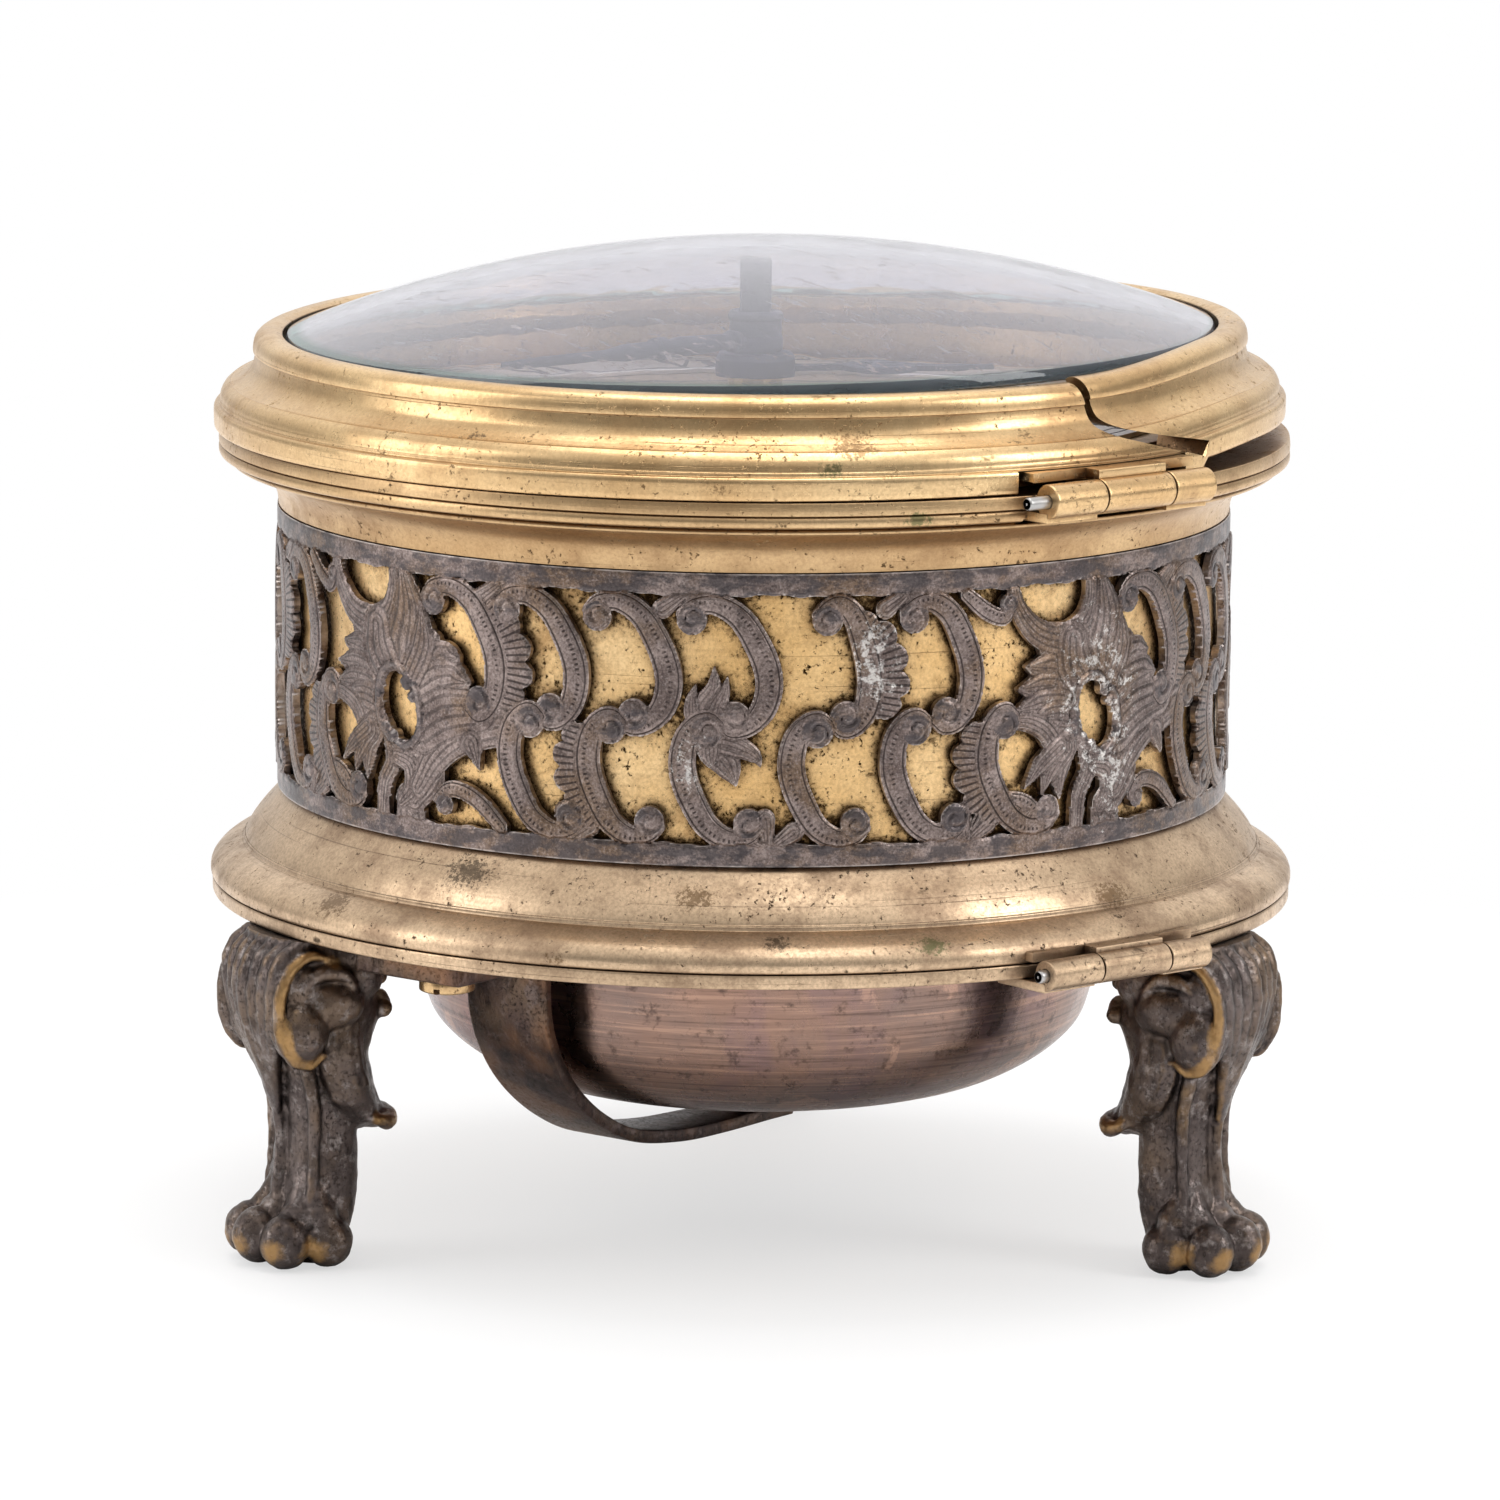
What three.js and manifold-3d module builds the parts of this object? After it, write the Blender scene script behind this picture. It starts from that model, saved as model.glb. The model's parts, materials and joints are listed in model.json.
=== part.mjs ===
// A round table clock of gilt brass with a pierced silver frieze, a hinged glazed lid over a horizontal dial,
// three cast feet, and a bell slung under a base plate that is hinged to the case.
// Millimetres, +Z up. The lid and base hinges are at +Y, where the dial has its XII.
import * as THREE from "three";
import { mergeVertices } from "three/addons/utils/BufferGeometryUtils.js";
import Module from "manifold-3d";

const wasm = await Module();
wasm.setup();

// Fits shared by the whole clock
const seatGap = 0.1; // between pieces that rest on or in one another
const clearance = 0.3; // between pieces that pass one another
const runningGap = 0.08; // round a pin or pivot that turns
const cutOverrun = 1; // how far a cutting tool runs past what it cuts

// Case. The moulding is its widest part, and the radii of the rings, plates and dial follow from it.
const mouldingRadius = 64;
const mouldingHeight = 10.7;
const mouldingWall = 2.1;
const drumInset = 9.1; // how far the drum stands in from the moulding's edge
const drumRadius = mouldingRadius - drumInset;
const drumWall = 1.4;
const drumHeight = 38.55;
const topRingInset = 1;
const topRingRadius = mouldingRadius - topRingInset;
const topRingHeight = 8.9;
const flangeHeight = 2.8;
const lipHeight = 2.6;
const lipWall = 0.9;
const lipGap = 0.9; // between the lip and the lid round it
const lipRadius = drumRadius - lipGap;
const dialLedge = 3;
const drumSeatDepth = 2.5;

// Frieze
const friezeThickness = 1.15;
const friezeGap = 0.5;
const railHeight = 2.5;
const scrollsPerQuarter = 6;

// Lid
const lidRingHeight = 11.2;
const lidRingBand = 2.65;
const lidBoreRadius = drumRadius;
const glassRadius = lidBoreRadius - clearance;
const glassThickness = 1.5;
const glassRise = 10;
const glassLedgeWidth = 2.3;
const glassLedgeDrop = 2.1;
const lidSprungLift = 2.2; // how far the sawn ring has sprung up, at its highest
const lidSawCut = 0.7;
const lidDrift = 0.6; // the worn hinge lets the lid sit this far off centre

// Base plate, feet and bell
const footHeight = 39.1;
const footReach = 18; // from the inner side of a foot to its toes
const toeOverhang = 4.8; // how far the toes stand out past the moulding
const footToeRadius = mouldingRadius + toeOverhang;
const footWidth = 15;
const footScrewRadius = 1.4;
const footScrewInset = 7; // in from the moulding's edge
const footScrewRing = mouldingRadius - footScrewInset;
const footScrewLength = 9;
const footScrewHead = 2.6;
const footScrewHeadHeight = 1.8;
const basePlateInset = 0.2;
const basePlateRadius = mouldingRadius - basePlateInset;
const basePlateThickness = 1.65;
const basePlateWidth = 21.8; // from its edge to its opening
const basePlateOpening = basePlateRadius - basePlateWidth;
const bellInset = 1; // within the plate's opening
const bellRadius = basePlateOpening - bellInset;
const bellHeight = 25.9;
const bellWall = 1.5;
const bellRimGap = 0.5;
const bellOffset = 0.9; // the bell hangs this far off the clock's axis
const strapWidth = 11.6;
const strapThickness = 1.6;
const strapGap = 2.7;
const strapFootReach = 15;
const strapFootThickness = 2.7;
const strapFootExtra = 4; // how far its foot runs on past the strap's edge, towards the left foot
const strapScrewOut = 10.2; // from the strap's outer face
const strapScrewRadius = 1.5;
const strapScrewHead = 3.2;
const strapScrewHeadHeight = 1.9;
const bellScrewRadius = 1.4;
const bellScrewHead = 3.1;
const bellScrewHeadHeight = 1.3;

// Hinges, with their knuckles in the order they lie along +X to -X
const hingeKnuckles = [7.7, 10.3, 6.2];
const knuckleGap = 0.2;
const hingePinRadius = 0.75;
const leafThickness = 1.1;
const leafDepth = 8;
const notchGap = 0.35;
const lidKnuckleRadius = 1.95;
const baseKnuckleRadius = 1.75;
const lidPinOverhang = 3;
const basePinOverhang = 1;

// Dial and hands
const dialThickness = 0.95;
const dialGap = 0.2;
const dialRadius = lipRadius - lipWall - dialGap;
const chapterInset = 3.4;
const chapterWidth = 14;
const chapterOuter = dialRadius - chapterInset;
const chapterInner = chapterOuter - chapterWidth;
const chapterThickness = 0.6;
const dialScrewRadius = 0.6;
const dialScrewHead = 1.1;
const dialScrewHeadHeight = 0.7;
const dialScrewLength = 2;
const hourPipeRadius = 3.2;
const hourPipeBore = 2.35;
const hourBossRadius = 4.7;
const hourBossHeight = 2.7;
const hourBossRise = 3.9; // above the dial
const handReach = 7.5; // how far the minute hand runs over the chapter ring, and the hour hand stops short of it
const hourHandLength = chapterInner - handReach;
const minuteHandLength = chapterInner + handReach;
const handThickness = 1.1;
const handWidth = 3.4;
const minuteBossRadius = 3.25;
const minuteBossHeight = 4.7;
const cannonRadius = 2.15;
const settingSquare = 3.7;
const settingSquareHeight = 5.6;

// Movement plates
const plateMargin = 5; // between the plates and the drum round them
const plateRadius = drumRadius - drumWall - plateMargin;
const plateThickness = 2;
const plateSpacing = 29;
const underDialSpace = 4;
const pillarRadius = 2.4;
const pillarInset = 4; // in from the plates' edge
const pillarRing = plateRadius - pillarInset;
const pillarTenon = 1.2;
const pillarNutHeight = 1.6;
const pillarNutRadius = 2.6;
const dialFootRadius = 1.5;
const pivotRadius = 0.7;
const arborRadius = 1.1;

// Wheels
const wheelThickness = 1.4;
const pinionLength = 3.4;
const greatTeeth = 40;
const leafCount = 8;
const greatModule = 0.875;
const barrelRadius = 15.4;
const barrelWall = 1.1;
const barrelHeight = 15;
const barrelCapThickness = 1;
const goingBarrelRise = 3; // above the back plate
const strikeBarrelDrop = 11; // below the front plate, to the barrel's mouth
const centreWheelDrop = 4.4;
const thirdWheelDrop = 1.7; // below the centre wheel
const contrateWheelRise = 10.5; // above the back plate, as are the next two
const lockingWheelRise = 13.5;
const flyRise = 3;
const springCoils = 5.7; // how thick the wound coils lie inside the barrel's wall
const windingArborRadius = 1.9;
const windingHubRadius = 4;
const windingSquare = 2.6;
const windingSquareHeight = 3.6;
const windingHoleRadius = 3.3;
const ratchetTeeth = 16;
const ratchetRadius = 5.2;
const ratchetThickness = 1.1;
const clickLength = 8.4;
const clickWidth = 2.2;
const clickPivotRadius = 0.8;
const centreModule = 0.6;
const centreTeeth = 42;
const trainModule = 0.55;
const trainTeeth = 42;
const smallLeaves = 6;
const contrateTeeth = 24;
const contrateRadius = 8.4;
const contrateRimHeight = 2.4;
const contrateToothHeight = 0.9;
const escapeLeaves = 6;
const escapeTeeth = 15;
const escapeRadius = 5;
const escapeWheelWidth = 2.6;
const escapeRimWall = 0.5;
const escapeArborRadius = 0.7;
const potenceThickness = 2;
const potenceWidth = 4.6;
const balanceRadius = 11;
const balanceRim = 1.3;
const balanceThickness = 1.2;
const staffRadius = 0.8;
const palletLength = 1.3;
const palletHeight = 1.4;
const balanceGap = 1.6; // between the back plate and the balance
const cockThickness = 1.4;
const cockWidth = 9;
const cockScrewRadius = 1.1;
const cockScrewHead = 2;
const springTurns = 2.5;
const balanceSpringOuter = 6.2;
const balanceSpringInner = 2.4;
const balanceSpringTape = 0.35;
const balanceSpringHeight = 0.7;
const pinWheelModule = 0.5;
const hammerPinCount = 8;
const hammerPinRadius = 0.6;
const hammerPinLength = 1.8;
const hammerPinInset = 2; // in from the pin wheel's pitch circle
const lockingModule = 0.5;
const lockingTeeth = 32;
const flySpan = 15;
const flyHeight = 8.5;
const flyThickness = 0.5;
const flyRestAngle = 45;
const minuteModule = 0.6;
const cannonTeeth = 10;
const minuteWheelTeeth = 30;
const minutePinionTeeth = 8;
const hourWheelTeeth = 32;
const motionWheelThickness = 0.9;
const hammerArmLength = 12.4;
const hammerArmWidth = 2;
const hammerHeadRadius = 2.6;
const hammerHeadHeight = 5.5;
const hammerTailLength = 6.3;
const hammerRodRadius = 1;

// Angles, counted in degrees anticlockwise from +X
const footAngles = { foot_right: 110, foot_left: -10, foot_back: 230 };
const strapAngle = 11.5;
const viewerRightAngle = 140; // the side where the lid has sprung up furthest
const minuteHandAngle = 8; // fourteen minutes past ten
const hourHandAngle = 143;
const cartoucheAngle = 5;
const degree = Math.PI / 180;
const fullTurn = 360;

// How finely round things are faceted
const ringSides = 32;
const bellSides = 30;
const barrelSides = 24;
const arborSides = 8;
const holeSides = 6;

// Heights that follow from the sizes above
const basePlateTop = footHeight + basePlateThickness;
const caseBottom = basePlateTop + seatGap;
const mouldingTop = caseBottom + mouldingHeight;
const drumBottom = mouldingTop - drumSeatDepth + seatGap;
const drumTop = drumBottom + drumHeight;
const topRingBottom = drumTop - drumSeatDepth - seatGap;
const topRingTop = topRingBottom + topRingHeight;
const dialBottom = topRingTop + lipHeight - dialThickness - dialGap - seatGap;
const dialTop = dialBottom + dialThickness;
const frontPlateTop = dialBottom - underDialSpace;
const frontPlateBottom = frontPlateTop - plateThickness;
const backPlateTop = frontPlateBottom - plateSpacing;
const backPlateBottom = backPlateTop - plateThickness;
const lidBottom = topRingTop + seatGap;
const lidTop = lidBottom + lidRingHeight;
const glassSeat = lidTop - glassLedgeDrop;

// Geometry helpers

// The closed solid inside a three.js geometry, with its faces turned outwards.
function toSolid(geometry) {
  const bare = geometry.clone();
  bare.deleteAttribute("normal");
  bare.deleteAttribute("uv");
  const merged = mergeVertices(bare, seatGap / 1000);
  const corners = [];
  const index = merged.index.array;
  for (let i = 0; i < index.length; i += 3) {
    const [a, b, c] = [index[i], index[i + 1], index[i + 2]];
    if (a !== b && b !== c && c !== a) corners.push(a, b, c);
  }
  const make = (triVerts) =>
    new wasm.Manifold(
      new wasm.Mesh({
        numProp: 3,
        vertProperties: merged.attributes.position.array,
        triVerts: Uint32Array.from(triVerts),
      }),
    );
  const solid = make(corners);
  if (solid.volume() > 0) return solid;
  const reversed = [];
  for (let i = 0; i < corners.length; i += 3)
    reversed.push(corners[i], corners[i + 2], corners[i + 1]);
  return make(reversed);
}

// A three.js geometry of a solid.
function toGeometry(solid) {
  const mesh = solid.getMesh();
  const geometry = new THREE.BufferGeometry();
  geometry.setAttribute("position", new THREE.BufferAttribute(Float32Array.from(mesh.vertProperties), 3));
  geometry.setIndex(Array.from(mesh.triVerts));
  return geometry;
}

// One body made of several that overlap.
function join(...geometries) {
  return toGeometry(geometries.map(toSolid).reduce((whole, piece) => whole.add(piece)));
}

// A body with others cut out of it.
function cut(geometry, ...tools) {
  return toGeometry(tools.map(toSolid).reduce((rest, tool) => rest.subtract(tool), toSolid(geometry)));
}

// A profile of [radius, height] pairs spun about the vertical axis.
function turned(profile, sides = ringSides) {
  const points = profile.map(([radius, height]) => new THREE.Vector2(radius, height));
  if (profile[0][0] > 0) points.push(points[0].clone());
  return toGeometry(toSolid(new THREE.LatheGeometry(points, sides).rotateX(Math.PI / 2)));
}

// A flat outline of [x, y] pairs raised from one height to another.
function raised(outline, bottom, top, holes = []) {
  const shape = new THREE.Shape(outline.map(([x, y]) => new THREE.Vector2(x, y)));
  shape.holes = holes.map((hole) => new THREE.Path(hole.map(([x, y]) => new THREE.Vector2(x, y))));
  const made = new THREE.ExtrudeGeometry(shape, { depth: top - bottom, bevelEnabled: false });
  return toGeometry(toSolid(made.translate(0, 0, bottom)));
}

// The corners of a round outline.
function round(radius, sides, x = 0, y = 0) {
  const corners = [];
  for (let i = 0; i < sides; i++) {
    const angle = (i / sides) * 2 * Math.PI;
    corners.push([x + radius * Math.cos(angle), y + radius * Math.sin(angle)]);
  }
  return corners;
}

// The outline of a round hole that a bar of this radius turns or stands in.
function bored(radius, [x, y] = [0, 0], sides = holeSides) {
  return round((radius + runningGap) / Math.cos(Math.PI / sides), sides, x, y);
}

// An upright round bar.
function rod(radius, bottom, top, [x, y] = [0, 0], sides = arborSides) {
  return new THREE.CylinderGeometry(radius, radius, top - bottom, sides)
    .rotateX(Math.PI / 2)
    .translate(x, y, (bottom + top) / 2);
}

// A round bar that lies along X.
function crossRod(radius, left, right, y, z, sides = arborSides) {
  return new THREE.CylinderGeometry(radius, radius, right - left, sides)
    .rotateZ(Math.PI / 2)
    .translate((left + right) / 2, y, z);
}

// A block between two corners.
function block([x0, y0, z0], [x1, y1, z1]) {
  const box = new THREE.BoxGeometry(x1 - x0, y1 - y0, z1 - z0);
  return box.translate((x0 + x1) / 2, (y0 + y1) / 2, (z0 + z1) / 2);
}

// A point at a distance and an angle from another.
function polar(distance, angle, [x, y] = [0, 0]) {
  return [x + distance * Math.cos(angle * degree), y + distance * Math.sin(angle * degree)];
}

// A wheel's toothed outline, with one tooth centred on the angle phase.
const addendumShare = 0.8;
const dedendumShare = 1.3;
function toothed(teeth, module, phase, [x, y] = [0, 0]) {
  const tip = (teeth / 2 + addendumShare) * module;
  const root = (teeth / 2 - dedendumShare) * module;
  const pitch = fullTurn / teeth;
  const outline = [];
  for (let i = 0; i < teeth; i++) {
    const middle = phase + i * pitch;
    outline.push(polar(tip, middle, [x, y]));
    outline.push(polar(root, middle + pitch / 2, [x, y]));
  }
  return outline;
}

// The phase that puts a wheel in mesh with one of driverTeeth teeth whose phase is driverPhase.
function meshPhase(driverTeeth, driverPhase, lineAngle, teeth) {
  const driverPitch = fullTurn / driverTeeth;
  const offset = (((driverPhase - lineAngle) % driverPitch) + driverPitch) % driverPitch;
  return lineAngle + fullTurn / 2 - fullTurn / teeth / 2 - (offset * driverTeeth) / teeth;
}

// Materials
function metal(name, color, roughness) {
  return new THREE.MeshStandardMaterial({ name, color, roughness, metalness: 1 });
}
const gilt = metal("gilt_brass", 0xc8a04e, 0.35);
const paleGilt = metal("worn_gilt", 0xb9a077, 0.42);
const silver = metal("frieze_silver", 0x77706f, 0.5);
const bronze = metal("foot_bronze", 0x6a6260, 0.5);
const bellMetal = metal("bell_metal", 0x8c7468, 0.3);
const steel = metal("steel", 0x9b9a9a, 0.3);
const blued = metal("dark_steel", 0x3b3c44, 0.35);
const brass = metal("movement_brass", 0xc29a48, 0.3);
const dialSilver = metal("dial_silver", 0xc9c6bd, 0.4);
const glass = new THREE.MeshStandardMaterial({
  name: "clear_glass",
  color: 0xe8eef0,
  roughness: 0.05,
  metalness: 0,
  transparent: true,
  opacity: 0.3,
});

const clock = new THREE.Group();
const base = new THREE.Group();
const body = new THREE.Group();
const lid = new THREE.Group();
const motionWork = new THREE.Group();
const goingTrain = new THREE.Group();
const strikeTrain = new THREE.Group();
clock.add(base, body, lid, motionWork, goingTrain, strikeTrain);

function addPart(group, name, geometry, material) {
  const mesh = new THREE.Mesh(geometry, material);
  mesh.name = name;
  group.add(mesh);
  return mesh;
}

// Profiles written as shares: how far in from the widest radius, and how far up
function edgeProfile(shares, outer, inner, bottom, top) {
  return shares.map(([inward, upward]) => [outer - inward * (outer - inner), bottom + upward * (top - bottom)]);
}

// Hinge leaves and pins. A leaf's own knuckles stay, and it is notched round the others.
function knuckleSpans() {
  const total = hingeKnuckles.reduce((sum, length) => sum + length);
  let right = total / 2;
  return hingeKnuckles.map((length) => {
    const span = [right - length + knuckleGap / 2, right - knuckleGap / 2];
    right -= length;
    return span;
  });
}
const hingeSpans = knuckleSpans();
const hingeLength = hingeKnuckles.reduce((sum, length) => sum + length);

function hingeLeaf(axisY, axisZ, knuckleRadius, leafBottom, own) {
  let leaf = block(
    [-hingeLength / 2, axisY - leafDepth, leafBottom],
    [hingeLength / 2, axisY, leafBottom + leafThickness],
  );
  const reach = knuckleRadius + notchGap;
  hingeSpans.forEach(([left, right], i) => {
    if (own.includes(i)) return;
    leaf = cut(
      leaf,
      block(
        [left - knuckleGap, axisY - reach, leafBottom - cutOverrun],
        [right + knuckleGap, axisY + cutOverrun, leafBottom + leafThickness + cutOverrun],
      ),
    );
  });
  const knuckles = own.map((i) => crossRod(knuckleRadius, ...hingeSpans[i], axisY, axisZ, 2 * arborSides));
  const bore = crossRod(hingePinRadius + runningGap, -hingeLength, hingeLength, axisY, axisZ);
  return cut(join(leaf, ...knuckles), bore);
}

const lidHingeY = topRingRadius + lidKnuckleRadius + clearance;
const lidHingeZ = topRingTop - clearance;
const baseHingeY = mouldingRadius + baseKnuckleRadius + clearance;
const baseHingeZ = basePlateTop - basePlateThickness / 2;

// Base plate: a flat ring, open in the middle for the hammer, with holes for the feet's screws and the strap's
const strapReach = bellRadius + strapGap + strapThickness;
const strapScrewAt = polar(strapReach + strapScrewOut, strapAngle);
const footScrewHoles = Object.values(footAngles).map((angle) =>
  bored(footScrewRadius, polar(footScrewRing, angle)),
);
addPart(
  base,
  "base_plate",
  raised(round(basePlateRadius, ringSides), footHeight, basePlateTop, [
    round(basePlateOpening, ringSides),
    ...footScrewHoles,
    bored(strapScrewRadius, strapScrewAt),
  ]),
  paleGilt,
);

// Feet: each a cast scroll leg that swells at the knee and ends in a paw of three toes
// Sections, from the top down: share of the height, inner and outer side as shares of the reach, share of the width
const legSectionShares = [
  [1, 0.05, 0.86, 0.88],
  [0.9, 0.02, 0.95, 0.98],
  [0.78, 0.03, 0.95, 0.94],
  [0.66, 0.14, 0.86, 0.8],
  [0.54, 0.16, 0.72, 0.64],
  [0.38, 0.2, 0.63, 0.54],
  [0.28, 0.22, 0.64, 0.54],
  [0.15, 0.29, 0.74, 0.68],
  [0, 0.36, 0.84, 0.62],
];
const legSides = 8;
function legLoft(innerRadius) {
  const positions = [];
  for (const [up, inner, outer, wide] of legSectionShares) {
    const middle = innerRadius + ((inner + outer) / 2) * footReach;
    for (let i = 0; i < legSides; i++) {
      const angle = (i / legSides) * 2 * Math.PI;
      positions.push(
        middle + ((outer - inner) / 2) * footReach * Math.cos(angle),
        ((wide * footWidth) / 2) * Math.sin(angle),
        up * footHeight,
      );
    }
  }
  const last = (legSectionShares.length - 1) * legSides;
  const index = [];
  for (let ring = 0; ring < last; ring += legSides)
    for (let i = 0; i < legSides; i++) {
      const next = (i + 1) % legSides;
      index.push(ring + i, ring + legSides + i, ring + next);
      index.push(ring + next, ring + legSides + i, ring + legSides + next);
    }
  for (let i = 1; i + 1 < legSides; i++) {
    index.push(0, i, i + 1);
    index.push(last, last + i + 1, last + i);
  }
  const geometry = new THREE.BufferGeometry();
  geometry.setAttribute("position", new THREE.Float32BufferAttribute(positions, 3));
  geometry.setIndex(index);
  return geometry;
}

// An egg-shaped swelling of a foot: its middle and half sizes as shares of the reach, width and height
const lobeSides = 8;
const lobeRings = 4;
function lobe(innerRadius, [out, across, up], [halfOut, halfAcross, halfUp]) {
  return new THREE.SphereGeometry(1, lobeSides, lobeRings)
    .rotateX(Math.PI / 2)
    .scale(halfOut * footReach, (halfAcross * footWidth) / 2, halfUp * footHeight)
    .translate(innerRadius + out * footReach, (across * footWidth) / 2, up * footHeight);
}
const voluteRadiusShare = 0.29; // of the reach
const voluteWidthShare = 1.12; // of the width
const voluteOutShare = 0.27;
const voluteUpShare = 0.82;
const toeShares = [
  [[0.8, 0, 0.12], [0.2, 0.36, 0.12]],
  [[0.68, 0.66, 0.11], [0.2, 0.38, 0.11]],
  [[0.68, -0.66, 0.11], [0.2, 0.38, 0.11]],
];
const chinShares = [[0.12, 0, 0.43], [0.16, 0.74, 0.07]];
const kneeShares = [[0.62, 0, 0.8], [0.36, 0.86, 0.15]];
function foot(angle) {
  const innerRadius = footToeRadius - footReach;
  const volute = new THREE.CylinderGeometry(
    voluteRadiusShare * footReach,
    voluteRadiusShare * footReach,
    voluteWidthShare * footWidth,
    2 * arborSides,
  ).translate(innerRadius + voluteOutShare * footReach, 0, 0);
  volute.translate(0, 0, voluteUpShare * footHeight);
  const lobes = [...toeShares, chinShares, kneeShares].map(([middle, half]) => lobe(innerRadius, middle, half));
  const whole = join(legLoft(innerRadius), volute, ...lobes);
  const floor = block([0, -footWidth, -footHeight], [2 * footToeRadius, footWidth, 0]);
  const footTop = footHeight - seatGap;
  const ceiling = block([0, -footWidth, footTop], [2 * footToeRadius, footWidth, 2 * footHeight]);
  const screwHole = raised(
    bored(footScrewRadius, [footScrewRing, 0]),
    basePlateTop - footScrewLength - clearance,
    basePlateTop,
  );
  return cut(whole, floor, ceiling, screwHole).rotateZ(angle * degree);
}
for (const [name, angle] of Object.entries(footAngles)) addPart(base, name, foot(angle), bronze);

// A round-headed screw, from its head to its tip above or below
function screw(radius, headRadius, headBottom, headTop, tip, spot) {
  return join(
    rod(headRadius, headBottom, headTop, spot),
    rod(radius, Math.min(tip, headBottom + seatGap), Math.max(tip, headTop - seatGap), spot),
  );
}
for (const [name, angle] of Object.entries(footAngles)) {
  const seat = basePlateTop + seatGap / 2;
  const [headTop, tip] = [seat + footScrewHeadHeight, basePlateTop - footScrewLength];
  const spot = polar(footScrewRing, angle);
  addPart(base, `${name}_screw`, screw(footScrewRadius, footScrewHead, seat, headTop, tip, spot), steel);
}

// Bell: a shallow bowl hung mouth upwards, its wall of even thickness
const bellTop = footHeight - bellRimGap;
const bellBottom = bellTop - bellHeight;
const bellShares = [
  [0.28, 0.01],
  [0.54, 0.06],
  [0.74, 0.15],
  [0.9, 0.33],
  [0.97, 0.54],
  [1, 1],
];
function bellProfile() {
  const outer = bellShares.map(([out, up]) => [out * bellRadius, bellBottom + up * bellHeight]);
  const inner = bellShares.map(([out, up], i) => {
    const slope = i / (bellShares.length - 1);
    const rise = bellWall * (1 - slope);
    return [out * bellRadius - bellWall * slope, bellBottom + up * bellHeight + rise];
  });
  const bore = bellScrewRadius + runningGap;
  return [[bore, bellBottom], ...outer, ...inner.reverse(), [bore, bellBottom + bellWall]];
}
const [bellX, bellY] = polar(bellOffset, viewerRightAngle);
addPart(base, "bell", turned(bellProfile(), bellSides).translate(bellX, bellY, 0), bellMetal);

// Bell strap: one bent strip that drops from a foot under the base plate and runs under the bell to its middle
// Its outer face, as shares of the distance from the axis and of the drop below the base plate
const strapTop = footHeight - seatGap;
const strapDrop = strapTop - bellBottom + strapThickness + seatGap;
const strapShares = [
  [1, 0],
  [0.995, 0.3],
  [0.95, 0.5],
  [0.87, 0.67],
  [0.75, 0.82],
  [0.6, 0.93],
  [0.4, 0.985],
  [0.2, 1],
  [-0.09, 1],
];
const strapTaperShare = 0.62;
function bellStrap() {
  const outer = strapShares.map(([out, down]) => [out * strapReach, strapTop - down * strapDrop]);
  const inner = outer.map(([r, z], i) => {
    const before = outer[Math.max(i - 1, 0)];
    const after = outer[Math.min(i + 1, outer.length - 1)];
    const length = Math.hypot(after[0] - before[0], after[1] - before[1]);
    const [alongR, alongZ] = [(after[0] - before[0]) / length, (after[1] - before[1]) / length];
    return [r + alongZ * strapThickness, z - alongR * strapThickness];
  });
  const profile = [...outer, ...inner.reverse()];
  const strip = raised(profile, -strapWidth / 2, strapWidth / 2).rotateX(Math.PI / 2);
  const taper = strip.getAttribute("position");
  for (let i = 0; i < taper.count; i++) {
    const out = Math.min(1, Math.max(0, taper.getX(i) / strapReach));
    taper.setY(i, taper.getY(i) * (strapTaperShare + (1 - strapTaperShare) * out));
  }
  const foot = block(
    [strapReach - strapThickness, -strapWidth / 2 - strapFootExtra, strapTop - strapFootThickness],
    [strapReach + strapFootReach, strapWidth / 2, strapTop],
  );
  const bent = join(strip, foot).rotateZ(strapAngle * degree);
  const holeTop = strapTop + cutOverrun;
  const screwHole = rod(strapScrewRadius + runningGap, strapTop - strapDrop, holeTop, strapScrewAt);
  const middle = rod(bellScrewRadius + runningGap, 0, bellBottom, [bellX, bellY]);
  return cut(bent, screwHole, middle);
}
addPart(base, "bell_strap", bellStrap(), bronze);

const strapScrewSeat = strapTop - strapFootThickness - seatGap / 2;
addPart(
  base,
  "strap_screw",
  screw(
    strapScrewRadius,
    strapScrewHead,
    strapScrewSeat - strapScrewHeadHeight,
    strapScrewSeat,
    basePlateTop,
    strapScrewAt,
  ),
  gilt,
);
const bellScrewSeat = bellBottom + bellWall + seatGap;
addPart(
  base,
  "bell_screw",
  screw(
    bellScrewRadius,
    bellScrewHead,
    bellScrewSeat,
    bellScrewSeat + bellScrewHeadHeight,
    strapTop - strapDrop,
    [bellX, bellY],
  ),
  blued,
);

// Base hinge: its lower leaf lies under the base plate, its upper one is let into the case
const baseLeafBottom = footHeight - seatGap - leafThickness;
addPart(
  base,
  "base_hinge_leaf",
  hingeLeaf(baseHingeY, baseHingeZ, baseKnuckleRadius, baseLeafBottom, [0, 2]),
  paleGilt,
);
addPart(
  base,
  "base_hinge_pin",
  crossRod(hingePinRadius, -hingeLength / 2, hingeLength / 2 + basePinOverhang, baseHingeY, baseHingeZ),
  steel,
);

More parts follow.
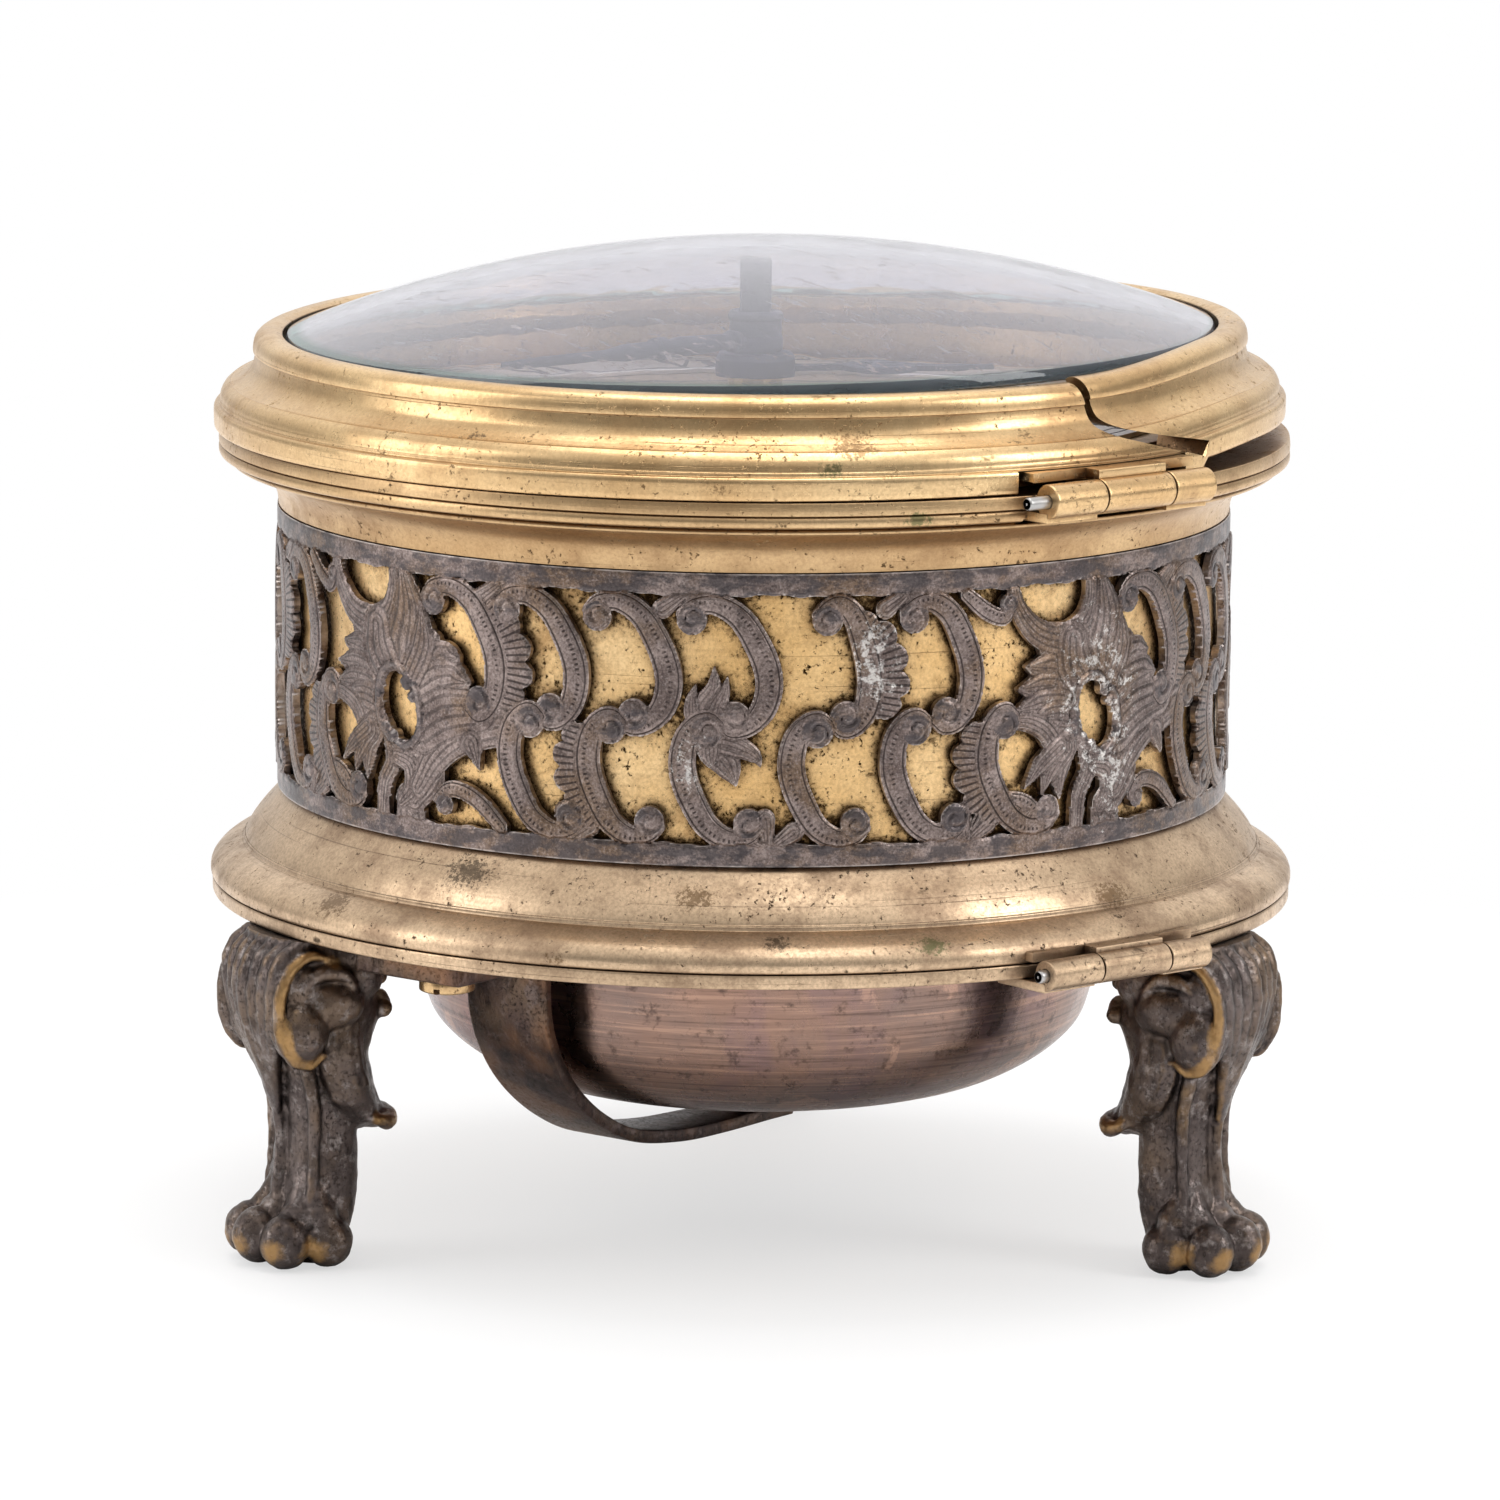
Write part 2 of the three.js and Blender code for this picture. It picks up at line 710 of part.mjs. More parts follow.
// Case base ring: a hollow turned moulding, notched for the base hinge
const mouldingShares = [
  [0, 0],
  [0, 0.1],
  [0.07, 0.22],
  [0.2, 0.32],
  [0.41, 0.42],
  [0.42, 0.52],
  [0.5, 0.55],
  [0.53, 0.66],
  [0.66, 0.82],
  [0.95, 1],
];
const drumSeatBore = drumRadius + seatGap;
const drumInner = drumRadius - drumWall;
const caseLeafBottom = caseBottom + clearance;
function baseRing() {
  const outer = edgeProfile(mouldingShares, mouldingRadius, drumSeatBore, caseBottom, mouldingTop);
  const ledge = mouldingTop - drumSeatDepth;
  const seat = [
    [drumSeatBore, mouldingTop],
    [drumSeatBore, ledge],
    [drumInner, ledge],
    [drumInner, ledge - mouldingWall],
  ];
  const hollowTop = caseBottom + footScrewHeadHeight + clearance;
  const hollow = [
    [footScrewRing + footScrewHead + mouldingWall / 2, hollowTop],
    [mouldingRadius - mouldingWall, hollowTop - mouldingWall / 2],
    [mouldingRadius - mouldingWall, caseBottom],
  ];
  const notch = block(
    [-hingeLength / 2 - notchGap, baseHingeY - leafDepth - notchGap, caseBottom - cutOverrun],
    [hingeLength / 2 + notchGap, baseHingeY + cutOverrun, caseLeafBottom + leafThickness + notchGap],
  );
  return cut(turned([...outer, ...seat, ...hollow]), notch);
}
addPart(body, "case_base_ring", baseRing(), paleGilt);
addPart(
  body,
  "case_hinge_leaf",
  hingeLeaf(baseHingeY, baseHingeZ, baseKnuckleRadius, caseLeafBottom, [1]),
  paleGilt,
);

// Drum: a plain gilt tube
addPart(
  body,
  "case_drum",
  turned([
    [drumRadius, drumBottom],
    [drumRadius, drumTop],
    [drumInner, drumTop],
    [drumInner, drumBottom],
  ]),
  gilt,
);

// Case top ring: a coved neck under a flange, with a ledge for the dial and a lip that centres the lid
const neckShares = [
  [0.87, 0],
  [0.86, 0.25],
  [0.75, 0.55],
  [0.5, 0.78],
  [0.17, 0.84],
  [0.14, 0.96],
  [0, 1],
];
const ledgeBore = lipRadius - lipWall - dialLedge;
const ledgeTop = dialBottom - seatGap / 2;
const dialScrewInset = lipRadius - lipWall - dialLedge / 2;
const dialScrewAngles = { dial_screw_right: 160, dial_screw_left: -20 };
const lidLeafSeat = topRingTop - flangeHeight;
function topRing() {
  const flangeBottom = topRingTop - flangeHeight;
  const neck = edgeProfile(neckShares, topRingRadius, drumSeatBore, topRingBottom, flangeBottom);
  const inside = [
    [topRingRadius, topRingTop],
    [lipRadius, topRingTop],
    [lipRadius, topRingTop + lipHeight],
    [lipRadius - lipWall, topRingTop + lipHeight],
    [lipRadius - lipWall, ledgeTop],
    [ledgeBore, ledgeTop],
    [ledgeBore, ledgeTop - dialLedge],
    [drumInner, drumTop + 2 * dialLedge],
    [drumInner, drumTop + seatGap],
    [drumSeatBore, drumTop + seatGap],
    [drumSeatBore, topRingBottom],
  ];
  const pocket = block(
    [-hingeLength / 2 - notchGap, lidHingeY - leafDepth - notchGap, flangeBottom - cutOverrun],
    [hingeLength / 2 + notchGap, lidHingeY + cutOverrun, lidLeafSeat + leafThickness + seatGap],
  );
  const tappedBottom = dialTop - dialScrewLength - clearance;
  const tapped = Object.values(dialScrewAngles).map((angle) =>
    rod(dialScrewRadius + runningGap, tappedBottom, dialTop, polar(dialScrewInset, angle)),
  );
  return cut(turned([...neck, ...inside]), pocket, ...tapped);
}
addPart(body, "case_top_ring", topRing(), gilt);
addPart(
  body,
  "lid_hinge_lower_leaf",
  hingeLeaf(lidHingeY, lidHingeZ, lidKnuckleRadius, lidLeafSeat, [0, 2]),
  gilt,
);
addPart(
  body,
  "lid_hinge_pin",
  crossRod(hingePinRadius, -hingeLength / 2, hingeLength / 2 + lidPinOverhang, lidHingeY, lidHingeZ),
  steel,
);

// Pierced frieze: a sheet band sawn through between its scrolls, held by pins through its rails
const friezeInner = drumRadius + friezeGap;
const friezeOuter = friezeInner + friezeThickness;
const friezeBottom = mouldingTop + seatGap;
const friezeTop = topRingBottom - seatGap;
const friezeMiddle = (friezeBottom + friezeTop) / 2;
const friezeRow = friezeMiddle - friezeBottom - railHeight;
// Opening inside one scroll: shares of the cell to each side of its middle, and of the row's height
const scrollShares = [
  [-0.34, 0.24],
  [-0.1, 0.5],
  [-0.3, 0.84],
  [0.04, 0.95],
  [0.34, 0.68],
  [0.34, 0.36],
  [0.06, 0.12],
];
// Openings in a cartouche, the same way, with heights as shares of a row above or below the middle
const cartoucheShares = [
  [[0.16, -0.3], [-0.16, -0.2], [-0.2, 0.2], [0, 0.36], [0.2, 0.14]],
  [[-0.42, 0.9], [-0.44, 0.56], [-0.28, 0.4], [-0.12, 0.62], [-0.16, 0.92]],
  [[0.16, 0.92], [0.12, 0.62], [0.28, 0.4], [0.44, 0.56], [0.42, 0.9]],
  [[-0.42, -0.3], [-0.22, -0.42], [-0.14, -0.66], [-0.24, -0.9], [-0.44, -0.86]],
  [[0.42, -0.3], [0.44, -0.86], [0.24, -0.9], [0.14, -0.66], [0.22, -0.42]],
];
const cellsPerTurn = 4 * (scrollsPerQuarter + 1);
function friezeCell(number) {
  const isCartouche = number % (scrollsPerQuarter + 1) === 0;
  const flipped = scrollShares.map(([along, up]) => [-along, -up]);
  const holes = isCartouche ? cartoucheShares : [scrollShares, flipped];
  const cellAngle = (number * fullTurn) / cellsPerTurn + cartoucheAngle;
  // A point of the flat cell, from its place along the cell and up the row
  const place = (radius, [along, z]) => {
    const halfCell = fullTurn / cellsPerTurn / 2;
    const [left, right] = [-1, 1].map((side) => polar(radius, cellAngle + side * halfCell));
    return left.map((from, axis) => from + (along + 1 / 2) * (right[axis] - from)).concat(z);
  };
  const toPoints = (outline) => outline.map(([along, z]) => new THREE.Vector2(along, z));
  const edge = toPoints([
    [-1 / 2, friezeBottom],
    [1 / 2, friezeBottom],
    [1 / 2, friezeTop],
    [-1 / 2, friezeTop],
  ]);
  const cutouts = holes.map((hole) => {
    const outline = toPoints(hole.map(([along, up]) => [along, friezeMiddle + up * friezeRow]));
    return THREE.ShapeUtils.isClockWise(outline) ? outline : outline.reverse();
  });
  const positions = [];
  const corners = [edge, ...cutouts].flat().map(({ x, y }) => [x, y]);
  for (const faces of THREE.ShapeUtils.triangulateShape(edge, cutouts)) {
    const [a, b, c] = faces.map((i) => corners[i]);
    positions.push(...[a, b, c].flatMap((corner) => place(friezeOuter, corner)));
    positions.push(...[a, c, b].flatMap((corner) => place(friezeInner, corner)));
  }
  const addWall = (from, to) => {
    const [innerFrom, outerFrom] = [place(friezeInner, from), place(friezeOuter, from)];
    const [innerTo, outerTo] = [place(friezeInner, to), place(friezeOuter, to)];
    positions.push(...innerFrom, ...innerTo, ...outerFrom, ...outerFrom, ...innerTo, ...outerTo);
  };
  const [lowLeft, lowRight, highRight, highLeft] = edge.map(({ x, y }) => [x, y]);
  addWall(lowLeft, lowRight);
  addWall(highRight, highLeft);
  for (const cutout of cutouts)
    cutout.forEach(({ x, y }, i) => {
      const next = cutout[(i + 1) % cutout.length];
      addWall([x, y], [next.x, next.y]);
    });
  return positions;
}
const friezeBand = new THREE.BufferGeometry();
const friezePositions = Array.from({ length: cellsPerTurn }, (_, number) => friezeCell(number)).flat();
friezeBand.setAttribute("position", new THREE.Float32BufferAttribute(friezePositions, 3));
addPart(body, "pierced_frieze", friezeBand, silver);

// Dial, which stands on the movement's front plate by its riveted feet, its silvered chapter ring and its screws
const dialFootSpots = [45, 165, 285].map((angle) => polar(pillarRing, angle));
const barrelDistance = ((greatTeeth + leafCount) / 2) * greatModule;
const goingBarrelAngle = 150;
const strikeBarrelAngle = 30;
const goingBarrelAt = polar(barrelDistance, goingBarrelAngle);
const strikeBarrelAt = polar(barrelDistance, strikeBarrelAngle);
const dialHole = hourPipeRadius + dialGap;
const screwHoles = Object.values(dialScrewAngles).map((angle) =>
  bored(dialScrewRadius, polar(dialScrewInset, angle)),
);
const dialDisc = raised(round(dialRadius, ringSides), dialBottom, dialTop, [
  round(dialHole, 2 * holeSides),
  round(windingHoleRadius, 2 * holeSides, ...goingBarrelAt),
  round(windingHoleRadius, 2 * holeSides, ...strikeBarrelAt),
  ...screwHoles,
]);
const dialFeet = dialFootSpots.flatMap((spot) => [
  rod(dialFootRadius, frontPlateTop + seatGap / 2, dialBottom + seatGap, spot),
  rod(pillarTenon, frontPlateBottom + seatGap, frontPlateTop + cutOverrun, spot),
]);
addPart(body, "dial_plate", join(dialDisc, ...dialFeet), gilt);
const chapterBottom = dialTop + seatGap / 2;
addPart(
  body,
  "chapter_ring",
  raised(round(chapterOuter, ringSides), chapterBottom, chapterBottom + chapterThickness, [
    round(chapterInner, ringSides),
  ]),
  dialSilver,
);
for (const [name, angle] of Object.entries(dialScrewAngles)) {
  const [seat, spot] = [dialTop + seatGap / 2, polar(dialScrewInset, angle)];
  const tip = dialTop - dialScrewLength;
  const headTop = seat + dialScrewHeadHeight;
  addPart(body, name, screw(dialScrewRadius, dialScrewHead, seat, headTop, tip, spot), blued);
}

// Where the arbors stand
const centreAt = [0, 0];
const thirdDistance = ((centreTeeth + leafCount) / 2) * centreModule;
const thirdAngle = 270;
const thirdAt = polar(thirdDistance, thirdAngle);
const contrateDistance = ((trainTeeth + smallLeaves) / 2) * trainModule;
const contrateAngle = 200;
const contrateAt = polar(contrateDistance, contrateAngle, thirdAt);
const escapeAngle = -29.5; // the way the escape arbor points, away from the contrate wheel
const pinWheelAngle = -75;
const pinWheelAt = polar(barrelDistance, pinWheelAngle, strikeBarrelAt);
const lockingDistance = ((trainTeeth + smallLeaves) / 2) * pinWheelModule;
const lockingAngle = -40;
const lockingAt = polar(lockingDistance, lockingAngle, pinWheelAt);
const flyDistance = ((lockingTeeth + smallLeaves) / 2) * lockingModule;
const flyAngle = 240;
const flyAt = polar(flyDistance, flyAngle, lockingAt);
const minuteWheelDistance = ((cannonTeeth + minuteWheelTeeth) / 2) * minuteModule;
const minuteWheelAngle = 270;
const minuteWheelAt = polar(minuteWheelDistance, minuteWheelAngle);
const hourModule = (2 * minuteWheelDistance) / (minutePinionTeeth + hourWheelTeeth);
const escapeWheelReach = contrateRadius + contrateRimHeight + 2 * pinionLength;
const staffReach = escapeWheelReach + escapeWheelWidth + palletLength + seatGap;
const staffAt = polar(staffReach, escapeAngle, contrateAt);
const hammerTailAngle = 24.5;
const hammerAt = polar(pinWheelModule * (trainTeeth / 2) + hammerTailLength, hammerTailAngle, pinWheelAt);

// Heights of the wheels between the plates
const greatBottom = backPlateTop + goingBarrelRise;
const strikeGreatTop = frontPlateBottom - strikeBarrelDrop;
const centreWheelBottom = frontPlateBottom - centreWheelDrop;
const thirdWheelBottom = centreWheelBottom - wheelThickness - thirdWheelDrop;
const contrateWheelBottom = backPlateTop + contrateWheelRise;
const lockingWheelBottom = backPlateTop + lockingWheelRise;
const flyBottom = backPlateTop + flyRise;

// Plates, drilled for every pivot that runs in them
const plateArbors = [thirdAt, contrateAt, pinWheelAt, lockingAt, flyAt, hammerAt];
const pillarAngles = { pillar_nut_hinge: 90, pillar_nut_right: 210, pillar_nut_left: 300 };
const pillarSpots = Object.values(pillarAngles).map((angle) => polar(pillarRing, angle));
function plate(bottom, holes) {
  const drilled = plateArbors.map((spot) => bored(pivotRadius, spot));
  const sized = holes.map(([radius, spot]) => bored(radius, spot));
  return raised(round(plateRadius, ringSides), bottom, bottom + plateThickness, [...drilled, ...sized]);
}
// The pillars are riveted into the front plate, and their threaded ends stand through the back plate
const pillarWaistShare = 0.7;
function pillar([x, y]) {
  const low = backPlateTop + seatGap / 2;
  const end = backPlateBottom - pillarNutHeight - seatGap;
  const waist = pillarRadius * pillarWaistShare;
  return turned(
    [
      [0, end],
      [pillarTenon, end],
      [pillarTenon, low],
      [pillarRadius, low],
      [waist, low + 2 * pillarRadius],
      [waist, frontPlateBottom - 2 * pillarRadius],
      [pillarRadius, frontPlateBottom + seatGap],
      [0, frontPlateBottom + seatGap],
    ],
    arborSides,
  ).translate(x, y, 0);
}
const frontPlateDisc = plate(frontPlateBottom, [
  [arborRadius, centreAt],
  [staffRadius, staffAt],
  [windingArborRadius, goingBarrelAt],
  [windingArborRadius, strikeBarrelAt],
  ...dialFootSpots.map((spot) => [pillarTenon, spot]),
]);
const minuteStud = rod(pivotRadius, frontPlateTop - cutOverrun, dialBottom - clearance, minuteWheelAt);
addPart(body, "front_plate", join(frontPlateDisc, minuteStud, ...pillarSpots.map(pillar)), brass);
addPart(
  body,
  "back_plate",
  plate(backPlateBottom, [
    [pivotRadius, centreAt],
    [staffRadius, staffAt],
    [arborRadius, goingBarrelAt],
    [arborRadius, strikeBarrelAt],
    ...pillarSpots.map((spot) => [pillarTenon, spot]),
  ]),
  brass,
);
// A six-sided nut
const nutSides = 6;
function nut(radius, bore, bottom, top, [x, y]) {
  return raised(round(radius, nutSides, x, y), bottom, top, [bored(bore, [x, y])]);
}
for (const [name, angle] of Object.entries(pillarAngles)) {
  const [bottom, top] = [backPlateBottom - pillarNutHeight, backPlateBottom - seatGap / 2];
  addPart(body, name, nut(pillarNutRadius, pillarTenon, bottom, top, polar(pillarRing, angle)), steel);
}

// A wheel and its pinion on one arbor that runs between the plates
function arborWithPivots(spot, shaft = arborRadius) {
  return join(
    rod(shaft, backPlateTop + clearance, frontPlateBottom - clearance, spot),
    rod(pivotRadius, backPlateBottom + seatGap, frontPlateTop - seatGap, spot),
  );
}
function wheelOn(spot, teeth, module, phase, bottom, thickness = wheelThickness) {
  return raised(toothed(teeth, module, phase, spot), bottom, bottom + thickness);
}

// Mainspring barrels, each with a cap, a wound spring and a winding arbor with its ratchet
function barrelCup(spot, floor, wheelBottom, phase) {
  const cup = turned(
    [
      [barrelRadius, floor],
      [barrelRadius, floor + barrelHeight],
      [barrelRadius - barrelWall, floor + barrelHeight],
      [barrelRadius - barrelWall, floor + barrelWall],
      [arborRadius + runningGap, floor + barrelWall],
      [arborRadius + runningGap, floor],
    ],
    barrelSides,
  ).translate(...spot, 0);
  const boreTop = wheelBottom + 2 * wheelThickness;
  const rim = cut(
    wheelOn(spot, greatTeeth, greatModule, phase, wheelBottom),
    rod(barrelRadius - barrelWall / 2, wheelBottom - cutOverrun, boreTop, spot, barrelSides),
  );
  return join(cup, rim);
}
function barrelCap(spot, floor) {
  const bottom = floor + barrelHeight + seatGap / 2;
  return raised(round(barrelRadius, barrelSides, ...spot), bottom, bottom + barrelCapThickness, [
    bored(windingArborRadius, spot),
  ]);
}
function mainspring(spot, floor) {
  const outer = barrelRadius - barrelWall - seatGap;
  const inner = outer - springCoils;
  const [low, high] = [floor + barrelWall + seatGap, floor + barrelHeight - 2 * seatGap];
  return turned(
    [
      [outer, low],
      [outer, high],
      [inner, high],
      [inner, low],
    ],
    barrelSides,
  ).translate(...spot, 0);
}
const ratchetRootShare = 0.86;
const ratchetSlopeShare = 0.15;
const ratchetBottom = frontPlateTop + clearance;
function ratchetOutline(spot) {
  const outline = [];
  const pitch = fullTurn / ratchetTeeth;
  for (let i = 0; i < ratchetTeeth; i++) {
    outline.push(polar(ratchetRadius, i * pitch, spot));
    outline.push(polar(ratchetRadius * ratchetRootShare, (i + ratchetSlopeShare) * pitch, spot));
  }
  return outline;
}
function squareOutline(side, [x, y], turn = 0) {
  const corner = side * Math.SQRT1_2;
  return [0, 1, 2, 3].map((i) => polar(corner, fullTurn / 8 + (i * fullTurn) / 4 + turn, [x, y]));
}
function windingArbor(spot, floor) {
  return join(
    rod(arborRadius, backPlateBottom + seatGap, floor + barrelHeight, spot),
    rod(windingHubRadius, floor + barrelWall + clearance, floor + barrelHeight - clearance, spot, 2 * arborSides),
    rod(windingArborRadius, floor + barrelHeight - cutOverrun, ratchetBottom + ratchetThickness, spot),
    raised(ratchetOutline(spot), ratchetBottom, ratchetBottom + ratchetThickness),
    raised(squareOutline(windingSquare, spot), ratchetBottom, dialBottom + windingSquareHeight),
  );
}
// A click: a short pawl beside its ratchet, on a screw in the front plate
const clickTipShare = 0.3;
const clickNoseShare = 0.7;
function click(spot, side) {
  const pivot = polar(ratchetRadius + clickWidth / 2 + seatGap, 90 + side * 90, spot);
  const root = [pivot[0], pivot[1] - clickLength];
  const half = clickWidth / 2;
  const arm = raised(
    [
      [root[0] - half, root[1] - half],
      [root[0] + half, root[1] - half],
      [pivot[0] + half * (1 - clickTipShare * side) * clickNoseShare, pivot[1]],
      [pivot[0] - half * (1 + clickTipShare * side) * clickNoseShare, pivot[1]],
    ],
    ratchetBottom,
    ratchetBottom + ratchetThickness,
  );
  const headTop = ratchetBottom + 2 * ratchetThickness;
  const screwPost = rod(clickPivotRadius, frontPlateTop + seatGap / 2, headTop, root);
  const screwHead = rod(half, ratchetBottom + ratchetThickness, headTop, root);
  return join(arm, screwPost, screwHead);
}

const goingFloor = greatBottom;
const goingBarrelPhase = 0;
const goingCup = barrelCup(goingBarrelAt, goingFloor, greatBottom, goingBarrelPhase);
addPart(goingTrain, "going_barrel", goingCup, brass);
addPart(goingTrain, "going_barrel_cap", barrelCap(goingBarrelAt, goingFloor), brass);
addPart(goingTrain, "going_mainspring", mainspring(goingBarrelAt, goingFloor), blued);
addPart(goingTrain, "going_winding_arbor", windingArbor(goingBarrelAt, goingFloor), steel);
addPart(goingTrain, "going_click", click(goingBarrelAt, 1), steel);

const strikeFloor = strikeGreatTop - barrelHeight;
const strikeBarrelPhase = 0;
addPart(
  strikeTrain,
  "strike_barrel",
  barrelCup(strikeBarrelAt, strikeFloor, strikeGreatTop - wheelThickness, strikeBarrelPhase),
  brass,
);
addPart(strikeTrain, "strike_barrel_cap", barrelCap(strikeBarrelAt, strikeFloor), brass);
addPart(strikeTrain, "strike_mainspring", mainspring(strikeBarrelAt, strikeFloor), blued);
addPart(strikeTrain, "strike_winding_arbor", windingArbor(strikeBarrelAt, strikeFloor), steel);
addPart(strikeTrain, "strike_click", click(strikeBarrelAt, -1), steel);

// Going train: centre, third and contrate wheels, each with the pinion that drives it
const centrePhase = meshPhase(greatTeeth, goingBarrelPhase, goingBarrelAngle + fullTurn / 2, leafCount);
addPart(
  goingTrain,
  "centre_wheel",
  join(
    rod(arborRadius, backPlateTop + clearance, dialTop, centreAt),
    rod(pivotRadius, backPlateBottom + seatGap, backPlateTop + cutOverrun, centreAt),
    wheelOn(centreAt, leafCount, greatModule, centrePhase, greatBottom - cutOverrun, pinionLength),
    wheelOn(centreAt, centreTeeth, centreModule, 0, centreWheelBottom),
  ),
  brass,
);
const thirdPhase = meshPhase(centreTeeth, 0, thirdAngle, leafCount);
addPart(
  goingTrain,
  "third_wheel",
  join(
    arborWithPivots(thirdAt),
    wheelOn(thirdAt, leafCount, centreModule, thirdPhase, centreWheelBottom - cutOverrun, pinionLength),
    wheelOn(thirdAt, trainTeeth, trainModule, 0, thirdWheelBottom),
  ),
  brass,
);

// Contrate wheel: a cup with its teeth standing up from the rim
const contratePhase = meshPhase(trainTeeth, 0, contrateAngle, smallLeaves);
const contrateToothShare = 0.55;
function contrateWheel() {
  const rimTop = contrateWheelBottom + contrateRimHeight;
  const cup = turned(
    [
      [0, contrateWheelBottom],
      [contrateRadius, contrateWheelBottom],
      [contrateRadius, rimTop],
      [contrateRadius - wheelThickness, rimTop],
      [contrateRadius - wheelThickness, contrateWheelBottom + wheelThickness / 2],
      [0, contrateWheelBottom + wheelThickness / 2],
    ],
    contrateTeeth,
  ).translate(...contrateAt, 0);
  const teeth = [];
  const pitch = fullTurn / contrateTeeth;
  for (let i = 0; i < contrateTeeth; i++) {
    const middle = escapeAngle + (i + 1 / 2) * pitch;
    const wide = pitch * contrateToothShare;
    const foot = rimTop - seatGap;
    const outer = contrateRadius - seatGap;
    const inner = contrateRadius - wheelThickness + seatGap;
    const positions = [];
    for (const [radius, side, height] of [
      [inner, -1, foot],
      [outer, -1, foot],
      [outer, 1, foot],
      [inner, 1, foot],
    ])
      positions.push(...polar(radius, middle + (side * wide) / 2, contrateAt), height);
    for (const radius of [inner, outer])
      positions.push(...polar(radius, middle, contrateAt), rimTop + contrateToothHeight);
    const geometry = new THREE.BufferGeometry();
    geometry.setAttribute("position", new THREE.Float32BufferAttribute(positions, 3));
    geometry.setIndex([0, 3, 2, 0, 2, 1, 0, 1, 5, 0, 5, 4, 3, 4, 5, 3, 5, 2, 0, 4, 3, 1, 2, 5]);
    teeth.push(geometry);
  }
  const pinionBottom = thirdWheelBottom - cutOverrun;
  const pinion = wheelOn(contrateAt, smallLeaves, trainModule, contratePhase, pinionBottom, pinionLength);
  return join(cup, ...teeth, arborWithPivots(contrateAt), pinion);
}
addPart(goingTrain, "contrate_wheel", contrateWheel(), brass);

// Escape wheel: a crown wheel on a level arbor that points at the balance staff
const escapeModule = (2 * contrateRadius - wheelThickness) / contrateTeeth;
const escapePinionTip = (escapeLeaves / 2 + addendumShare) * escapeModule;
const escapeAxisZ = contrateWheelBottom + contrateRimHeight + escapePinionTip + seatGap;
const escapeShaftShare = 0.85;
const escapeToothShare = 0.7;
function escapeWheel() {
  const start = contrateRadius - wheelThickness - seatGap;
  const pinion = raised(toothed(escapeLeaves, escapeModule, 0), start, start + 2 * wheelThickness);
  const shaft = rod(escapeArborRadius * escapeShaftShare, start, escapeWheelReach + seatGap);
  const rim = turned(
    [
      [0, escapeWheelReach],
      [escapeRadius, escapeWheelReach],
      [escapeRadius, escapeWheelReach + escapeWheelWidth / 2],
      [escapeRadius - escapeRimWall, escapeWheelReach + escapeWheelWidth / 2],
      [escapeRadius - escapeRimWall, escapeWheelReach + escapeRimWall],
      [0, escapeWheelReach + escapeRimWall],
    ],
    escapeTeeth,
  );
  const teeth = [];
  const pitch = fullTurn / escapeTeeth;
  for (let i = 0; i < escapeTeeth; i++) {
    const foot = escapeWheelReach + escapeWheelWidth / 2 - seatGap;
    const [outer, inner] = [escapeRadius - seatGap / 2, escapeRadius - escapeRimWall + seatGap / 2];
    const positions = [];
    for (const [radius, turn] of [
      [inner, 0],
      [outer, 0],
      [outer, escapeToothShare],
      [inner, escapeToothShare],
    ])
      positions.push(...polar(radius, (i + turn) * pitch), foot);
    for (const radius of [inner, outer])
      positions.push(...polar(radius, i * pitch), escapeWheelReach + escapeWheelWidth);
    const geometry = new THREE.BufferGeometry();
    geometry.setAttribute("position", new THREE.Float32BufferAttribute(positions, 3));
    geometry.setIndex([0, 3, 2, 0, 2, 1, 0, 1, 5, 0, 5, 4, 3, 4, 5, 3, 5, 2, 0, 4, 3, 1, 2, 5]);
    teeth.push(geometry);
  }
  return join(pinion, shaft, rim, ...teeth)
    .rotateY(Math.PI / 2)
    .rotateZ(escapeAngle * degree)
    .translate(...contrateAt, escapeAxisZ);
}
addPart(goingTrain, "escape_wheel", escapeWheel(), brass);

// Potence: a bracket on the back plate whose two arms carry the escape arbor
function potence() {
  const near = contrateRadius + contrateRimHeight;
  const far = escapeWheelReach - potenceThickness - clearance;
  const top = escapeAxisZ + potenceWidth / 2;
  const low = backPlateTop + seatGap / 2;
  const arm = (out) => block([out, -potenceWidth / 2, low], [out + potenceThickness, potenceWidth / 2, top]);
  const end = far + potenceThickness;
  const sole = block([near, -potenceWidth / 2, low], [end, potenceWidth / 2, low + plateThickness]);
  const boreRadius = escapeArborRadius + seatGap / 2;
  const bore = crossRod(boreRadius, near - cutOverrun, end + potenceThickness, 0, escapeAxisZ);
  return cut(join(arm(near), arm(far), sole), bore)
    .rotateZ(escapeAngle * degree)
    .translate(...contrateAt, 0);
}
addPart(body, "escape_potence", potence(), brass);

// Balance: a three-armed ring below the back plate on a staff that carries two pallets
const balanceTop = backPlateBottom - balanceGap;
const staffBottom = balanceTop - balanceThickness - balanceGap;
const palletAngle = 50;
const balanceSides = 40;
function balance() {
  const low = balanceTop - balanceThickness;
  const ring = raised(round(balanceRadius, balanceSides), low, balanceTop, [
    round(balanceRadius - balanceRim, balanceSides),
  ]);
  const arms = [0, 1, 2].map((i) =>
    block([0, -balanceRim / 2, low], [balanceRadius - balanceRim / 2, balanceRim / 2, balanceTop]).rotateZ(
      (i * fullTurn * degree) / 3,
    ),
  );
  const staff = rod(staffRadius, staffBottom - cockThickness + seatGap, frontPlateTop - seatGap);
  const pallets = [-1, 1].map((side) =>
    block([0, -staffRadius / 2, -palletHeight / 2], [palletLength, staffRadius / 2, palletHeight / 2])
      .rotateZ((escapeAngle + fullTurn / 2 + side * palletAngle) * degree)
      .translate(0, 0, escapeAxisZ + side * (escapeRadius - escapeRimWall)),
  );
  return join(ring, ...arms, staff, ...pallets).translate(...staffAt, 0);
}
